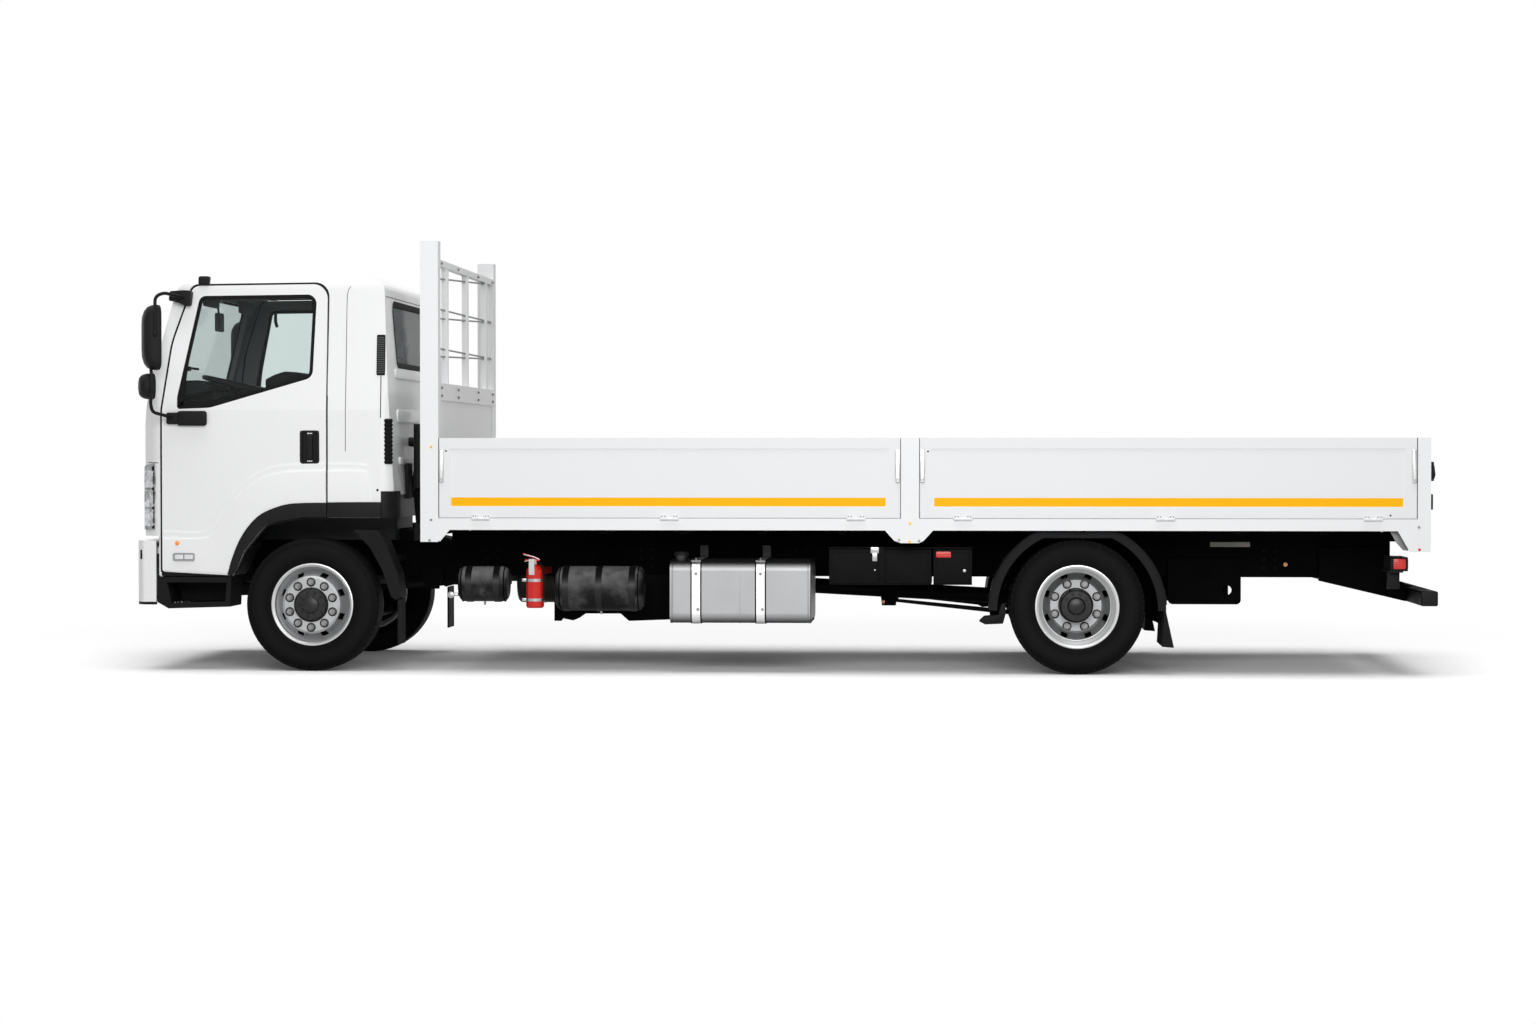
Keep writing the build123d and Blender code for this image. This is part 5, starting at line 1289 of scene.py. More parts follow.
@dataclass
class Studio:
    """The pale floor, soft light and the camera."""

    lens: float = 73.19
    eye: Point = (-1.1187, 20.5446, 1.3579)
    yaw: float = 3.4396
    pitch: float = 1.0335
    floor_half: float = 60.0
    floor_grey: Colour = (0.45, 0.45, 0.45)
    floor_reach: float = 6.6
    white: Colour = (1.0, 1.0, 1.0)
    world_light: float = 0.22
    sun_spread: float = 55.0
    side_lamp: Flat = (9.0, 4.5)
    lamps: tuple[tuple[str, str, Point, Point, float], ...] = (
        ("overhead", "SUN", (0.0, 0.4, 10.0), (0.0, 0.0, 0.0), 2.15),
        ("side", "AREA", (-0.8, 12.0, 4.6), (0.0, 0.0, 1.2), 840.0))

    def build(self) -> None:
        """Makes the whole studio."""
        self._camera()
        self._floor()
        self._world()
        self._lamps()
        bpy.context.scene.view_settings.view_transform = "Standard"

    def _camera(self) -> None:
        """Sets the camera where the photo was taken from."""
        data = bpy.data.cameras.new("camera")
        data.lens, data.sensor_width = self.lens, 36.0
        data.clip_end = 200.0
        camera = bpy.data.objects.new("camera", data)
        yaw, pitch = math.radians(self.yaw), math.radians(self.pitch)
        ahead = Vector((math.sin(yaw) * math.cos(pitch), -math.cos(yaw) * math.cos(pitch), -math.sin(pitch)))
        camera.location = self.eye
        camera.rotation_mode = "QUATERNION"
        camera.rotation_quaternion = ahead.to_track_quat("-Z", "Y")
        bpy.context.scene.collection.objects.link(camera)
        bpy.context.scene.camera = camera

    def _floor(self) -> None:
        """Lays a white floor that keeps the truck's shadow."""
        half = self.floor_half
        mesh = bpy.data.meshes.new("floor")
        mesh.from_pydata([(-half, -half, 0), (half, -half, 0), (half, half, 0), (-half, half, 0)], [],
            [(0, 1, 2, 3)])
        made = bpy.data.materials.new("floor_white")
        made.use_nodes = True
        g = Graph(made.node_tree)
        x, y, _ = g.axes(g.place())
        reach = ((x * x + y * y * 1.4).power(0.5)).above(self.floor_reach, 4.0)
        direct = self._seen(g)
        white, glow = (g.add("ShaderNodeEmission", {}, {"Color": (*self.white, 1.0), "Strength": strength})
            for strength in (1.0, direct * 0.04))
        matt = g.add("ShaderNodeBsdfDiffuse", {}, {"Color": g.mix(direct, self.floor_grey, self.white)})
        near = g.add("ShaderNodeAddShader", {}, {0: matt, 1: glow})
        g.finish(g.add("ShaderNodeMixShader", {}, {0: reach * direct, 1: near, 2: white}))
        mesh.materials.append(made)
        floor = bpy.data.objects.new("floor", mesh)
        bpy.context.scene.collection.objects.link(floor)

    @staticmethod
    def _seen(g: Graph) -> Wire:
        """A mask of the rays from the camera, straight or by gloss or glass.

        Args:
            g: the graph that asks.

        Returns:
            The mask.
        """
        path = g.tree.nodes.new("ShaderNodeLightPath")
        seen = [Wire(g, path.outputs[f"Is {name} Ray"]) for name in ("Camera", "Glossy", "Transmission")]
        return (seen[0] + seen[1] + seen[2]).above(0.5, 0.1)

    def _world(self) -> None:
        """A white surround, dimmer as a light than as a backdrop."""
        world = bpy.data.worlds.new("studio")
        world.use_nodes = True
        bpy.context.scene.world = world
        g = Graph(world.node_tree)
        level = self._seen(g)
        light = g.add("ShaderNodeBackground", {}, {"Color": (*self.white, 1.0),
            "Strength": self.world_light + level * (1 - self.world_light)})
        g.add("ShaderNodeOutputWorld", {}, {"Surface": light})

    def _lamps(self) -> None:
        """A broad soft light overhead, alike on roof and floor, and a soft lamp beside the camera."""
        for name, kind, place, aim, power in self.lamps:
            data = bpy.data.lights.new(name, kind)
            data.energy = power
            if kind == "SUN":
                data.angle = math.radians(self.sun_spread)
            else:
                data.shape, (data.size, data.size_y) = "RECTANGLE", self.side_lamp
            lamp = bpy.data.objects.new(name, data)
            lamp.location = place
            lamp.rotation_mode = "QUATERNION"
            lamp.rotation_quaternion = (Vector(aim) - Vector(place)).to_track_quat("-Z", "Y")
            bpy.context.scene.collection.objects.link(lamp)


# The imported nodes' own finishes


NODE_FINISH: dict[str, Finish] = {"chassis_frame": Shop.frame_black, "engine": Shop.engine_grey,
    "driveline": Shop.axle_black, "front_axle": Shop.axle_black, "rear_axle": Shop.axle_black,
    "leaf_springs": Shop.axle_black, "fuel_tank": Shop.tank_aluminium, "side_tanks": Shop.tank_black,
    "tank_straps": Shop.strap_steel, "side_lockers": Shop.locker_black, "fire_extinguisher": Shop.tank_red,
    "exhaust": Shop.exhaust_steel, "mudguards": Shop.guard_black, "mudflaps": Shop.flap_rubber,
    "front_bumper": Shop.cab_white, "cab_steps": Shop.step_black, "underrun_bar": Shop.frame_black,
    "tail_lamps": Shop.trim_black, "intake_duct": Shop.trim_black, "deck_subframe": Shop.subframe_black,
    "deck_floor": Shop.deck_board, "deck_raves": Shop.body_white, "body_posts": Shop.body_white,
    "headboard": Shop.body_white, "cab_shell": Shop.cab_white, "cab_glass": Shop.side_glass,
    "front_panel": Shop.trim_black, "headlamps": Shop.lamp_body, "dashboard": Shop.dash_grey,
    "seats": Shop.seat_cloth, "steering_wheel": Shop.dash_grey, "door": Shop.cab_white,
    "door_glass": Shop.side_glass, "mirror": Shop.trim_black, "knuckle": Shop.axle_black,
    "front_tyre": Shop.tyre_rubber, "front_wheel": Shop.wheel_silver, "front_hub": Shop.hub_black,
    "rear_tyres": Shop.tyre_rubber, "rear_wheels": Shop.wheel_silver, "rear_hub": Shop.hub_black,
    "front_board": Shop.panel_white, "rear_board": Shop.panel_white, "tailboard": Shop.body_white,
    "track_rod": Shop.axle_black}


def dress_nodes(nodes: dict[str, bpy.types.Object]) -> None:
    """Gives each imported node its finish.

    Args:
        nodes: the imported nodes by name.
    """
    for name, node in nodes.items():
        finish = NODE_FINISH[name.removesuffix("_left").removesuffix("_right")]
        node.data.materials.clear()
        node.data.materials.append(finish.material())


# Wheels and tyres


@dataclass
class Tyre:
    """A tyre with ribs in its tread, notched shoulders and a stepped wall."""

    radius: float = 0.42
    half_tread: float = 0.1
    bead: float = 0.2475
    groove: float = 0.011
    groove_width: float = 0.01
    grooves: tuple[float, ...] = (0.062, 0.022, -0.022, -0.062)
    notches: int = 72

    def profile(self) -> list[Flat]:
        """The section from one bead to the other."""
        outer = self.radius
        side = [(self.bead, 0.088), (self.bead + 0.008, 0.098), (0.262, 0.1035), (0.27, 0.1075),
            (0.285, 0.1125), (0.2865, 0.115), (0.292, 0.1155), (0.31, 0.1195), (0.334, 0.1222),
            (0.352, 0.1225), (0.372, 0.1195), (0.388, 0.114), (0.3895, 0.116), (0.398, 0.113), (0.408, 0.107),
            (outer - 0.004, self.half_tread - 0.002), (outer - 0.0006, self.half_tread - 0.01)]
        ribs = []
        for middle in self.grooves:
            high, low, wide = outer, outer - self.groove, self.groove_width / 2
            ribs += [(high, middle + wide), (low, middle + wide * 0.7), (low, middle - wide * 0.7),
                (high, middle - wide)]
        return side + ribs + [(r, -y) for r, y in reversed(side)]

    def blocks(self, form: Form, centre: Point) -> None:
        """Adds the shoulder blocks of a wheel to a form.

        Args:
            form: the form to add to.
            centre: the wheel's centre.
        """
        for side in (1.0, -1.0):
            lug = Repeat(Unit.BAR, Layout.RING, self.notches, (0.02, 0.0225, 0.014),
                radius=self.radius - 0.0165)
            place = Vector(centre) + Vector((0.0, side * (self.half_tread + 0.0015), 0.0))
            form.mesh_in(lug.mesh(Shop.tyre_rubber), facing(tuple(place), (0.0, side, 0.0)))

    def build(self, name: str, body: str, centres: Sequence[Point], slot: str, node: str) -> None:
        """Makes one body's tyres and puts them in the plain ones' place.

        Args:
            name: the piece's name.
            body: the body that it rides on.
            centres: the centre of each tyre.
            slot: the material slot.
            node: the node that it replaces.
        """
        form = Form()
        for centre in centres:
            form.lathe(self.profile(), centre, "Y", 96)
            self.blocks(form, centre)
        piece = form.piece(name, body, Shop.tyre_rubber, slot, sharp=28.0)
        axle = Vector((centres[0][0], 0.0, centres[0][2]))
        reach = piece.data.attributes.new("reach", "FLOAT", "POINT")
        values = [math.hypot(v.co.x - axle.x, v.co.z - axle.z) for v in piece.data.vertices]
        reach.data.foreach_set("value", values)
        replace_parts(piece, node)


@dataclass
class WheelTrim:
    """Nuts, hub cap ribs and valve of one wheel."""

    centre: Point
    face: float
    nuts: int
    pitch: float
    nut: Point
    cap: float
    cap_radius: float

    def form(self) -> Form:
        """The bright parts: nuts on their pitch circle, and the valve."""
        form = Form()
        ring = Repeat(Unit.NUT, Layout.RING, self.nuts, self.nut, radius=self.pitch,
            start=math.pi / self.nuts)
        place = (self.centre[0], self.face, self.centre[2])
        form.mesh_in(ring.mesh(Shop.bolt_zinc), facing(place, (0.0, 1.0, 0.0)))
        x, _, z = self.centre
        form.tube([(x + 0.03, self.face - 0.01, z - 0.185), (x + 0.03, self.face + 0.014, z - 0.19),
            (x + 0.032, self.face + 0.03, z - 0.2)], 0.004, 8)
        return form

    def cap_form(self) -> Form:
        """The dark hub cap: a domed lid with bolts round it, and the dark seats under the nuts."""
        x, _, z = self.centre
        r = self.cap_radius
        profile = [(0.0, self.cap + 0.014), (r * 0.42, self.cap + 0.013), (r * 0.5, self.cap + 0.008),
            (r * 0.56, self.cap + 0.002), (r * 0.92, self.cap), (r * 0.97, self.cap - 0.006),
            (0.0, self.cap - 0.006)]
        form = Form().lathe(profile, (x, 0.0, z), "Y", 40)
        for count, size, radius, start, y in ((10, (0.021, 0.021, 0.012), r * 0.76, 0.0, self.cap),
                (self.nuts, (0.06, 0.06, 0.012), self.pitch, math.pi / self.nuts, self.face)):
            unit = Unit.NUT if radius < self.pitch else Unit.RIVET
            laid = Repeat(unit, Layout.RING, count, size, radius=radius, start=start)
            form.mesh_in(laid.mesh(Shop.hub_black), facing((x, y, z), (0.0, 1.0, 0.0)))
        return form


@dataclass
class RunningGear:
    """Tyres, bright lips, nuts and hub caps on all corners."""

    nodes: dict[str, bpy.types.Object]
    front_y: float = 0.978
    twin_y: float = 0.8905
    face: float = 0.1375
    height: float = 0.42

    def lip(self, node: str, x: float) -> Form:
        """The machined lip of a packed wheel on its axle at x, laid on the wheel's own surface.

        Args:
            node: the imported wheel.
            x: the axle's place.

        Returns:
            The lip.
        """
        lift = Skin([self.nodes[node]]).under(SIDE_VIEW, 0.9)
        reach = [0.2585 - 0.0015 * k for k in range(18)]
        face = [(r, lift(x + r, self.height)) for r in reach]
        keep = [(r, y) for r, y in face if y > face[2][1] - 0.02]
        profile = [(r, y + 0.0008) for r, y in keep] + [(r, y - 0.002) for r, y in reversed(keep)]
        return Form().lathe(profile, (x, 0.0, self.height), "Y", 96)

    def build(self) -> None:
        """Makes all of it."""
        front, rear = DATUM.front_axle, DATUM.rear_axle
        tyre = Tyre()
        for side in Side:
            sign = 1.0 if side is Side.LEFT else -1.0
            name = side.value
            tyre.build(f"front_tread_{name}", f"front_wheel_{name}", [(front, sign * self.front_y,
                self.height)], "tyre_rubber", f"front_tyre_{name}")
            tyre.build(f"rear_tread_{name}", f"rear_wheels_{name}", [(rear, sign
                * (self.twin_y + s * self.face), self.height) for s in (1, -1)], "tyre_rubber",
                f"rear_tyres_{name}")
            steer = WheelTrim((front, self.front_y, self.height), self.front_y + self.face, 10, 0.1425,
                (0.032, 0.032, 0.024), self.front_y + self.face + 0.024, 0.102)
            drive = WheelTrim((rear, self.twin_y, self.height), self.twin_y + 0.012, 8, 0.1425,
                (0.034, 0.034, 0.028), self.twin_y + 0.13, 0.102)
            for kind, trim, body in (("front", steer, f"front_wheel_{name}"),
                    ("rear", drive, f"rear_wheels_{name}")):
                side.of(trim.form()).piece(f"{kind}_wheel_nuts_{name}", body, Shop.bolt_zinc, "wheel_silver")
                side.of(trim.cap_form()).piece(f"{kind}_hub_cap_{name}", body, Shop.hub_black, "frame_black")
            for kind, x, y, body in (("front", front, 0.945, f"front_wheel_{name}"),
                    ("rear", rear, 0.8, f"rear_wheels_{name}")):
                drum = Form().lathe([(0.12, -0.02), (0.222, -0.02), (0.222, 0.018), (0.214, 0.02),
                    (0.12, 0.02)], (x, y, self.height), "Y", 48)
                side.of(drum).piece(f"{kind}_brake_{name}", body, Shop.axle_black, "frame_black")
            for kind, node, x, body in (("front", "front_wheel_left", front, f"front_wheel_{name}"),
                    ("rear", "rear_wheels_left", rear, f"rear_wheels_{name}")):
                side.of(self.lip(node, x)).piece(f"{kind}_wheel_lip_{name}", body, Shop.rim_bright,
                    "wheel_silver")


# Cab


def ahead(points: Iterable[Flat]) -> list[Flat]:
    """Points given ahead of the front axle, in the truck's frame."""
    return [(DATUM.ahead(x), z) for x, z in points]


def oblong(low: Flat, high: Flat, radius: float = 0.0, steps: int = 5) -> list[Flat]:
    """An upright rectangle between two corners, rounded."""
    return rounded([low, (high[0], low[1]), high, (low[0], high[1])], radius, steps)


def fine(points: Sequence[Flat], step: float = 0.06) -> list[Flat]:
    """A closed outline with its long edges divided.

    Args:
        points: the outline's points.
        step: the longest edge that is left.

    Returns:
        The divided outline.
    """
    out = []
    for here, there in zip(points, [*points[1:], points[0]]):
        count = max(1, math.ceil(math.dist(here, there) / step))
        out += [tuple(Vector(here).lerp(Vector(there), k / count)) for k in range(count)]
    return out


def spread(points: Sequence[Flat], count: int) -> list[Flat]:
    """A line cut into equal steps, with that many points.

    Args:
        points: its points in order.
        count: how many points it gets.

    Returns:
        The evenly spaced points.
    """
    runs = [0.0]
    for here, there in zip(points, points[1:]):
        runs.append(runs[-1] + math.dist(here, there))
    out, k = [], 0
    for i in range(count):
        want = runs[-1] * i / (count - 1)
        while k < len(points) - 2 and runs[k + 1] < want:
            k += 1
        part = (want - runs[k]) / max(runs[k + 1] - runs[k], 1e-9)
        out.append(tuple(Vector(points[k]).lerp(Vector(points[k + 1]), min(part, 1.0))))
    return out


def side_of_cab(x: float, z: float) -> float:
    """The cab's left side under a point."""
    return DATUM.cab_side(z)


@dataclass
class CabSide:
    """Window band, pressed flare, arch trim, handle and lamps of one side of the cab."""

    skin: Skin
    window: tuple[Flat, ...] = ((0.86, 1.652), (0.86, 1.73), (0.725, 2.368), (-0.022, 2.376), (-0.002, 1.85),
        (0.65, 1.66))
    window_radii: tuple[float, ...] = (0.02, 0.12, 0.045, 0.06, 0.06, 0.2)
    door: tuple[Flat, ...] = ((0.956, 0.626), (0.956, 1.64), (0.894, 2.07), (0.77, 2.432), (-0.09, 2.442),
        (-0.09, 0.969), (0.076, 0.969), (0.292, 0.927), (0.432, 0.757), (0.5, 0.602))
    door_radii: tuple[float, ...] = (0.02, 0.4, 0.6, 0.06, 0.095, 0.0, 0.13, 0.12, 0.12, 0.01)
    trim_outer: tuple[Flat, ...] = ((0.537, 0.607), (0.511, 0.702), (0.459, 0.828), (0.395, 0.923),
        (0.318, 0.992), (0.235, 1.03), (0.139, 1.055), (0.02, 1.061), (-0.0945, 1.062))
    crease: tuple[Flat, ...] = ((0.951, 0.842), (0.7, 0.842), (0.64, 0.866), (0.605, 0.915), (0.554, 1.005),
        (0.458, 1.124), (0.33, 1.219), (0.202, 1.257), (0.05, 1.268), (-0.0885, 1.27))
    edge: tuple[Flat, ...] = ((0.9505, 0.632), (0.56, 0.618), (0.537, 0.618), (0.511, 0.703), (0.459, 0.829),
        (0.395, 0.924), (0.318, 0.993), (0.17, 1.045), (0.05, 1.06), (-0.0885, 1.062))
    quarter_crease: tuple[Flat, ...] = ((-0.1025, 1.27), (-0.23, 1.27), (-0.3, 1.268), (-0.356, 1.262))
    quarter_edge: tuple[Flat, ...] = ((-0.1025, 1.066), (-0.23, 1.066), (-0.31, 1.066), (-0.376, 1.066))
    flare: float = 0.009
    section: tuple[Flat, ...] = ((-0.016, 0.009), (-0.007, 0.0078), (-0.001, 0.0025), (0.002, 0.0012),
        (0.026, 0.0046), (0.033, 0.0044), (0.048, 0.0003), (0.048, -0.004))

    def build(self, side: Side) -> None:
        """Makes one side's pieces.

        Args:
            side: which side.
        """
        door, name = f"door_{side.value}", side.value
        for label, body, form, finish, slot in (
                ("window_band", door, self.window_band(), Shop.seal_black, "rubber_black"),
                ("door_seal", door, self.door_seal(), Shop.seal_black, "rubber_black"),
                ("flare_door", door, self.pressed(self.crease, self.edge), Shop.cab_white, "white_paint"),
                ("flare_cab", "cab", self.pressed(self.quarter_crease, self.quarter_edge), Shop.cab_white,
                    "white_paint"),
                ("arch_trim_door", door, self.arch_front(), Shop.trim_black, "plastic_black"),
                ("arch_trim_cab", "cab", Form().hoop(ahead([(-0.0995, 1.062), (-0.3, 1.066), (-0.44, 1.066)]),
                    ahead([(-0.0995, 0.968), (-0.3, 0.968), (-0.44, 0.968)]), -0.004, 0.016, 0.005,
                    side_of_cab, closed=False), Shop.trim_black, "plastic_black"),
                ("door_handle", door, self.handle(), Shop.trim_black, "plastic_black"),
                ("side_lamp_frame", door, self.lamp_frame(), Shop.lamp_grey, "plastic_black"),
                ("side_lamp", door, self.lamp_cells(), Shop.lamp_clear, "lamp_clear"),
                ("turn_lamp", door, self.turn_lamp(), Shop.lamp_amber, "lamp_red"),
                ("corner_filler", "cab", Form().slab(fine(ahead([(0.9595, 0.6), (0.9775, 0.6), (0.9775, 0.85),
                    (0.9595, 0.85)]), 0.03), -0.003, 0.0018, 0.0, self.skin.under(SIDE_VIEW,
                    1.082)).slab(ahead([(0.9595, 0.6205), (0.9595, 0.5985), (0.498, 0.5985), (0.498, 0.599),
                    (0.52, 0.5995)]), 1.078, 1.0868), Shop.seal_black, "rubber_black"),
                ("corner_wrap", "cab", Form().slab(ahead([(-0.438, 1.0872), (-0.452, 1.085), (-0.468, 1.0795),
                    (-0.484, 1.0705), (-0.503, 1.054), (-0.515, 1.037), (-0.5225, 1.01), (-0.5235, 0.86),
                    (-0.5, 0.86), (-0.495, 1.0), (-0.47, 1.045), (-0.438, 1.06)]), 0.966, 1.134, 0.001,
                    view=TOP_VIEW), Shop.trim_black, "plastic_black"),
                ("roof_lamp", "cab", self.roof_lamp(), Shop.trim_black, "plastic_black"),
                ("quarter_line_shade", "cab", self.quarter_line_shade(), Shop.seam_and_shade_grey, "rubber_black")):
            side.of(form).piece(f"{label}_{name}", body, finish, slot)

    def window_band(self) -> Form:
        """The black border printed and sealed round the door's glass, wider at its low front corner."""
        outer = fine(rounded(ahead(self.window), self.window_radii, 6), 0.05)

        def inward(x: float, z: float) -> float:
            """The border's width at a point.

            Args:
                x: the point's x.
                z: the point's height.

            Returns:
                The width, negative inwards.
            """
            front = min(1.0, max(0.0, (x - DATUM.ahead(0.2)) / 0.45))
            low = min(1.0, max(0.0, (1.95 - z) / 0.25))
            return -(0.022 + 0.022 * front * low)

        return Form().hoop(grown(outer, -0.0005), grown(outer, inward), -0.012, -0.0015, 0.001, side_of_cab)

    def door_seal(self) -> Form:
        """The rubber in the gap round the door."""
        outline = rounded(ahead(self.door), self.door_radii, 6)
        return Form().hoop(grown(outline, 0.0115), grown(outline, 0.006), -0.03, -0.006, 0.001, side_of_cab)

    def pressed(self, crease: Sequence[Flat], edge: Sequence[Flat]) -> Form:
        """The pressed flare over the wheel arch, sloping out of the side and then standing proud of it.

        Args:
            crease: the line where it leaves the side.
            edge: its lower line.

        Returns:
            The flare.
        """
        rings = []
        for top, foot in zip(flowing(ahead(crease)), flowing(ahead(edge))):
            up = (Vector(top) - Vector(foot)).normalized()
            y = DATUM.cab_half
            ring = [SIDE_VIEW.at(*foot, y - 0.004), SIDE_VIEW.at(*foot, y + self.flare)]
            ring += [SIDE_VIEW.at(*(Vector(top) + up * reach), y + out) for reach, out in self.section]
            rings.append(ring)
        return Form().sweep(rings)

    def arch_front(self) -> Form:
        """The black arch trim on the door, from its outer line to the door's edge."""
        edge = [(x, z) for x, z in rounded(ahead(self.door), self.door_radii, 6) if z < 0.975
            and -0.08 < x - DATUM.front_axle < 0.52]
        first = max(edge, key=lambda point: point[1] - point[0])
        edge = sorted(edge, key=lambda point: point[1] - point[0]) + [(DATUM.ahead(-0.0945), first[1])]
        return Form().hoop(spread(flowing(ahead(self.trim_outer), 4), 32), spread(edge, 32), -0.004, 0.018,
            0.005, side_of_cab, closed=False)

    def handle(self) -> Form:
        """The door handle: a tray in the recess and an upright pull."""
        (x0, z0), (x1, z1) = ahead([(-0.044, 1.309), (0.072, 1.513)])
        y = DATUM.cab_half
        outer = oblong((x0, z0), (x1, z1), 0.018)
        form = Form().hoop(grown(outer, 0.004), grown(outer, -0.01), y - 0.018, y + 0.003, 0.002)
        form.slab(grown(outer, -0.006), y - 0.0215, y - 0.0165)
        middle = (x0 + x1) / 2
        form.block((middle - 0.019, y - 0.02, z0 + 0.018), (middle + 0.019, y + 0.006, z1 - 0.018), 0.008, 3)
        form.lathe([(0.009, 0.0), (0.009, 0.003), (0.006, 0.004), (0.0, 0.004)],
            (middle - 0.04, y - 0.018, z0 + 0.035), "Y", 20, False)
        return form

    def lamp_frame(self) -> Form:
        """The side lamp's dark frame."""
        y = DATUM.cab_half + self.flare
        outer = oblong(*ahead([(0.746, 0.694), (0.884, 0.744)]), 0.012)
        return Form().hoop(outer, grown(outer, -0.007), y - 0.004, y + 0.011,
            0.002).slab(grown(outer, -0.006), y - 0.004, y + 0.001)

    def lamp_cells(self) -> Form:
        """The side lamp's two lenses."""
        y = DATUM.cab_half + self.flare
        form = Form()
        for x0, x1 in ((0.755, 0.812), (0.818, 0.875)):
            form.slab(oblong(*ahead([(x0, 0.703), (x1, 0.735)]), 0.006), y, y + 0.009, 0.003)
        return form

    def turn_lamp(self) -> Form:
        """The small round lamp above the side lamp."""
        x, z = ahead([(0.857, 0.806)])[0]
        return Form().lathe([(0.0, 0.01), (0.008, 0.009), (0.013, 0.006), (0.015, 0.0), (0.0, 0.0)],
            (x, DATUM.cab_half + self.flare, z), "Y", 24)

    @staticmethod
    def roof_lamp() -> Form:
        """The marker lamp at the roof's front corner."""
        x0, x1 = DATUM.ahead(0.667), DATUM.ahead(0.736)
        return Form().block((x0, 0.945, 2.437), (x1, 1.028, 2.494), 0.016, 3)

    @staticmethod
    def quarter_line_shade() -> Form:
        """A grey strip down the cab's quarter, behind the door: painted shade of the pressed line."""
        line = flowing(ahead([(-0.214, 1.385), (-0.214, 1.6), (-0.214, 1.645), (-0.2145, 1.75),
            (-0.215, 2.05), (-0.2155, 2.36), (-0.222, 2.4), (-0.236, 2.425)]), 4)
        return Form().hoop([(x + 0.0022, z) for x, z in line], [(x - 0.0022, z) for x, z in line], -0.004,
            0.0006, 0.0, side_of_cab, closed=False)


@dataclass
class CabFront:
    """Headlamps, screen rubber, wipers and grille of the cab's front."""

    skin: Skin
    screen: tuple[Flat, ...] = ((-0.94, 1.712), (0.94, 1.712), (0.862, 2.392), (-0.862, 2.392))
    lamp_cells: tuple[tuple[float, float], ...] = ((0.912, 1.02), (1.034, 1.142), (1.156, 1.264))
    fin_step: float = 0.024
    fin_rows: tuple[float, ...] = (0.985, 1.065, 1.145, 1.225)

    def build(self) -> None:
        """Makes the front's pieces."""
        for side in Side:
            for label, form, finish, slot in (("lamp_reflectors", self.reflectors(), Shop.facet,
                    "wheel_silver"), ("lamp_border", self.border(), Shop.seal_black, "plastic_black")):
                side.of(form).piece(f"{label}_{side.value}", "cab", finish, slot)
        self.rubber().piece("screen_rubber", "cab", Shop.seal_black, "rubber_black")
        self.wipers().piece("wipers", "cab", Shop.trim_black, "plastic_black")
        self.fins().piece("grille_fins", "cab", Shop.trim_black, "plastic_black")

    def reflectors(self) -> Form:
        """The headlamp's bright cells, wrapped round the corner."""
        lift = self.skin.under(CORNER_VIEW, 3.5)
        form = Form()
        for low, high in self.lamp_cells:
            cell = fine(oblong((-2.15, low), (-2.018, high), 0.022), 0.02)
            form.slab(cell, -0.002, 0.0016, 0.0, lift, CORNER_VIEW, rings=4)
            bowl = grown(cell, -0.016)
            form.hoop(bowl, grown(bowl, -0.007), 0.0, 0.004, 0.001, lift, view=CORNER_VIEW)
        return form

    def border(self) -> Form:
        """The black edge between the headlamp and the side, and the seam over it."""
        lift = self.skin.under(SIDE_VIEW, 1.085)
        rows = [0.897 + 0.0262 * k for k in range(16)]
        form = Form().hoop([(DATUM.ahead(1.0105), z) for z in rows], [(DATUM.ahead(1.0265), z) for z in rows],
            -0.003, 0.002, 0.0, lift, closed=False)
        seam = [(x, 1.3115 + (x - 3.89) * 0.04) for x in (3.892, 3.91, 3.93, 3.95, 3.97, 3.99)]
        return form.hoop([(x, z + 0.002) for x, z in seam], [(x, z - 0.002) for x, z in seam], -0.003, 0.001,
            0.0, lift, closed=False)

    def rubber(self) -> Form:
        """The rubber round the windscreen."""
        outline = fine(rounded(self.screen, 0.09, 6), 0.05)
        lift = self.skin.under(FRONT_VIEW, 3.9)
        return Form().hoop(grown(outline, 0.014), grown(outline, -0.012), -0.006, 0.005, 0.0015, lift,
            view=FRONT_VIEW)

    def wipers(self) -> Form:
        """Two wipers parked on the windscreen."""
        lift = self.skin.under(FRONT_VIEW, 3.9)
        form = Form()
        for foot, tip in ((-0.52, 0.1), (0.12, 0.74)):
            for y0, wide, z0, high, clear, radius, sides in ((foot, tip - foot, 1.69, 0.075, 0.014, 0.006, 8),
                    (tip - 0.36, 0.62, 1.752, 0.045, 0.009, 0.008, 6)):
                path = [(y0 + wide * k / 8, z0 + high * k / 8) for k in range(9)]
                form.tube([(lift(y, z) + clear, y, z) for y, z in path], radius, sides)
            form.lathe([(0.0, 0.022), (0.016, 0.02), (0.02, 0.01), (0.02, -0.01), (0.0, -0.01)],
                (lift(foot, 1.69), foot, 1.69), "X", 20)
        return form

    def fins(self) -> Form:
        """Upright fins in the nose panel's slots."""
        lift = self.skin.under(FRONT_VIEW, 3.9)
        across = [-0.6 + self.fin_step * k for k in range(51)]
        places = [(lift(y, z) - 0.001, y, z) for z in self.fin_rows for y in across]
        return Form().fixings(places, (1.0, 0.0, 0.0), (0.006, 0.034, 0.008), Unit.BAR)


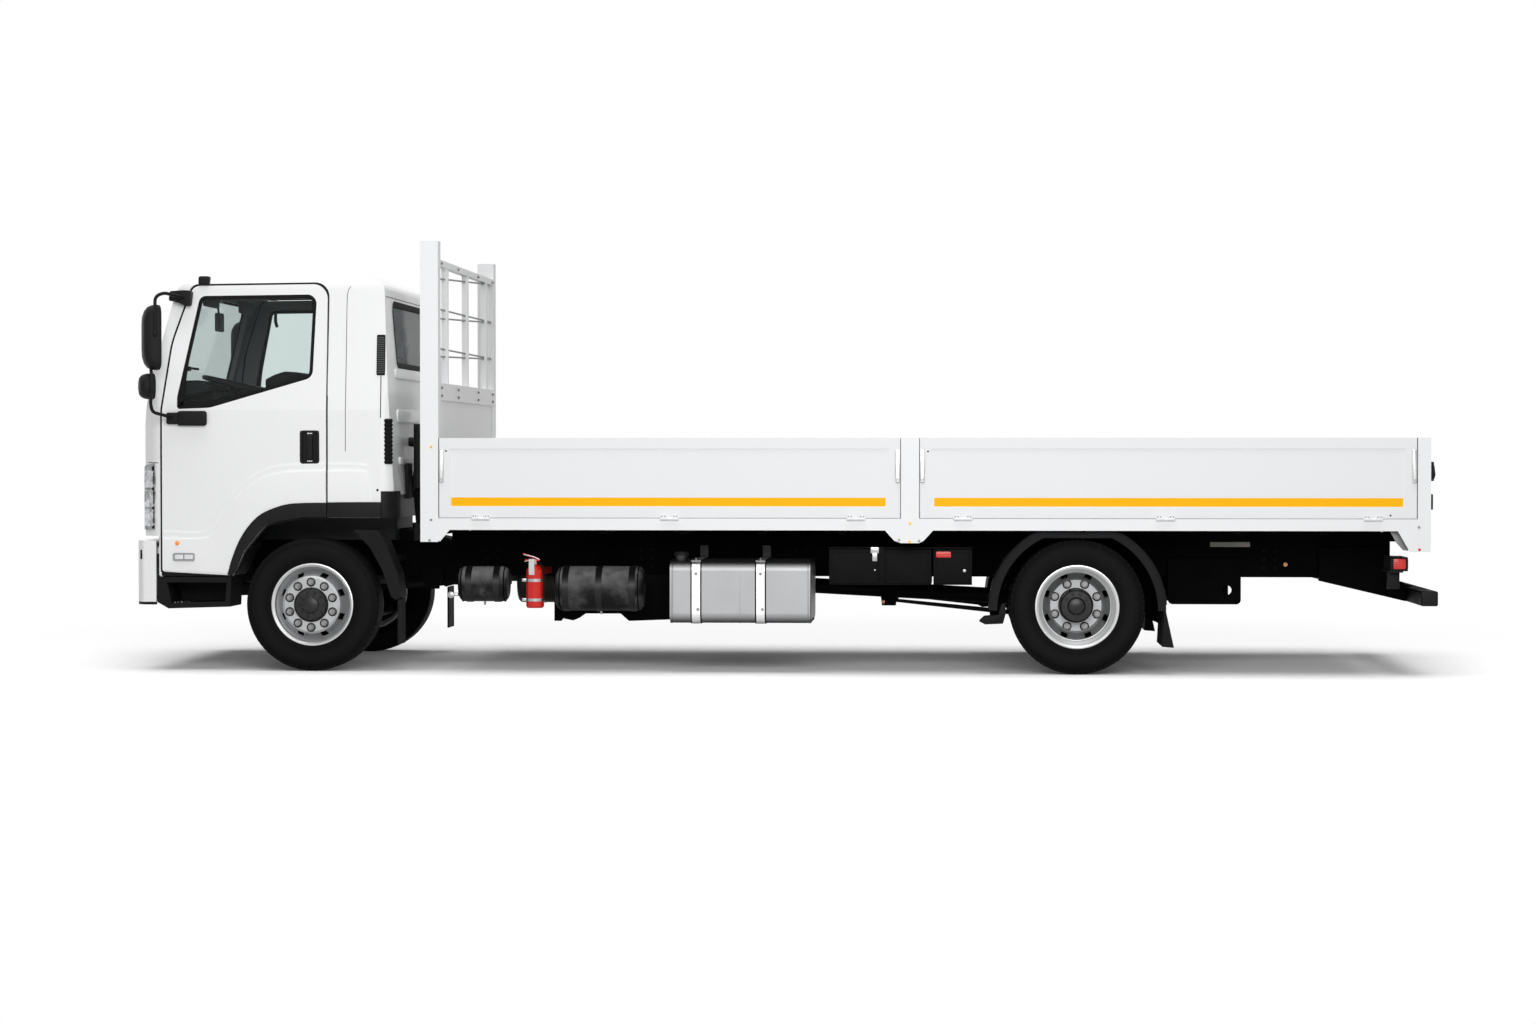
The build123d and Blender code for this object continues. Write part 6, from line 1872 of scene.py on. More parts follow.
@dataclass
class CabBack:
    """Corner louvres, hoses, window rubber, seam and pressed bands of the cab's back."""

    skin: Skin
    window: tuple[Flat, ...] = ((-0.69, 1.935), (0.69, 1.935), (0.77, 2.33), (-0.77, 2.33))
    bands: tuple[tuple[float, float], ...] = ((1.85, 1.915), (1.57, 1.655), (1.3, 1.35))
    slats: int = 20
    louvre_foot: float = 1.874
    louvre_high: float = 0.235

    def build(self) -> None:
        """Makes the back's pieces."""
        for side in Side:
            for label, form, finish in (
                    ("louvre_frame", self.louvre_frame(), Shop.seal_black),
                    ("louvre_slats", self.louvre_slats(), Shop.pillar_grey),
                    ("corner_bellows", self.bellows(), Shop.seal_black),
                    ("corner_plug", Form().lathe([(0.0, 0.003), (0.007, 0.002), (0.008, 0.0), (0.0, 0.0)],
                        (DATUM.ahead(-0.417), DATUM.cab_half, 1.141), "Y", 16), Shop.trim_black)):
                side.of(form).piece(f"{label}_{side.value}", "cab", finish, "plastic_black")
        self.rubber().piece("rear_window_rubber", "cab", Shop.seal_black, "rubber_black")
        self.pressings().piece("rear_pressings", "cab", Shop.cab_white, "white_paint")
        Form().slab(fine([(-0.985, 2.362), (0.985, 2.362), (0.985, 2.366), (-0.985, 2.366)], 0.1), -0.003,
            0.002, 0.0, self.skin.under(BACK_VIEW, -2.48), BACK_VIEW).piece("rear_roof_seam", "cab",
            Shop.seam_and_shade_grey, "rubber_black")
        self.hose().piece("cab_hose", "cab", Shop.trim_black, "rubber_black")

    @staticmethod
    def louvre_frame() -> Form:
        """The frame of the air louvre at the rear corner, with the thin strip below it."""
        outer = oblong(*ahead([(-0.463, 1.864), (-0.4095, 2.119)]), 0.006, 3)
        form = Form().slab(outer, -0.006, 0.0035, 0.001, side_of_cab)
        form.hoop(outer, grown(outer, -0.0045), 0.002, 0.007, 0.001, side_of_cab)
        rows = [1.596 + 0.027 * k for k in range(11)]
        return form.hoop([(DATUM.ahead(-0.435), z) for z in rows], [(DATUM.ahead(-0.44), z) for z in rows],
            -0.006, 0.002, 0.0, side_of_cab, closed=False)

    def louvre_slats(self) -> Form:
        """The louvre's slats."""
        x = DATUM.ahead(-0.436)
        step = self.louvre_high / self.slats
        heights = [self.louvre_foot + step * (k + 0.5) for k in range(self.slats)]
        places = [(x, DATUM.cab_side(z) + 0.0035, z) for z in heights]
        return Form().fixings(places, (0.0, 1.0, 0.0), (0.044, 0.0045, 0.006), Unit.BAR)

    def bellows(self) -> Form:
        """The ribbed rubber duct down the rear corner."""
        x = DATUM.ahead(-0.474)
        core = [(x - 0.024, 1.052), (x + 0.012, 1.052), (x + 0.02, 1.072), (x + 0.008, 1.0835),
            (x - 0.022, 1.076), (x - 0.034, 1.062)]
        swell = (-0.002, 0.004)
        return Form().sweep([[(a, b, 1.305 + 0.285 * k / 22) for a, b in grown(core, swell[k % 2])]
            for k in range(23)])

    def rubber(self) -> Form:
        """The rubber round the rear window."""
        outline = fine(rounded(self.window, 0.06, 6), 0.05)
        lift = self.skin.under(BACK_VIEW, -2.45)
        return Form().hoop(grown(outline, 0.016), grown(outline, -0.02), -0.006, 0.006, 0.0015, lift,
            view=BACK_VIEW)

    def pressings(self) -> Form:
        """The stiffening bands pressed across the back wall."""
        lift = self.skin.under(BACK_VIEW, -2.45)
        form = Form()
        for low, high in self.bands:
            form.slab(fine(oblong((-0.8, low), (0.8, high), (high - low) * 0.45, 5), 0.1), -0.002, 0.01, 0.005,
                lift, BACK_VIEW)
        return form

    @staticmethod
    def hose() -> Form:
        """The thick hose arched behind the cab, with its box."""
        x, y = DATUM.ahead(-0.585), 0.4
        path = bent([(x + 0.07, y, 1.09), (x + 0.04, y, 1.2), (x, y, 1.36), (x + 0.03, y, 1.44),
            (x + 0.088, y, 1.45)], 0.08, 6)
        form = Form().tube(path, 0.03, 16)
        for k in range(3, len(path) - 3, 3):
            form.tube([path[k], tuple(Vector(path[k]).lerp(Vector(path[k + 1]), 0.5))], 0.034, 16)
        return form.block((x + 0.055, y + 0.05, 1.08), (x + 0.088, y + 0.22, 1.31), 0.008)


@dataclass(frozen=True)
class Cushion:
    """A padded cushion, filled by a short cloth run and then drawn in along its channels."""

    name: str
    low: Point
    high: Point
    across: tuple[float, ...] = ()
    face: int = 2
    swell: float = 0.022
    voxel: float = 0.012
    edge: float = 0.045
    spare: float = 0.014
    slack: float = 0.004
    pressure: float = 4.0
    frames: int = 20
    channel_deep: float = 0.009
    channel_half: float = 0.01

    def build(self) -> None:
        """Makes the cushion."""
        spare = Vector((self.spare, self.spare, self.spare))
        low, high = Vector(self.low) + spare, Vector(self.high) - spare
        piece = Form().block(tuple(low), tuple(high), self.edge, 5).piece(self.name, "cab", Shop.seat_cloth,
            "seat_fabric", sharp=80.0)
        self._fill(piece)
        self._draw_in(piece)

    @staticmethod
    def _bake(piece: bpy.types.Object) -> None:
        """Turns the piece's live modifiers into its mesh.

        Args:
            piece: the cushion's object.
        """
        graph = bpy.context.evaluated_depsgraph_get()
        mesh = bpy.data.meshes.new_from_object(piece.evaluated_get(graph))
        piece.modifiers.clear()
        old, piece.data = piece.data, mesh
        bpy.data.meshes.remove(old)
        mesh.materials.clear()
        mesh.materials.append(Shop.seat_cloth.material())
        mesh.polygons.foreach_set("use_smooth", [True] * len(mesh.polygons))

    def _fill(self, piece: bpy.types.Object) -> None:
        """Fills the cushion with pressure.

        Args:
            piece: the cushion's object.
        """
        even = piece.modifiers.new("even", "REMESH")
        even.mode, even.voxel_size = "VOXEL", self.voxel
        self._bake(piece)
        before = [v.co.copy() for v in piece.data.vertices]
        cloth = piece.modifiers.new("fill", "CLOTH")
        cloth.settings.use_pressure = True
        cloth.settings.uniform_pressure_force = self.pressure
        cloth.settings.effector_weights.gravity = 0.0
        for frame in range(1, self.frames + 1):
            bpy.context.scene.frame_set(frame)
        self._bake(piece)
        for vertex, start in zip(piece.data.vertices, before):
            move = vertex.co - start
            if move.length > self.swell:
                vertex.co = start + move.normalized() * self.swell
            for axis in range(3):
                low, high = self.low[axis] - self.slack, self.high[axis] + self.slack
                vertex.co[axis] = min(max(vertex.co[axis], low), high)
        smooth = piece.modifiers.new("soft", "SUBSURF")
        smooth.levels = smooth.render_levels = 1
        self._bake(piece)
        bpy.context.scene.frame_set(1)

    def _draw_in(self, piece: bpy.types.Object) -> None:
        """Presses the sewn channels into the cushion's face.

        Args:
            piece: the cushion's object.
        """
        middle = (Vector(self.low) + Vector(self.high)) / 2
        for vertex in piece.data.vertices:
            rise = vertex.co[self.face] - middle[self.face]
            if rise > 0:
                pull = sum(math.exp(-((vertex.co.y - middle.y - line) / self.channel_half) ** 2)
                    for line in self.across)
                vertex.co[self.face] -= self.channel_deep * min(pull, 1.0)


@dataclass
class CabInside:
    """Seats, binnacle, handles and visors inside the cab."""

    driver: Flat = (0.56, 0.26)
    bench: Flat = (-0.54, 0.3)

    def build(self) -> None:
        """Makes the inside's pieces."""
        frames = Form()
        for name, (y, half) in (("driver", self.driver), ("bench", self.bench)):
            lines = (-half * 0.42, half * 0.42)
            Cushion(f"cushion_{name}", (2.56, y - half, 1.365), (3.179, y + half, 1.515), lines).build()
            Cushion(f"backrest_{name}", (2.572, y - half, 1.49), (2.705, y + half, 2.06), lines,
                face=0).build()
            Cushion(f"headrest_{name}", (2.572, y - 0.13, 2.09), (2.657, y + 0.13, 2.23), (), face=0,
                swell=0.014, edge=0.034).build()
            self._frame(frames, y, half)
        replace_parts(frames.piece("seat_frames", "cab", Shop.dash_grey, "plastic_black"), "seats")
        self.dash().piece("dash_details", "cab", Shop.dash_grey, "plastic_black")
        self.fittings().piece("cab_fittings", "cab", Shop.pillar_grey, "plastic_black")
        Form().tube(bent([(3.6, -0.935, 2.345), (3.6, -0.925, 2.29), (3.585, -0.91, 2.252)], 0.03), 0.011,
            10).tube(bent([(3.768, 0.995, 1.908), (3.735, 0.985, 1.914), (3.672, 0.975, 1.906)], 0.02),
            0.0075, 8).block((3.722, 0.972, 1.894), (3.752, 0.996, 1.924), 0.006).piece("pillar_grips", "cab",
            Shop.trim_black, "plastic_black")

    @staticmethod
    def _frame(form: Form, y: float, half: float) -> None:
        """Adds one seat's base, back shell, headrest stays and recliner knobs.

        Args:
            form: the form to add to.
            y: the seat's middle.
            half: half its width.
        """
        form.block((2.64, y - half + 0.05, 1.118), (3.08, y + half - 0.05, 1.3), 0.02, 3)
        form.block((2.6, y - half + 0.01, 1.295), (3.11, y + half - 0.01, 1.372), 0.018, 3)
        form.block((2.56, y - half + 0.03, 1.4), (2.58, y + half - 0.03, 2.04), 0.008)
        for s in (-1, 1):
            form.tube([(2.615, y + s * 0.06, 2.03), (2.615, y + s * 0.06, 2.11)], 0.007, 10)
            form.lathe([(0.0, 0.022), (0.026, 0.018), (0.034, 0.006), (0.034, 0.0), (0.0, 0.0)],
                (2.68, y + s * (half - 0.012) + (-0.018 if s < 0 else 0.0), 1.425), "Y", 20)

    @staticmethod
    def dash() -> Form:
        """The instrument binnacle, vents and stalks."""
        form = Form()
        hood = rounded([(-0.19, 0.0), (0.19, 0.0), (0.16, 0.085), (-0.16, 0.085)], 0.04, 5)
        form.slab([(0.56 + a, 1.782 + b * 0.6) for a, b in hood], 3.64, 3.8, 0.012, view=FRONT_VIEW)
        for y in (-0.8, -0.3, 0.12, 0.85):
            form.block((3.575, y - 0.055, 1.7), (3.6, y + 0.055, 1.765), 0.006)
        for y in (0.44, 0.68):
            form.tube([(3.56, 0.56, 1.8), (3.555, y, 1.812)], 0.007, 8)
        hump = rounded(ahead([(0.23, 1.13), (0.5, 1.13), (0.5, 1.862), (0.44, 1.892), (0.37, 1.914),
            (0.285, 1.908), (0.232, 1.88)]), (0.0, 0.0, 0.02, 0.05, 0.05, 0.04, 0.02), 5)
        form.slab(hump, -0.17, 0.17, 0.012)
        ridge = rounded([(3.6, 1.78), (3.9, 1.7), (3.87, 1.79), (3.78, 1.835), (3.69, 1.838), (3.64, 1.815)],
            0.02, 4)
        return form.slab(ridge, -0.9, 0.93, 0.01)

    @staticmethod
    def fittings() -> Form:
        """The inside mirror and the sun visors."""
        form = Form().block((3.756, -0.07, 2.182), (3.79, 0.07, 2.306), 0.012, 3)
        form.tube([(3.778, 0.0, 2.3), (3.782, 0.0, 2.345)], 0.007, 8)
        for y in (0.5, -0.5):
            form.slab(oblong((y - 0.2, 2.32), (y + 0.2, 2.4), 0.02, 4), 3.7, 3.716, 0.005, view=FRONT_VIEW)
        return form


@dataclass
class Mirrors:
    """The door's two rear-view mirrors, turned towards the driver, with their bent stay and brackets."""

    turn: float = 0.42
    stay: tuple[Point, ...] = ((0.8, 1.052, 2.352), (0.895, 1.27, 2.376), (0.937, 1.318, 2.35),
        (0.937, 1.319, 2.115), (0.972, 1.262, 2.06), (0.979, 1.262, 1.9), (0.962, 1.31, 1.86),
        (0.958, 1.314, 1.76), (0.974, 1.3, 1.69), (0.966, 1.28, 1.63), (0.88, 1.112, 1.598))
    top_clamp: tuple[Flat, ...] = ((0.766, 2.392), (0.776, 2.306), (0.8, 2.3), (0.85, 2.322), (0.905, 2.34),
        (0.907, 2.356), (0.864, 2.352), (0.864, 2.368), (0.907, 2.374), (0.902, 2.396), (0.82, 2.402),
        (0.78, 2.4))

    def build(self, side: Side) -> None:
        """Makes one side's mirrors.

        Args:
            side: which side.
        """
        door, name = f"door_{side.value}", side.value
        housing = side.of(self.housings()).piece(f"mirror_housings_{name}", door, Shop.trim_black,
            "plastic_black")
        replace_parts(housing, f"mirror_{name}")
        side.of(Form().tube(bent([(DATUM.ahead(x), y, z) for x, y, z in self.stay], 0.04, 5), 0.0108,
            12)).piece(f"mirror_stay_{name}", door, Shop.trim_black, "frame_black")
        side.of(self.glasses()).piece(f"mirror_glass_{name}", door, Shop.mirror_silver, "wheel_silver")

    def board(self) -> View:
        """The drawing board that a mirror's outline lies on."""
        c, s = math.cos(self.turn), math.sin(self.turn)
        return View((-s, c, 0.0), (0.0, 0.0, 1.0), (c, s, 0.0))

    def _shell(self, form: Form, x: float, y: float, size: Point, z: float, corner: float) -> None:
        """Adds one housing, which narrows towards the front.

        Args:
            form: the form to add to.
            x: its middle, ahead of the front axle.
            y: its middle, out from the truck's middle.
            size: its width, depth and height.
            z: its middle height.
            corner: the radius of its corners.
        """
        view = self.board()
        across = Vector((DATUM.ahead(x), y, 0.0))
        a, depth = across.dot(Vector(view.right)), across.dot(Vector(view.toward))
        wide, deep, high = (v / 2 for v in size)
        outline = oblong((a - wide, z - high), (a + wide, z + high), corner, 7)
        levels = [(-1.0, 0.955), (-0.94, 0.985), (-0.7, 1.0), (-0.1, 0.985), (0.35, 0.93), (0.7, 0.82),
            (0.92, 0.66), (1.0, 0.45)]
        form.stack(outline, [(depth + deep * at, scale) for at, scale in levels], view, (a, z))

    def housings(self) -> Form:
        """The two housings and the brackets that carry the stay."""
        form, a = Form(), DATUM.ahead
        self._shell(form, 0.984, 1.24, (0.168, 0.106, 0.41), 2.098, 0.06)
        self._shell(form, 1.014, 1.236, (0.15, 0.094, 0.164), 1.792, 0.07)
        form.slab(ahead(self.top_clamp), 1.022, 1.09, 0.006)
        form.block((a(0.845), 1.06, 2.332), (a(0.902), 1.118, 2.366), 0.01, 3)
        form.block((a(0.664), 1.0865, 1.546), (a(0.852), 1.13, 1.64), 0.022, 4)
        form.block((a(0.842), 1.087, 1.556), (a(0.92), 1.124, 1.63), 0.012, 3)
        return form.lathe([(0.0145, -0.014), (0.0145, 0.014), (0.01, 0.018), (0.01, -0.018)],
            (a(0.937), 1.318, 2.122), "Z", 16)

    def glasses(self) -> Form:
        """The mirror glasses, which look back."""
        form, view = Form(), self.board()
        for x, y, z, wide, high, deep, corner in ((0.984, 1.24, 2.098, 0.15, 0.388, 0.053, 0.052),
                (1.014, 1.236, 1.792, 0.132, 0.146, 0.047, 0.06)):
            across = Vector((DATUM.ahead(x), y, 0.0))
            a, depth = across.dot(Vector(view.right)), across.dot(Vector(view.toward)) - deep
            outline = oblong((a - wide / 2, z - high / 2), (a + wide / 2, z + high / 2), corner, 6)
            form.slab(outline, depth - 0.0012, depth + 0.003, 0.001, view=view)
        return form


# Load body


@dataclass
class LoadBody:
    """Latches, hinge rivets, bolts and post details of the boards and headboard."""

    skin: Skin
    latches: tuple[tuple[str, float], ...] = (("front_board", 2.083), ("front_board", -0.761),
        ("rear_board", -0.913), ("rear_board", -3.923))
    hinges: tuple[tuple[str, float], ...] = (("front_board", 1.835), ("front_board", 0.655),
        ("front_board", -0.503), ("rear_board", -1.164), ("rear_board", -2.407), ("rear_board", -3.672))
    zinc: tuple[Flat, ...] = ((2.149, 0.957), (2.159, 0.829), (-0.769, 0.836), (-0.893, 0.83),
        (-3.951, 0.919))
    gold: tuple[Flat, ...] = ((2.148, 1.412), (-0.837, 0.939), (-0.834, 0.825))
    red: tuple[Flat, ...] = ((-3.954, 0.782),)
    holes: tuple[tuple[str, Flat], ...] = (("front_board", (2.054, 1.387)), ("rear_board", (-0.948, 1.384)),
        ("rear_board", (-3.778, 0.991)))

    def build(self) -> None:
        """Makes both sides, then the tail."""
        for side in Side:
            name = side.value
            for board in ("front_board", "rear_board"):
                side.of(self.bars(board)).piece(f"{board}_latches_{name}", f"{board}_{name}",
                    Shop.bright_steel, "strap_steel")
                side.of(self.rivets(board)).piece(f"{board}_rivets_{name}", f"{board}_{name}", Shop.bolt_zinc,
                    "strap_steel")
                side.of(self.dark(board)).piece(f"{board}_holes_{name}", f"{board}_{name}", Shop.seal_black,
                    "rubber_black")
            for label, points, finish in (
                    ("zinc", self.zinc, Shop.bolt_zinc),
                    ("gold", self.gold, Shop.bolt_gold),
                    ("red", self.red, Shop.lamp_red)):
                side.of(Form().fixings(self.on(points), (0.0, 1.0, 0.0), (0.014, 0.014,
                    0.006))).piece(f"post_bolts_{label}_{name}", "chassis", finish, "strap_steel")
            side.of(Form().block((-4.0475, 1.12, 1.202), (-4.022, 1.182, 1.321),
                0.006).block((-4.043, 1.128, 1.026), (-4.022, 1.178, 1.122),
                0.006).tube([(-4.048, 1.151, 1.215), (-4.055, 1.151, 1.24), (-4.048, 1.151, 1.3)], 0.006,
                8)).piece(f"tail_catches_{name}", "tailboard", Shop.trim_black, "frame_black")
            # painted shade in the gaps between boards and posts
            side.of(self.gap_shade_strips()).piece(f"gap_shade_strips_{name}", "chassis", Shop.seam_and_shade_grey, "rubber_black")
            side.of(Form().slab([(-3.782, 0.897), (-3.852, 0.897), (-3.897, 0.806), (-3.897, 0.772),
                (-3.865, 0.777), (-3.823, 0.824)], 1.14, 1.148, 0.002)).piece(f"tail_strut_{name}", "chassis",
                Shop.rod_steel, "strap_steel")
        self.rods().piece("headboard_rods", "chassis", Shop.rod_steel, "strap_steel")
        self.rail_bolts().piece("headboard_bolts", "chassis", Shop.bolt_zinc, "strap_steel")
        Form().fixings([(-4.0232, -1.02 + 0.12 * k, 1.01) for k in range(18)], (-1.0, 0.0, 0.0),
            (0.01, 0.01, 0.005), Unit.RIVET).piece("tailboard_rivets", "tailboard", Shop.bolt_zinc,
            "strap_steel")

    def on(self, points: Iterable[Flat]) -> list[Point]:
        """Places on the body's side over flat points."""
        lift = self.skin.under(SIDE_VIEW, 1.225)
        return [(x, lift(x, z), z) for x, z in points]

    def bars(self, board: str) -> Form:
        """The bright over-centre latches at a board's ends.

        Args:
            board: the board's name.

        Returns:
            The latches.
        """
        form = Form()
        for name, x in self.latches:
            if name == board:
                outline = rounded([(x - 0.0125, 1.19), (x + 0.0125, 1.19), (x + 0.015, 1.3),
                    (x + 0.015, 1.397), (x - 0.015, 1.397), (x - 0.015, 1.3)],
                    (0.005, 0.005, 0.02, 0.008, 0.008, 0.02), 4)
                form.slab(outline, 1.224, 1.2385, 0.003)
                form.slab(grown(outline, -0.0055), 1.238, 1.2412, 0.0015)
                form.lathe([(0.0, 0.01), (0.006, 0.009), (0.008, 0.0), (0.0, 0.0)], (x, 1.2385, 1.212), "Y",
                    16)
        return form

    def rivets(self, board: str) -> Form:
        """Rivets in the hinge leaves of one board.

        Args:
            board: the board's name.

        Returns:
            The rivets.
        """
        places = [(x + s * gap, 1.2372, 0.981) for name, x in self.hinges if name == board for s in (-1, 1)
            for gap in (0.03, 0.047)]
        return Form().fixings(places, (0.0, 1.0, 0.0), (0.009, 0.009, 0.005), Unit.RIVET)

    def dark(self, board: str) -> Form:
        """Black discs on the small drilled holes in one board's rim: painted shade inside the holes."""
        places = [(x, 1.225, z) for name, (x, z) in self.holes if name == board]
        return Form().fixings(places, (0.0, 1.0, 0.0), (0.012, 0.012, 0.002), Unit.RIVET)

    @staticmethod
    def gap_shade_strips() -> Form:
        """Dark strips in the gaps between boards and posts: painted shade in the gaps."""
        form = Form()
        for x0, x1 in ((2.099, 2.1032), (-0.7812, -0.777), (-0.897, -0.8928), (-3.9432, -3.939)):
            form.block((x0, 1.196, 0.973), (x1, 1.2238, 1.467), 0.0004, 1)
        return form

    @staticmethod
    def rods() -> Form:
        """The steel rods across the headboard."""
        form = Form()
        for left, right in ((2.467, 2.551), (2.278, 2.29), (2.218, 2.286), (2.031, 2.036), (1.979, 2.032)):
            form.tube([(2.125, 1.124, left + 0.0001), (2.125, -1.124, right)], 0.0058, 10)
        return form

    @staticmethod
    def rail_bolts() -> Form:
        """Bolts through the headboard's rails."""
        places = [(2.105, y, z) for y in (-1.08, -0.42, 0.42, 1.08) for z in (1.735, 1.785, 2.565)]
        return Form().fixings(places, (-1.0, 0.0, 0.0), (0.018, 0.018, 0.008))


# Chassis


@dataclass
class ChassisDress:
    """Bands, lids, bolts, lamps and rims of what hangs on the frame."""

    skin: Skin
    tank: tuple[Flat, Flat] = ((0.5, 0.313), (1.15, 0.702))
    tank_straps: tuple[float, float] = (0.497, 0.094)
    lockers: tuple[float, ...] = (-0.323, -0.66, -0.974, -1.227)
    cross: tuple[float, ...] = (1.879, 0.879, -0.121, -1.111, -2.291, -3.121)
    rail_face: float = 0.4252

    def build(self) -> None:
        """Makes the chassis pieces."""
        for name, form, finish, slot in (
                ("fuel_strap_liners", self.liners(), Shop.seal_black, "rubber_black"),
                ("fuel_bolts", self.fuel_bolts(), Shop.bolt_zinc, "strap_steel"),
                ("fuel_cap", self.fuel_cap(), Shop.trim_black, "plastic_black"),
                ("fuel_seam", self.fuel_seam(), Shop.tank_aluminium, "tank_aluminium"),
                ("air_tank_rings", self.tank_rings(), Shop.frame_black, "frame_black"),
                ("air_tank_fittings", self.tank_fittings(), Shop.bright_steel, "strap_steel"),
                ("locker_lids", self.lids(), Shop.locker_black, "plastic_black"),
                ("locker_latches", self.locker_latches(), Shop.bright_steel, "strap_steel"),
                ("side_reflector", Form().slab(oblong((-1.09, 0.723), (-0.997, 0.76), 0.006, 4), 1.052, 1.062,
                    0.002), Shop.lamp_red, "lamp_red"),
                ("frame_plate", Form().slab(oblong((-2.998, 0.774), (-2.744, 0.805), 0.003, 3), 0.4245,
                    0.4275, 0.0008), Shop.label_grey, "strap_steel"),
                ("copper_bolts", Form().fixings([(-0.656, 0.462, 0.419), (-3.224, 0.4255, 0.662)],
                    (0.0, 1.0, 0.0), (0.022, 0.022, 0.01)), Shop.bolt_copper, "strap_steel"),
                ("extinguisher_head", self.extinguisher(), Shop.bright_steel, "strap_steel"),
                ("extinguisher_tag", Form().slab(oblong((1.511, 0.612), (1.546, 0.712), 0.004, 3), 1.1462,
                    1.1478, 0.0005), Shop.plate_white, "strap_steel"),
                ("extinguisher_hose", Form().tube(bent([(1.5, 1.104, 0.69), (1.462, 1.12, 0.67),
                    (1.448, 1.13, 0.56), (1.456, 1.128, 0.47)], 0.05, 6), 0.0075, 10), Shop.seal_black,
                    "rubber_black"),
                ("exhaust_bands", self.exhaust_bands(), Shop.bright_steel, "exhaust_steel"),
                ("tank_tray", Form().slab([(1.441, 0.6), (1.441, 0.302), (1.397, 0.302), (1.384, 0.318),
                    (1.32, 0.305), (1.281, 0.321), (1.24, 0.35), (1.015, 0.35), (0.962, 0.303), (0.7, 0.313),
                    (0.7, 0.6)], 0.69, 0.72, 0.003), Shop.frame_black, "frame_black"),
                ("bumper_lip", self.lip(), Shop.step_black, "plastic_black")):
            form.piece(name, "chassis", finish, slot)
        for side in Side:
            for label, form, finish, slot in (
                    ("rail_bolts", self.rail_bolts(), Shop.axle_black, "frame_black"),
                    ("spring_bolts", self.spring_bolts(), Shop.axle_black, "frame_black"),
                    ("guard_bead", self.guard_bead(), Shop.guard_black, "plastic_black"),
                    ("guard_wall", self.guard_wall(), Shop.frame_black, "plastic_black"),
                    ("guard_foot", Form().slab([(-1.264, 0.332), (-1.295, 0.362), (-1.385, 0.372),
                        (-1.402, 0.44), (-1.425, 0.44), (-1.43, 0.384), (-1.412, 0.318), (-1.301, 0.313)],
                        1.06, 1.186, 0.004), Shop.guard_black, "plastic_black"),
                    ("tail_lamp_lens", self.tail_lens(), Shop.lamp_red, "lamp_red"),
                    ("tail_lamp_clear", Form().slab(oblong((0.75, 0.655), (0.858, 0.716), 0.008, 4), 3.914,
                        3.922, 0.002, view=BACK_VIEW), Shop.lamp_clear, "lamp_clear"),
                    ("tail_lamp_bracket", Form().block((-3.876, 0.9, 0.528), (-3.8, 0.93, 0.645),
                        0.004).block((-3.89, 0.66, 0.632), (-3.8, 0.99, 0.642), 0.003), Shop.trim_black,
                        "frame_black"),
                    ("step_studs", Form().fixings([(DATUM.ahead(0.56 + 0.046 * k), y, 0.4275)
                        for k in range(8) for y in (1.055, 0.98, 0.9)], (0.0, 0.0, 1.0),
                        (0.013, 0.013, 0.012), Unit.RIVET), Shop.bright_steel, "strap_steel"),
                    ("bumper_slot", Form().slab(fine(oblong(*ahead([(1.085, 0.704), (1.103, 0.763)]), 0.003,
                        4), 0.01), -0.002, 0.0014, 0.0, self.skin.under(SIDE_VIEW, 1.05)), Shop.seal_black,
                        "plastic_black"),
                    ("fog_lamp_frame", self.fog_frame(), Shop.trim_black, "plastic_black"),
                    ("fog_lamp", Form().slab(grown(self.fog_outline(), -0.0115), -0.003, 0.002, 0.0,
                        self.skin.under(FRONT_VIEW, 4.05), FRONT_VIEW, rings=3), Shop.lamp_clear,
                        "lamp_clear"),
                    ("flap_bolts", Form().fixings([(-2.4105, 0.72 + 0.08 * k, 0.385) for k in range(6)],
                        (-1.0, 0.0, 0.0), (0.016, 0.016, 0.007)), Shop.bolt_zinc, "strap_steel"),
                    ("brake_chamber", Form().lathe([(0.0, -0.09), (0.06, -0.085), (0.072, -0.06),
                        (0.08, -0.03), (0.08, -0.022), (0.072, -0.015), (0.072, 0.05), (0.05, 0.075),
                        (0.0, 0.08)], (-2.06, 0.27, 0.42), "X", 32), Shop.axle_black, "frame_black"),
                    ("bar_end", Form().block((-4.076, 1.14, 0.435), (-3.978, 1.156, 0.521), 0.006),
                        Shop.trim_black, "plastic_black")):
                side.of(form).piece(f"{label}_{side.value}", "chassis", finish, slot)

    def liners(self) -> Form:
        """The rubber strips under the fuel tank's straps."""
        outline = oblong(*self.tank, 0.062, 8)
        form = Form()
        for x in self.tank_straps:
            form.hoop(grown(outline, 0.0035), grown(outline, -0.001), x - 0.0345, x + 0.0345, view=FRONT_VIEW)
        return form

    def fuel_bolts(self) -> Form:
        """Bolts of the fuel tank's straps."""
        y = self.tank[1][0] + 0.005
        places = [(x + dx, y, z) for x in self.tank_straps for dx, z in ((0.0, 0.622), (-0.012, 0.4))]
        form = Form().fixings(places, (0.0, 1.0, 0.0), (0.016, 0.016, 0.009))
        for x in self.tank_straps:
            form.tube([(x - 0.03, y - 0.014, 0.7), (x + 0.03, y - 0.014, 0.7)], 0.007, 10)
            form.tube([(x, y - 0.014, 0.69), (x, y - 0.014, 0.72)], 0.005, 8)
        return form

    @staticmethod
    def fuel_cap() -> Form:
        """The fuel filler's cap, with its grip ribs."""
        x, y = 0.594, 1.07
        form = Form().lathe([(0.0, 0.759), (0.03, 0.758), (0.04, 0.754), (0.0435, 0.747), (0.0435, 0.73),
            (0.0, 0.73)], (x, y, 0.0), "Z", 32)
        grip = Repeat(Unit.BAR, Layout.RING, 20, (0.006, 0.004, 0.018), radius=0.0435)
        return form.mesh_in(grip.mesh(Shop.trim_black), facing((x, y, 0.741), (0.0, 0.0, 1.0),
            (0.0, 1.0, 0.0)))

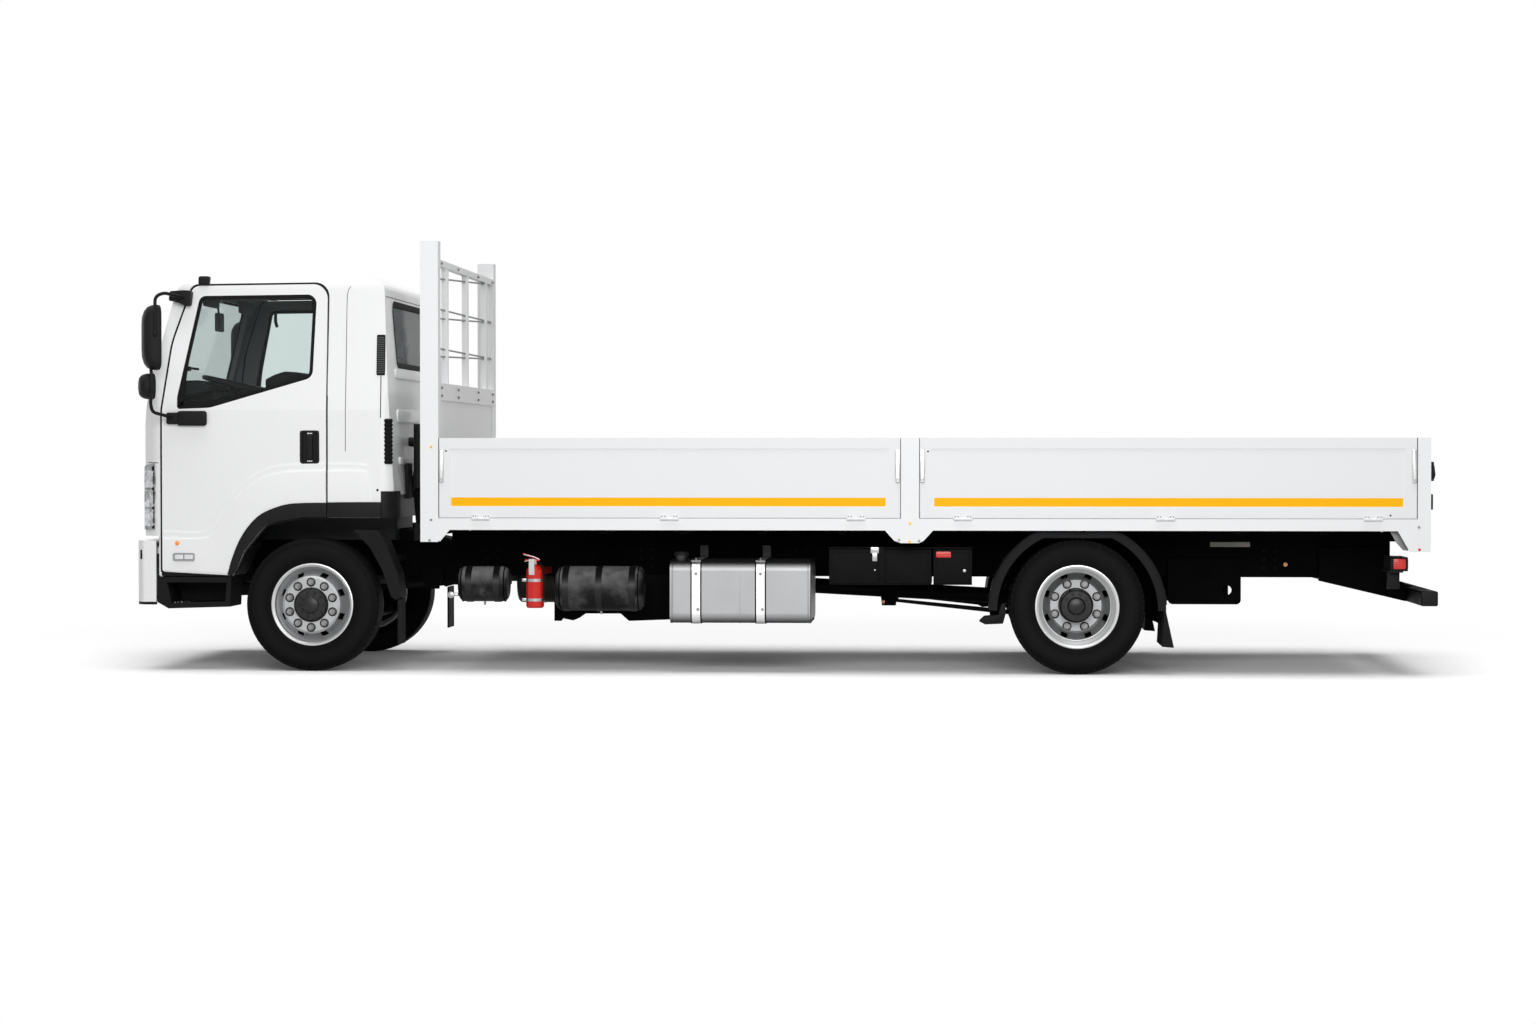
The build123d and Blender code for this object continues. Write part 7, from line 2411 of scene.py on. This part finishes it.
    def fuel_seam(self) -> Form:
        """The weld round the tank's middle and its two end rims."""
        outline = oblong(*self.tank, 0.062, 8)
        form = Form()
        for x, wide in ((0.2225, 0.0025), (0.655, 0.006), (-0.21, 0.006)):
            form.hoop(grown(outline, 0.0015), grown(outline, -0.001), x - wide, x + wide, 0.0006,
                view=FRONT_VIEW)
        return form

    @staticmethod
    def tank_rings() -> Form:
        """Weld rings at the air tanks' ends."""
        form = Form()
        for x, y, z, r in (
                (1.728, 0.9, 0.546, 0.111),
                (1.998, 0.9, 0.546, 0.111),
                (0.878, 0.88, 0.518, 0.141),
                (1.373, 0.88, 0.518, 0.141)):
            form.lathe([(r - 0.002, -0.004), (r + 0.0025, -0.002), (r + 0.0025, 0.002), (r - 0.002, 0.004)],
                (x, y, z), "X", 48)
        return form

    @staticmethod
    def tank_fittings() -> Form:
        """Drain valves, pipe unions and the round test cap by the air tanks."""
        form = Form().lathe([(0.0, 0.006), (0.014, 0.005), (0.021, 0.001), (0.022, -0.01), (0.0, -0.01)],
            (2.064, 0.985, 0.479), "Y", 24)
        form.block((2.02, 0.89, 0.47), (2.072, 0.976, 0.488), 0.004)
        for x, y, z, r in ((1.86, 0.9, 0.546, 0.111), (1.12, 0.88, 0.518, 0.141)):
            form.tube([(x, y, z - r + 0.003), (x, y, z - r - 0.022)], 0.008, 6)
            form.tube([(x, y, z - r - 0.02), (x, y + 0.018, z - r - 0.02)], 0.004, 8)
        return form

    def lids(self) -> Form:
        """The lockers' front lids, their frames and the post between them."""
        form = Form()
        for x1, x0 in zip(self.lockers, self.lockers[1:]):
            outer = oblong((x0 + 0.008, 0.562), (x1 - 0.008, 0.772), 0.012, 4)
            form.slab(outer, 1.046, 1.0535, 0.003)
            form.hoop(grown(outer, -0.014), grown(outer, -0.02), 1.052, 1.0565, 0.0015)
        form.block((-0.674, 1.04, 0.552), (-0.642, 1.06, 0.79), 0.004)
        return form.block((-1.227, 0.52, 0.778), (-0.323, 1.052, 0.786), 0.003)

    @staticmethod
    def locker_latches() -> Form:
        """The lockers' latch and knobs."""
        form = Form().block((-0.641, 1.04, 0.748), (-0.589, 1.066, 0.787), 0.005)
        form.block((-0.63, 1.064, 0.7), (-0.6, 1.069, 0.752), 0.002)
        for x, z, r in ((-1.174, 0.641, 0.013), (-0.616, 0.644, 0.007)):
            form.lathe([(0.0, 0.02), (r * 0.7, 0.019), (r, 0.012), (r * 0.8, 0.0), (0.0, 0.0)], (x, 1.052, z),
                "Y", 20)
        return form

    @staticmethod
    def extinguisher() -> Form:
        """The extinguisher's valve, handles, gauge and clamp."""
        x, y = 1.514, 1.09
        form = Form().lathe([(0.0, 0.7), (0.014, 0.7), (0.016, 0.668), (0.02, 0.66), (0.02, 0.645),
            (0.0, 0.645)], (x, y, 0.0), "Z", 24)
        form.sweep([[(a, y - 0.012, b), (a, y + 0.012, b), (a, y + 0.012, b + 0.006),
            (a, y - 0.012, b + 0.006)] for a, b in ((x - 0.03, 0.704), (x + 0.01, 0.722), (x + 0.07, 0.735))],
            bevel=0.002)
        form.sweep([[(a, y - 0.011, b), (a, y + 0.011, b), (a, y + 0.011, b + 0.005),
            (a, y - 0.011, b + 0.005)] for a, b in ((x - 0.01, 0.7), (x + 0.03, 0.7), (x + 0.066, 0.692))],
            bevel=0.002)
        for z in (0.455, 0.578):
            form.lathe([(0.0555, -0.009), (0.0575, -0.009), (0.0575, 0.009), (0.0555, 0.009)], (x, y, z), "Z",
                40)
            form.block((x + 0.052, y - 0.01, z - 0.01), (x + 0.082, y + 0.01, z + 0.01), 0.003)
        return form.lathe([(0.0, 0.012), (0.012, 0.011), (0.013, 0.0), (0.0, 0.0)], (x, y + 0.014, 0.686),
            "Y", 20)

    @staticmethod
    def exhaust_bands() -> Form:
        """Clamps round the silencer."""
        form = Form()
        for x in (1.15, 1.43, 1.71):
            form.lathe([(0.15, -0.016), (0.1545, -0.016), (0.1545, 0.016), (0.15, 0.016)], (x, -0.8, 0.5),
                "X", 56)
            form.block((x - 0.012, -0.815, 0.65), (x + 0.012, -0.785, 0.668), 0.003)
        return form

    @staticmethod
    def lip() -> Form:
        """The dark lip under the bumper."""
        front = [(3.926, 1.086), (4.008, 1.086), (4.05, 1.034), (4.076, 0.6)]
        back = [(4.03, 0.6), (4.02, 0.95), (3.985, 1.04), (3.926, 1.05)]
        plan = front + [(x, -y) for x, y in reversed(front)] + [(x, -y) for x, y in reversed(back)] + back
        return Form().slab(plan, 0.417, 0.4365, 0.003, view=TOP_VIEW)

    def rail_bolts(self) -> Form:
        """Bolts through the frame rails at the crossmembers."""
        places = [(x + dx, self.rail_face, z) for x in self.cross for dx in (-0.035, 0.035)
            for z in (0.64, 0.695, 0.75)]
        return Form().fixings(places, (0.0, 1.0, 0.0), (0.018, 0.018, 0.008))

    @staticmethod
    def spring_bolts() -> Form:
        """U-bolts that clamp the axles to their springs."""
        form = Form()
        for x, low, high in ((DATUM.front_axle, 0.33, 0.545), (DATUM.rear_axle, 0.29, 0.52)):
            for dx in (-0.07, 0.07):
                form.tube(bent([(x + dx, 0.38, low), (x + dx, 0.38, high), (x + dx, 0.47, high),
                    (x + dx, 0.47, low)], 0.03, 4), 0.009, 8)
        return form

    @staticmethod
    def arc(reach: float, high: float, first: float, swept: float, top: float) -> list[Flat]:
        """An arc round the rear axle, of that reach from a middle that high, and cut flat at the top."""
        turns = [math.radians(first + swept * k / 40) for k in range(41)]
        return [(DATUM.rear_axle + reach * math.cos(a), min(high + reach * math.sin(a), top)) for a in turns]

    def guard_bead(self) -> Form:
        """The rolled edge of the rear mudguard."""
        return Form().tube([(x, 1.188, z) for x, z in self.arc(0.545, 0.4, 4, 172, 0.879)], 0.006, 8)

    def guard_wall(self) -> Form:
        """The rear mudguard's inner wall."""
        outer, inner = self.arc(0.538, 0.4, -11, 202, 0.876), self.arc(0.455, 0.42, -11, 202, 0.876)
        return Form().slab(outer + inner[::-1], 0.641, 0.646)

    @staticmethod
    def tail_lens() -> Form:
        """The tail lamp's red lenses, at its side and back."""
        form = Form().slab(oblong((-3.903, 0.655), (-3.828, 0.718), 0.008, 4), 0.996, 1.005, 0.002)
        for low, high in ((0.868, 0.978), (0.682, 0.74)):
            form.slab(oblong((low, 0.655), (high, 0.716), 0.008, 4), 3.914, 3.922, 0.002, view=BACK_VIEW)
        return form

    def fog_outline(self) -> list[Flat]:
        """The fog lamp's outline on the bumper."""
        return fine(oblong((0.74, 0.535), (0.9, 0.635), 0.03, 5), 0.03)

    def fog_frame(self) -> Form:
        """The fog lamp's surround."""
        outline = self.fog_outline()
        lift = self.skin.under(FRONT_VIEW, 4.05)
        return Form().hoop(outline, grown(outline, -0.012), -0.003, 0.004, 0.001, lift, view=FRONT_VIEW)


def main() -> None:
    """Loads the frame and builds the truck's looks in order."""
    logging.basicConfig(level=logging.INFO, format="%(message)s")
    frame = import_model()
    nodes = frame["nodes"]
    Studio().build()
    dress_nodes(nodes)
    RunningGear(nodes).build()
    cab = Skin(nodes[name] for name in ("cab_shell", "cab_glass", "front_panel", "headlamps"))
    for side in Side:
        CabSide(cab).build(side)
        Mirrors().build(side)
    CabFront(cab).build()
    CabBack(cab).build()
    CabInside().build()
    LoadBody(Skin(nodes[name] for name in ("deck_raves", "body_posts", "headboard"))).build()
    ChassisDress(Skin([nodes["front_bumper"]])).build()


if __name__ == "__main__":
    main()
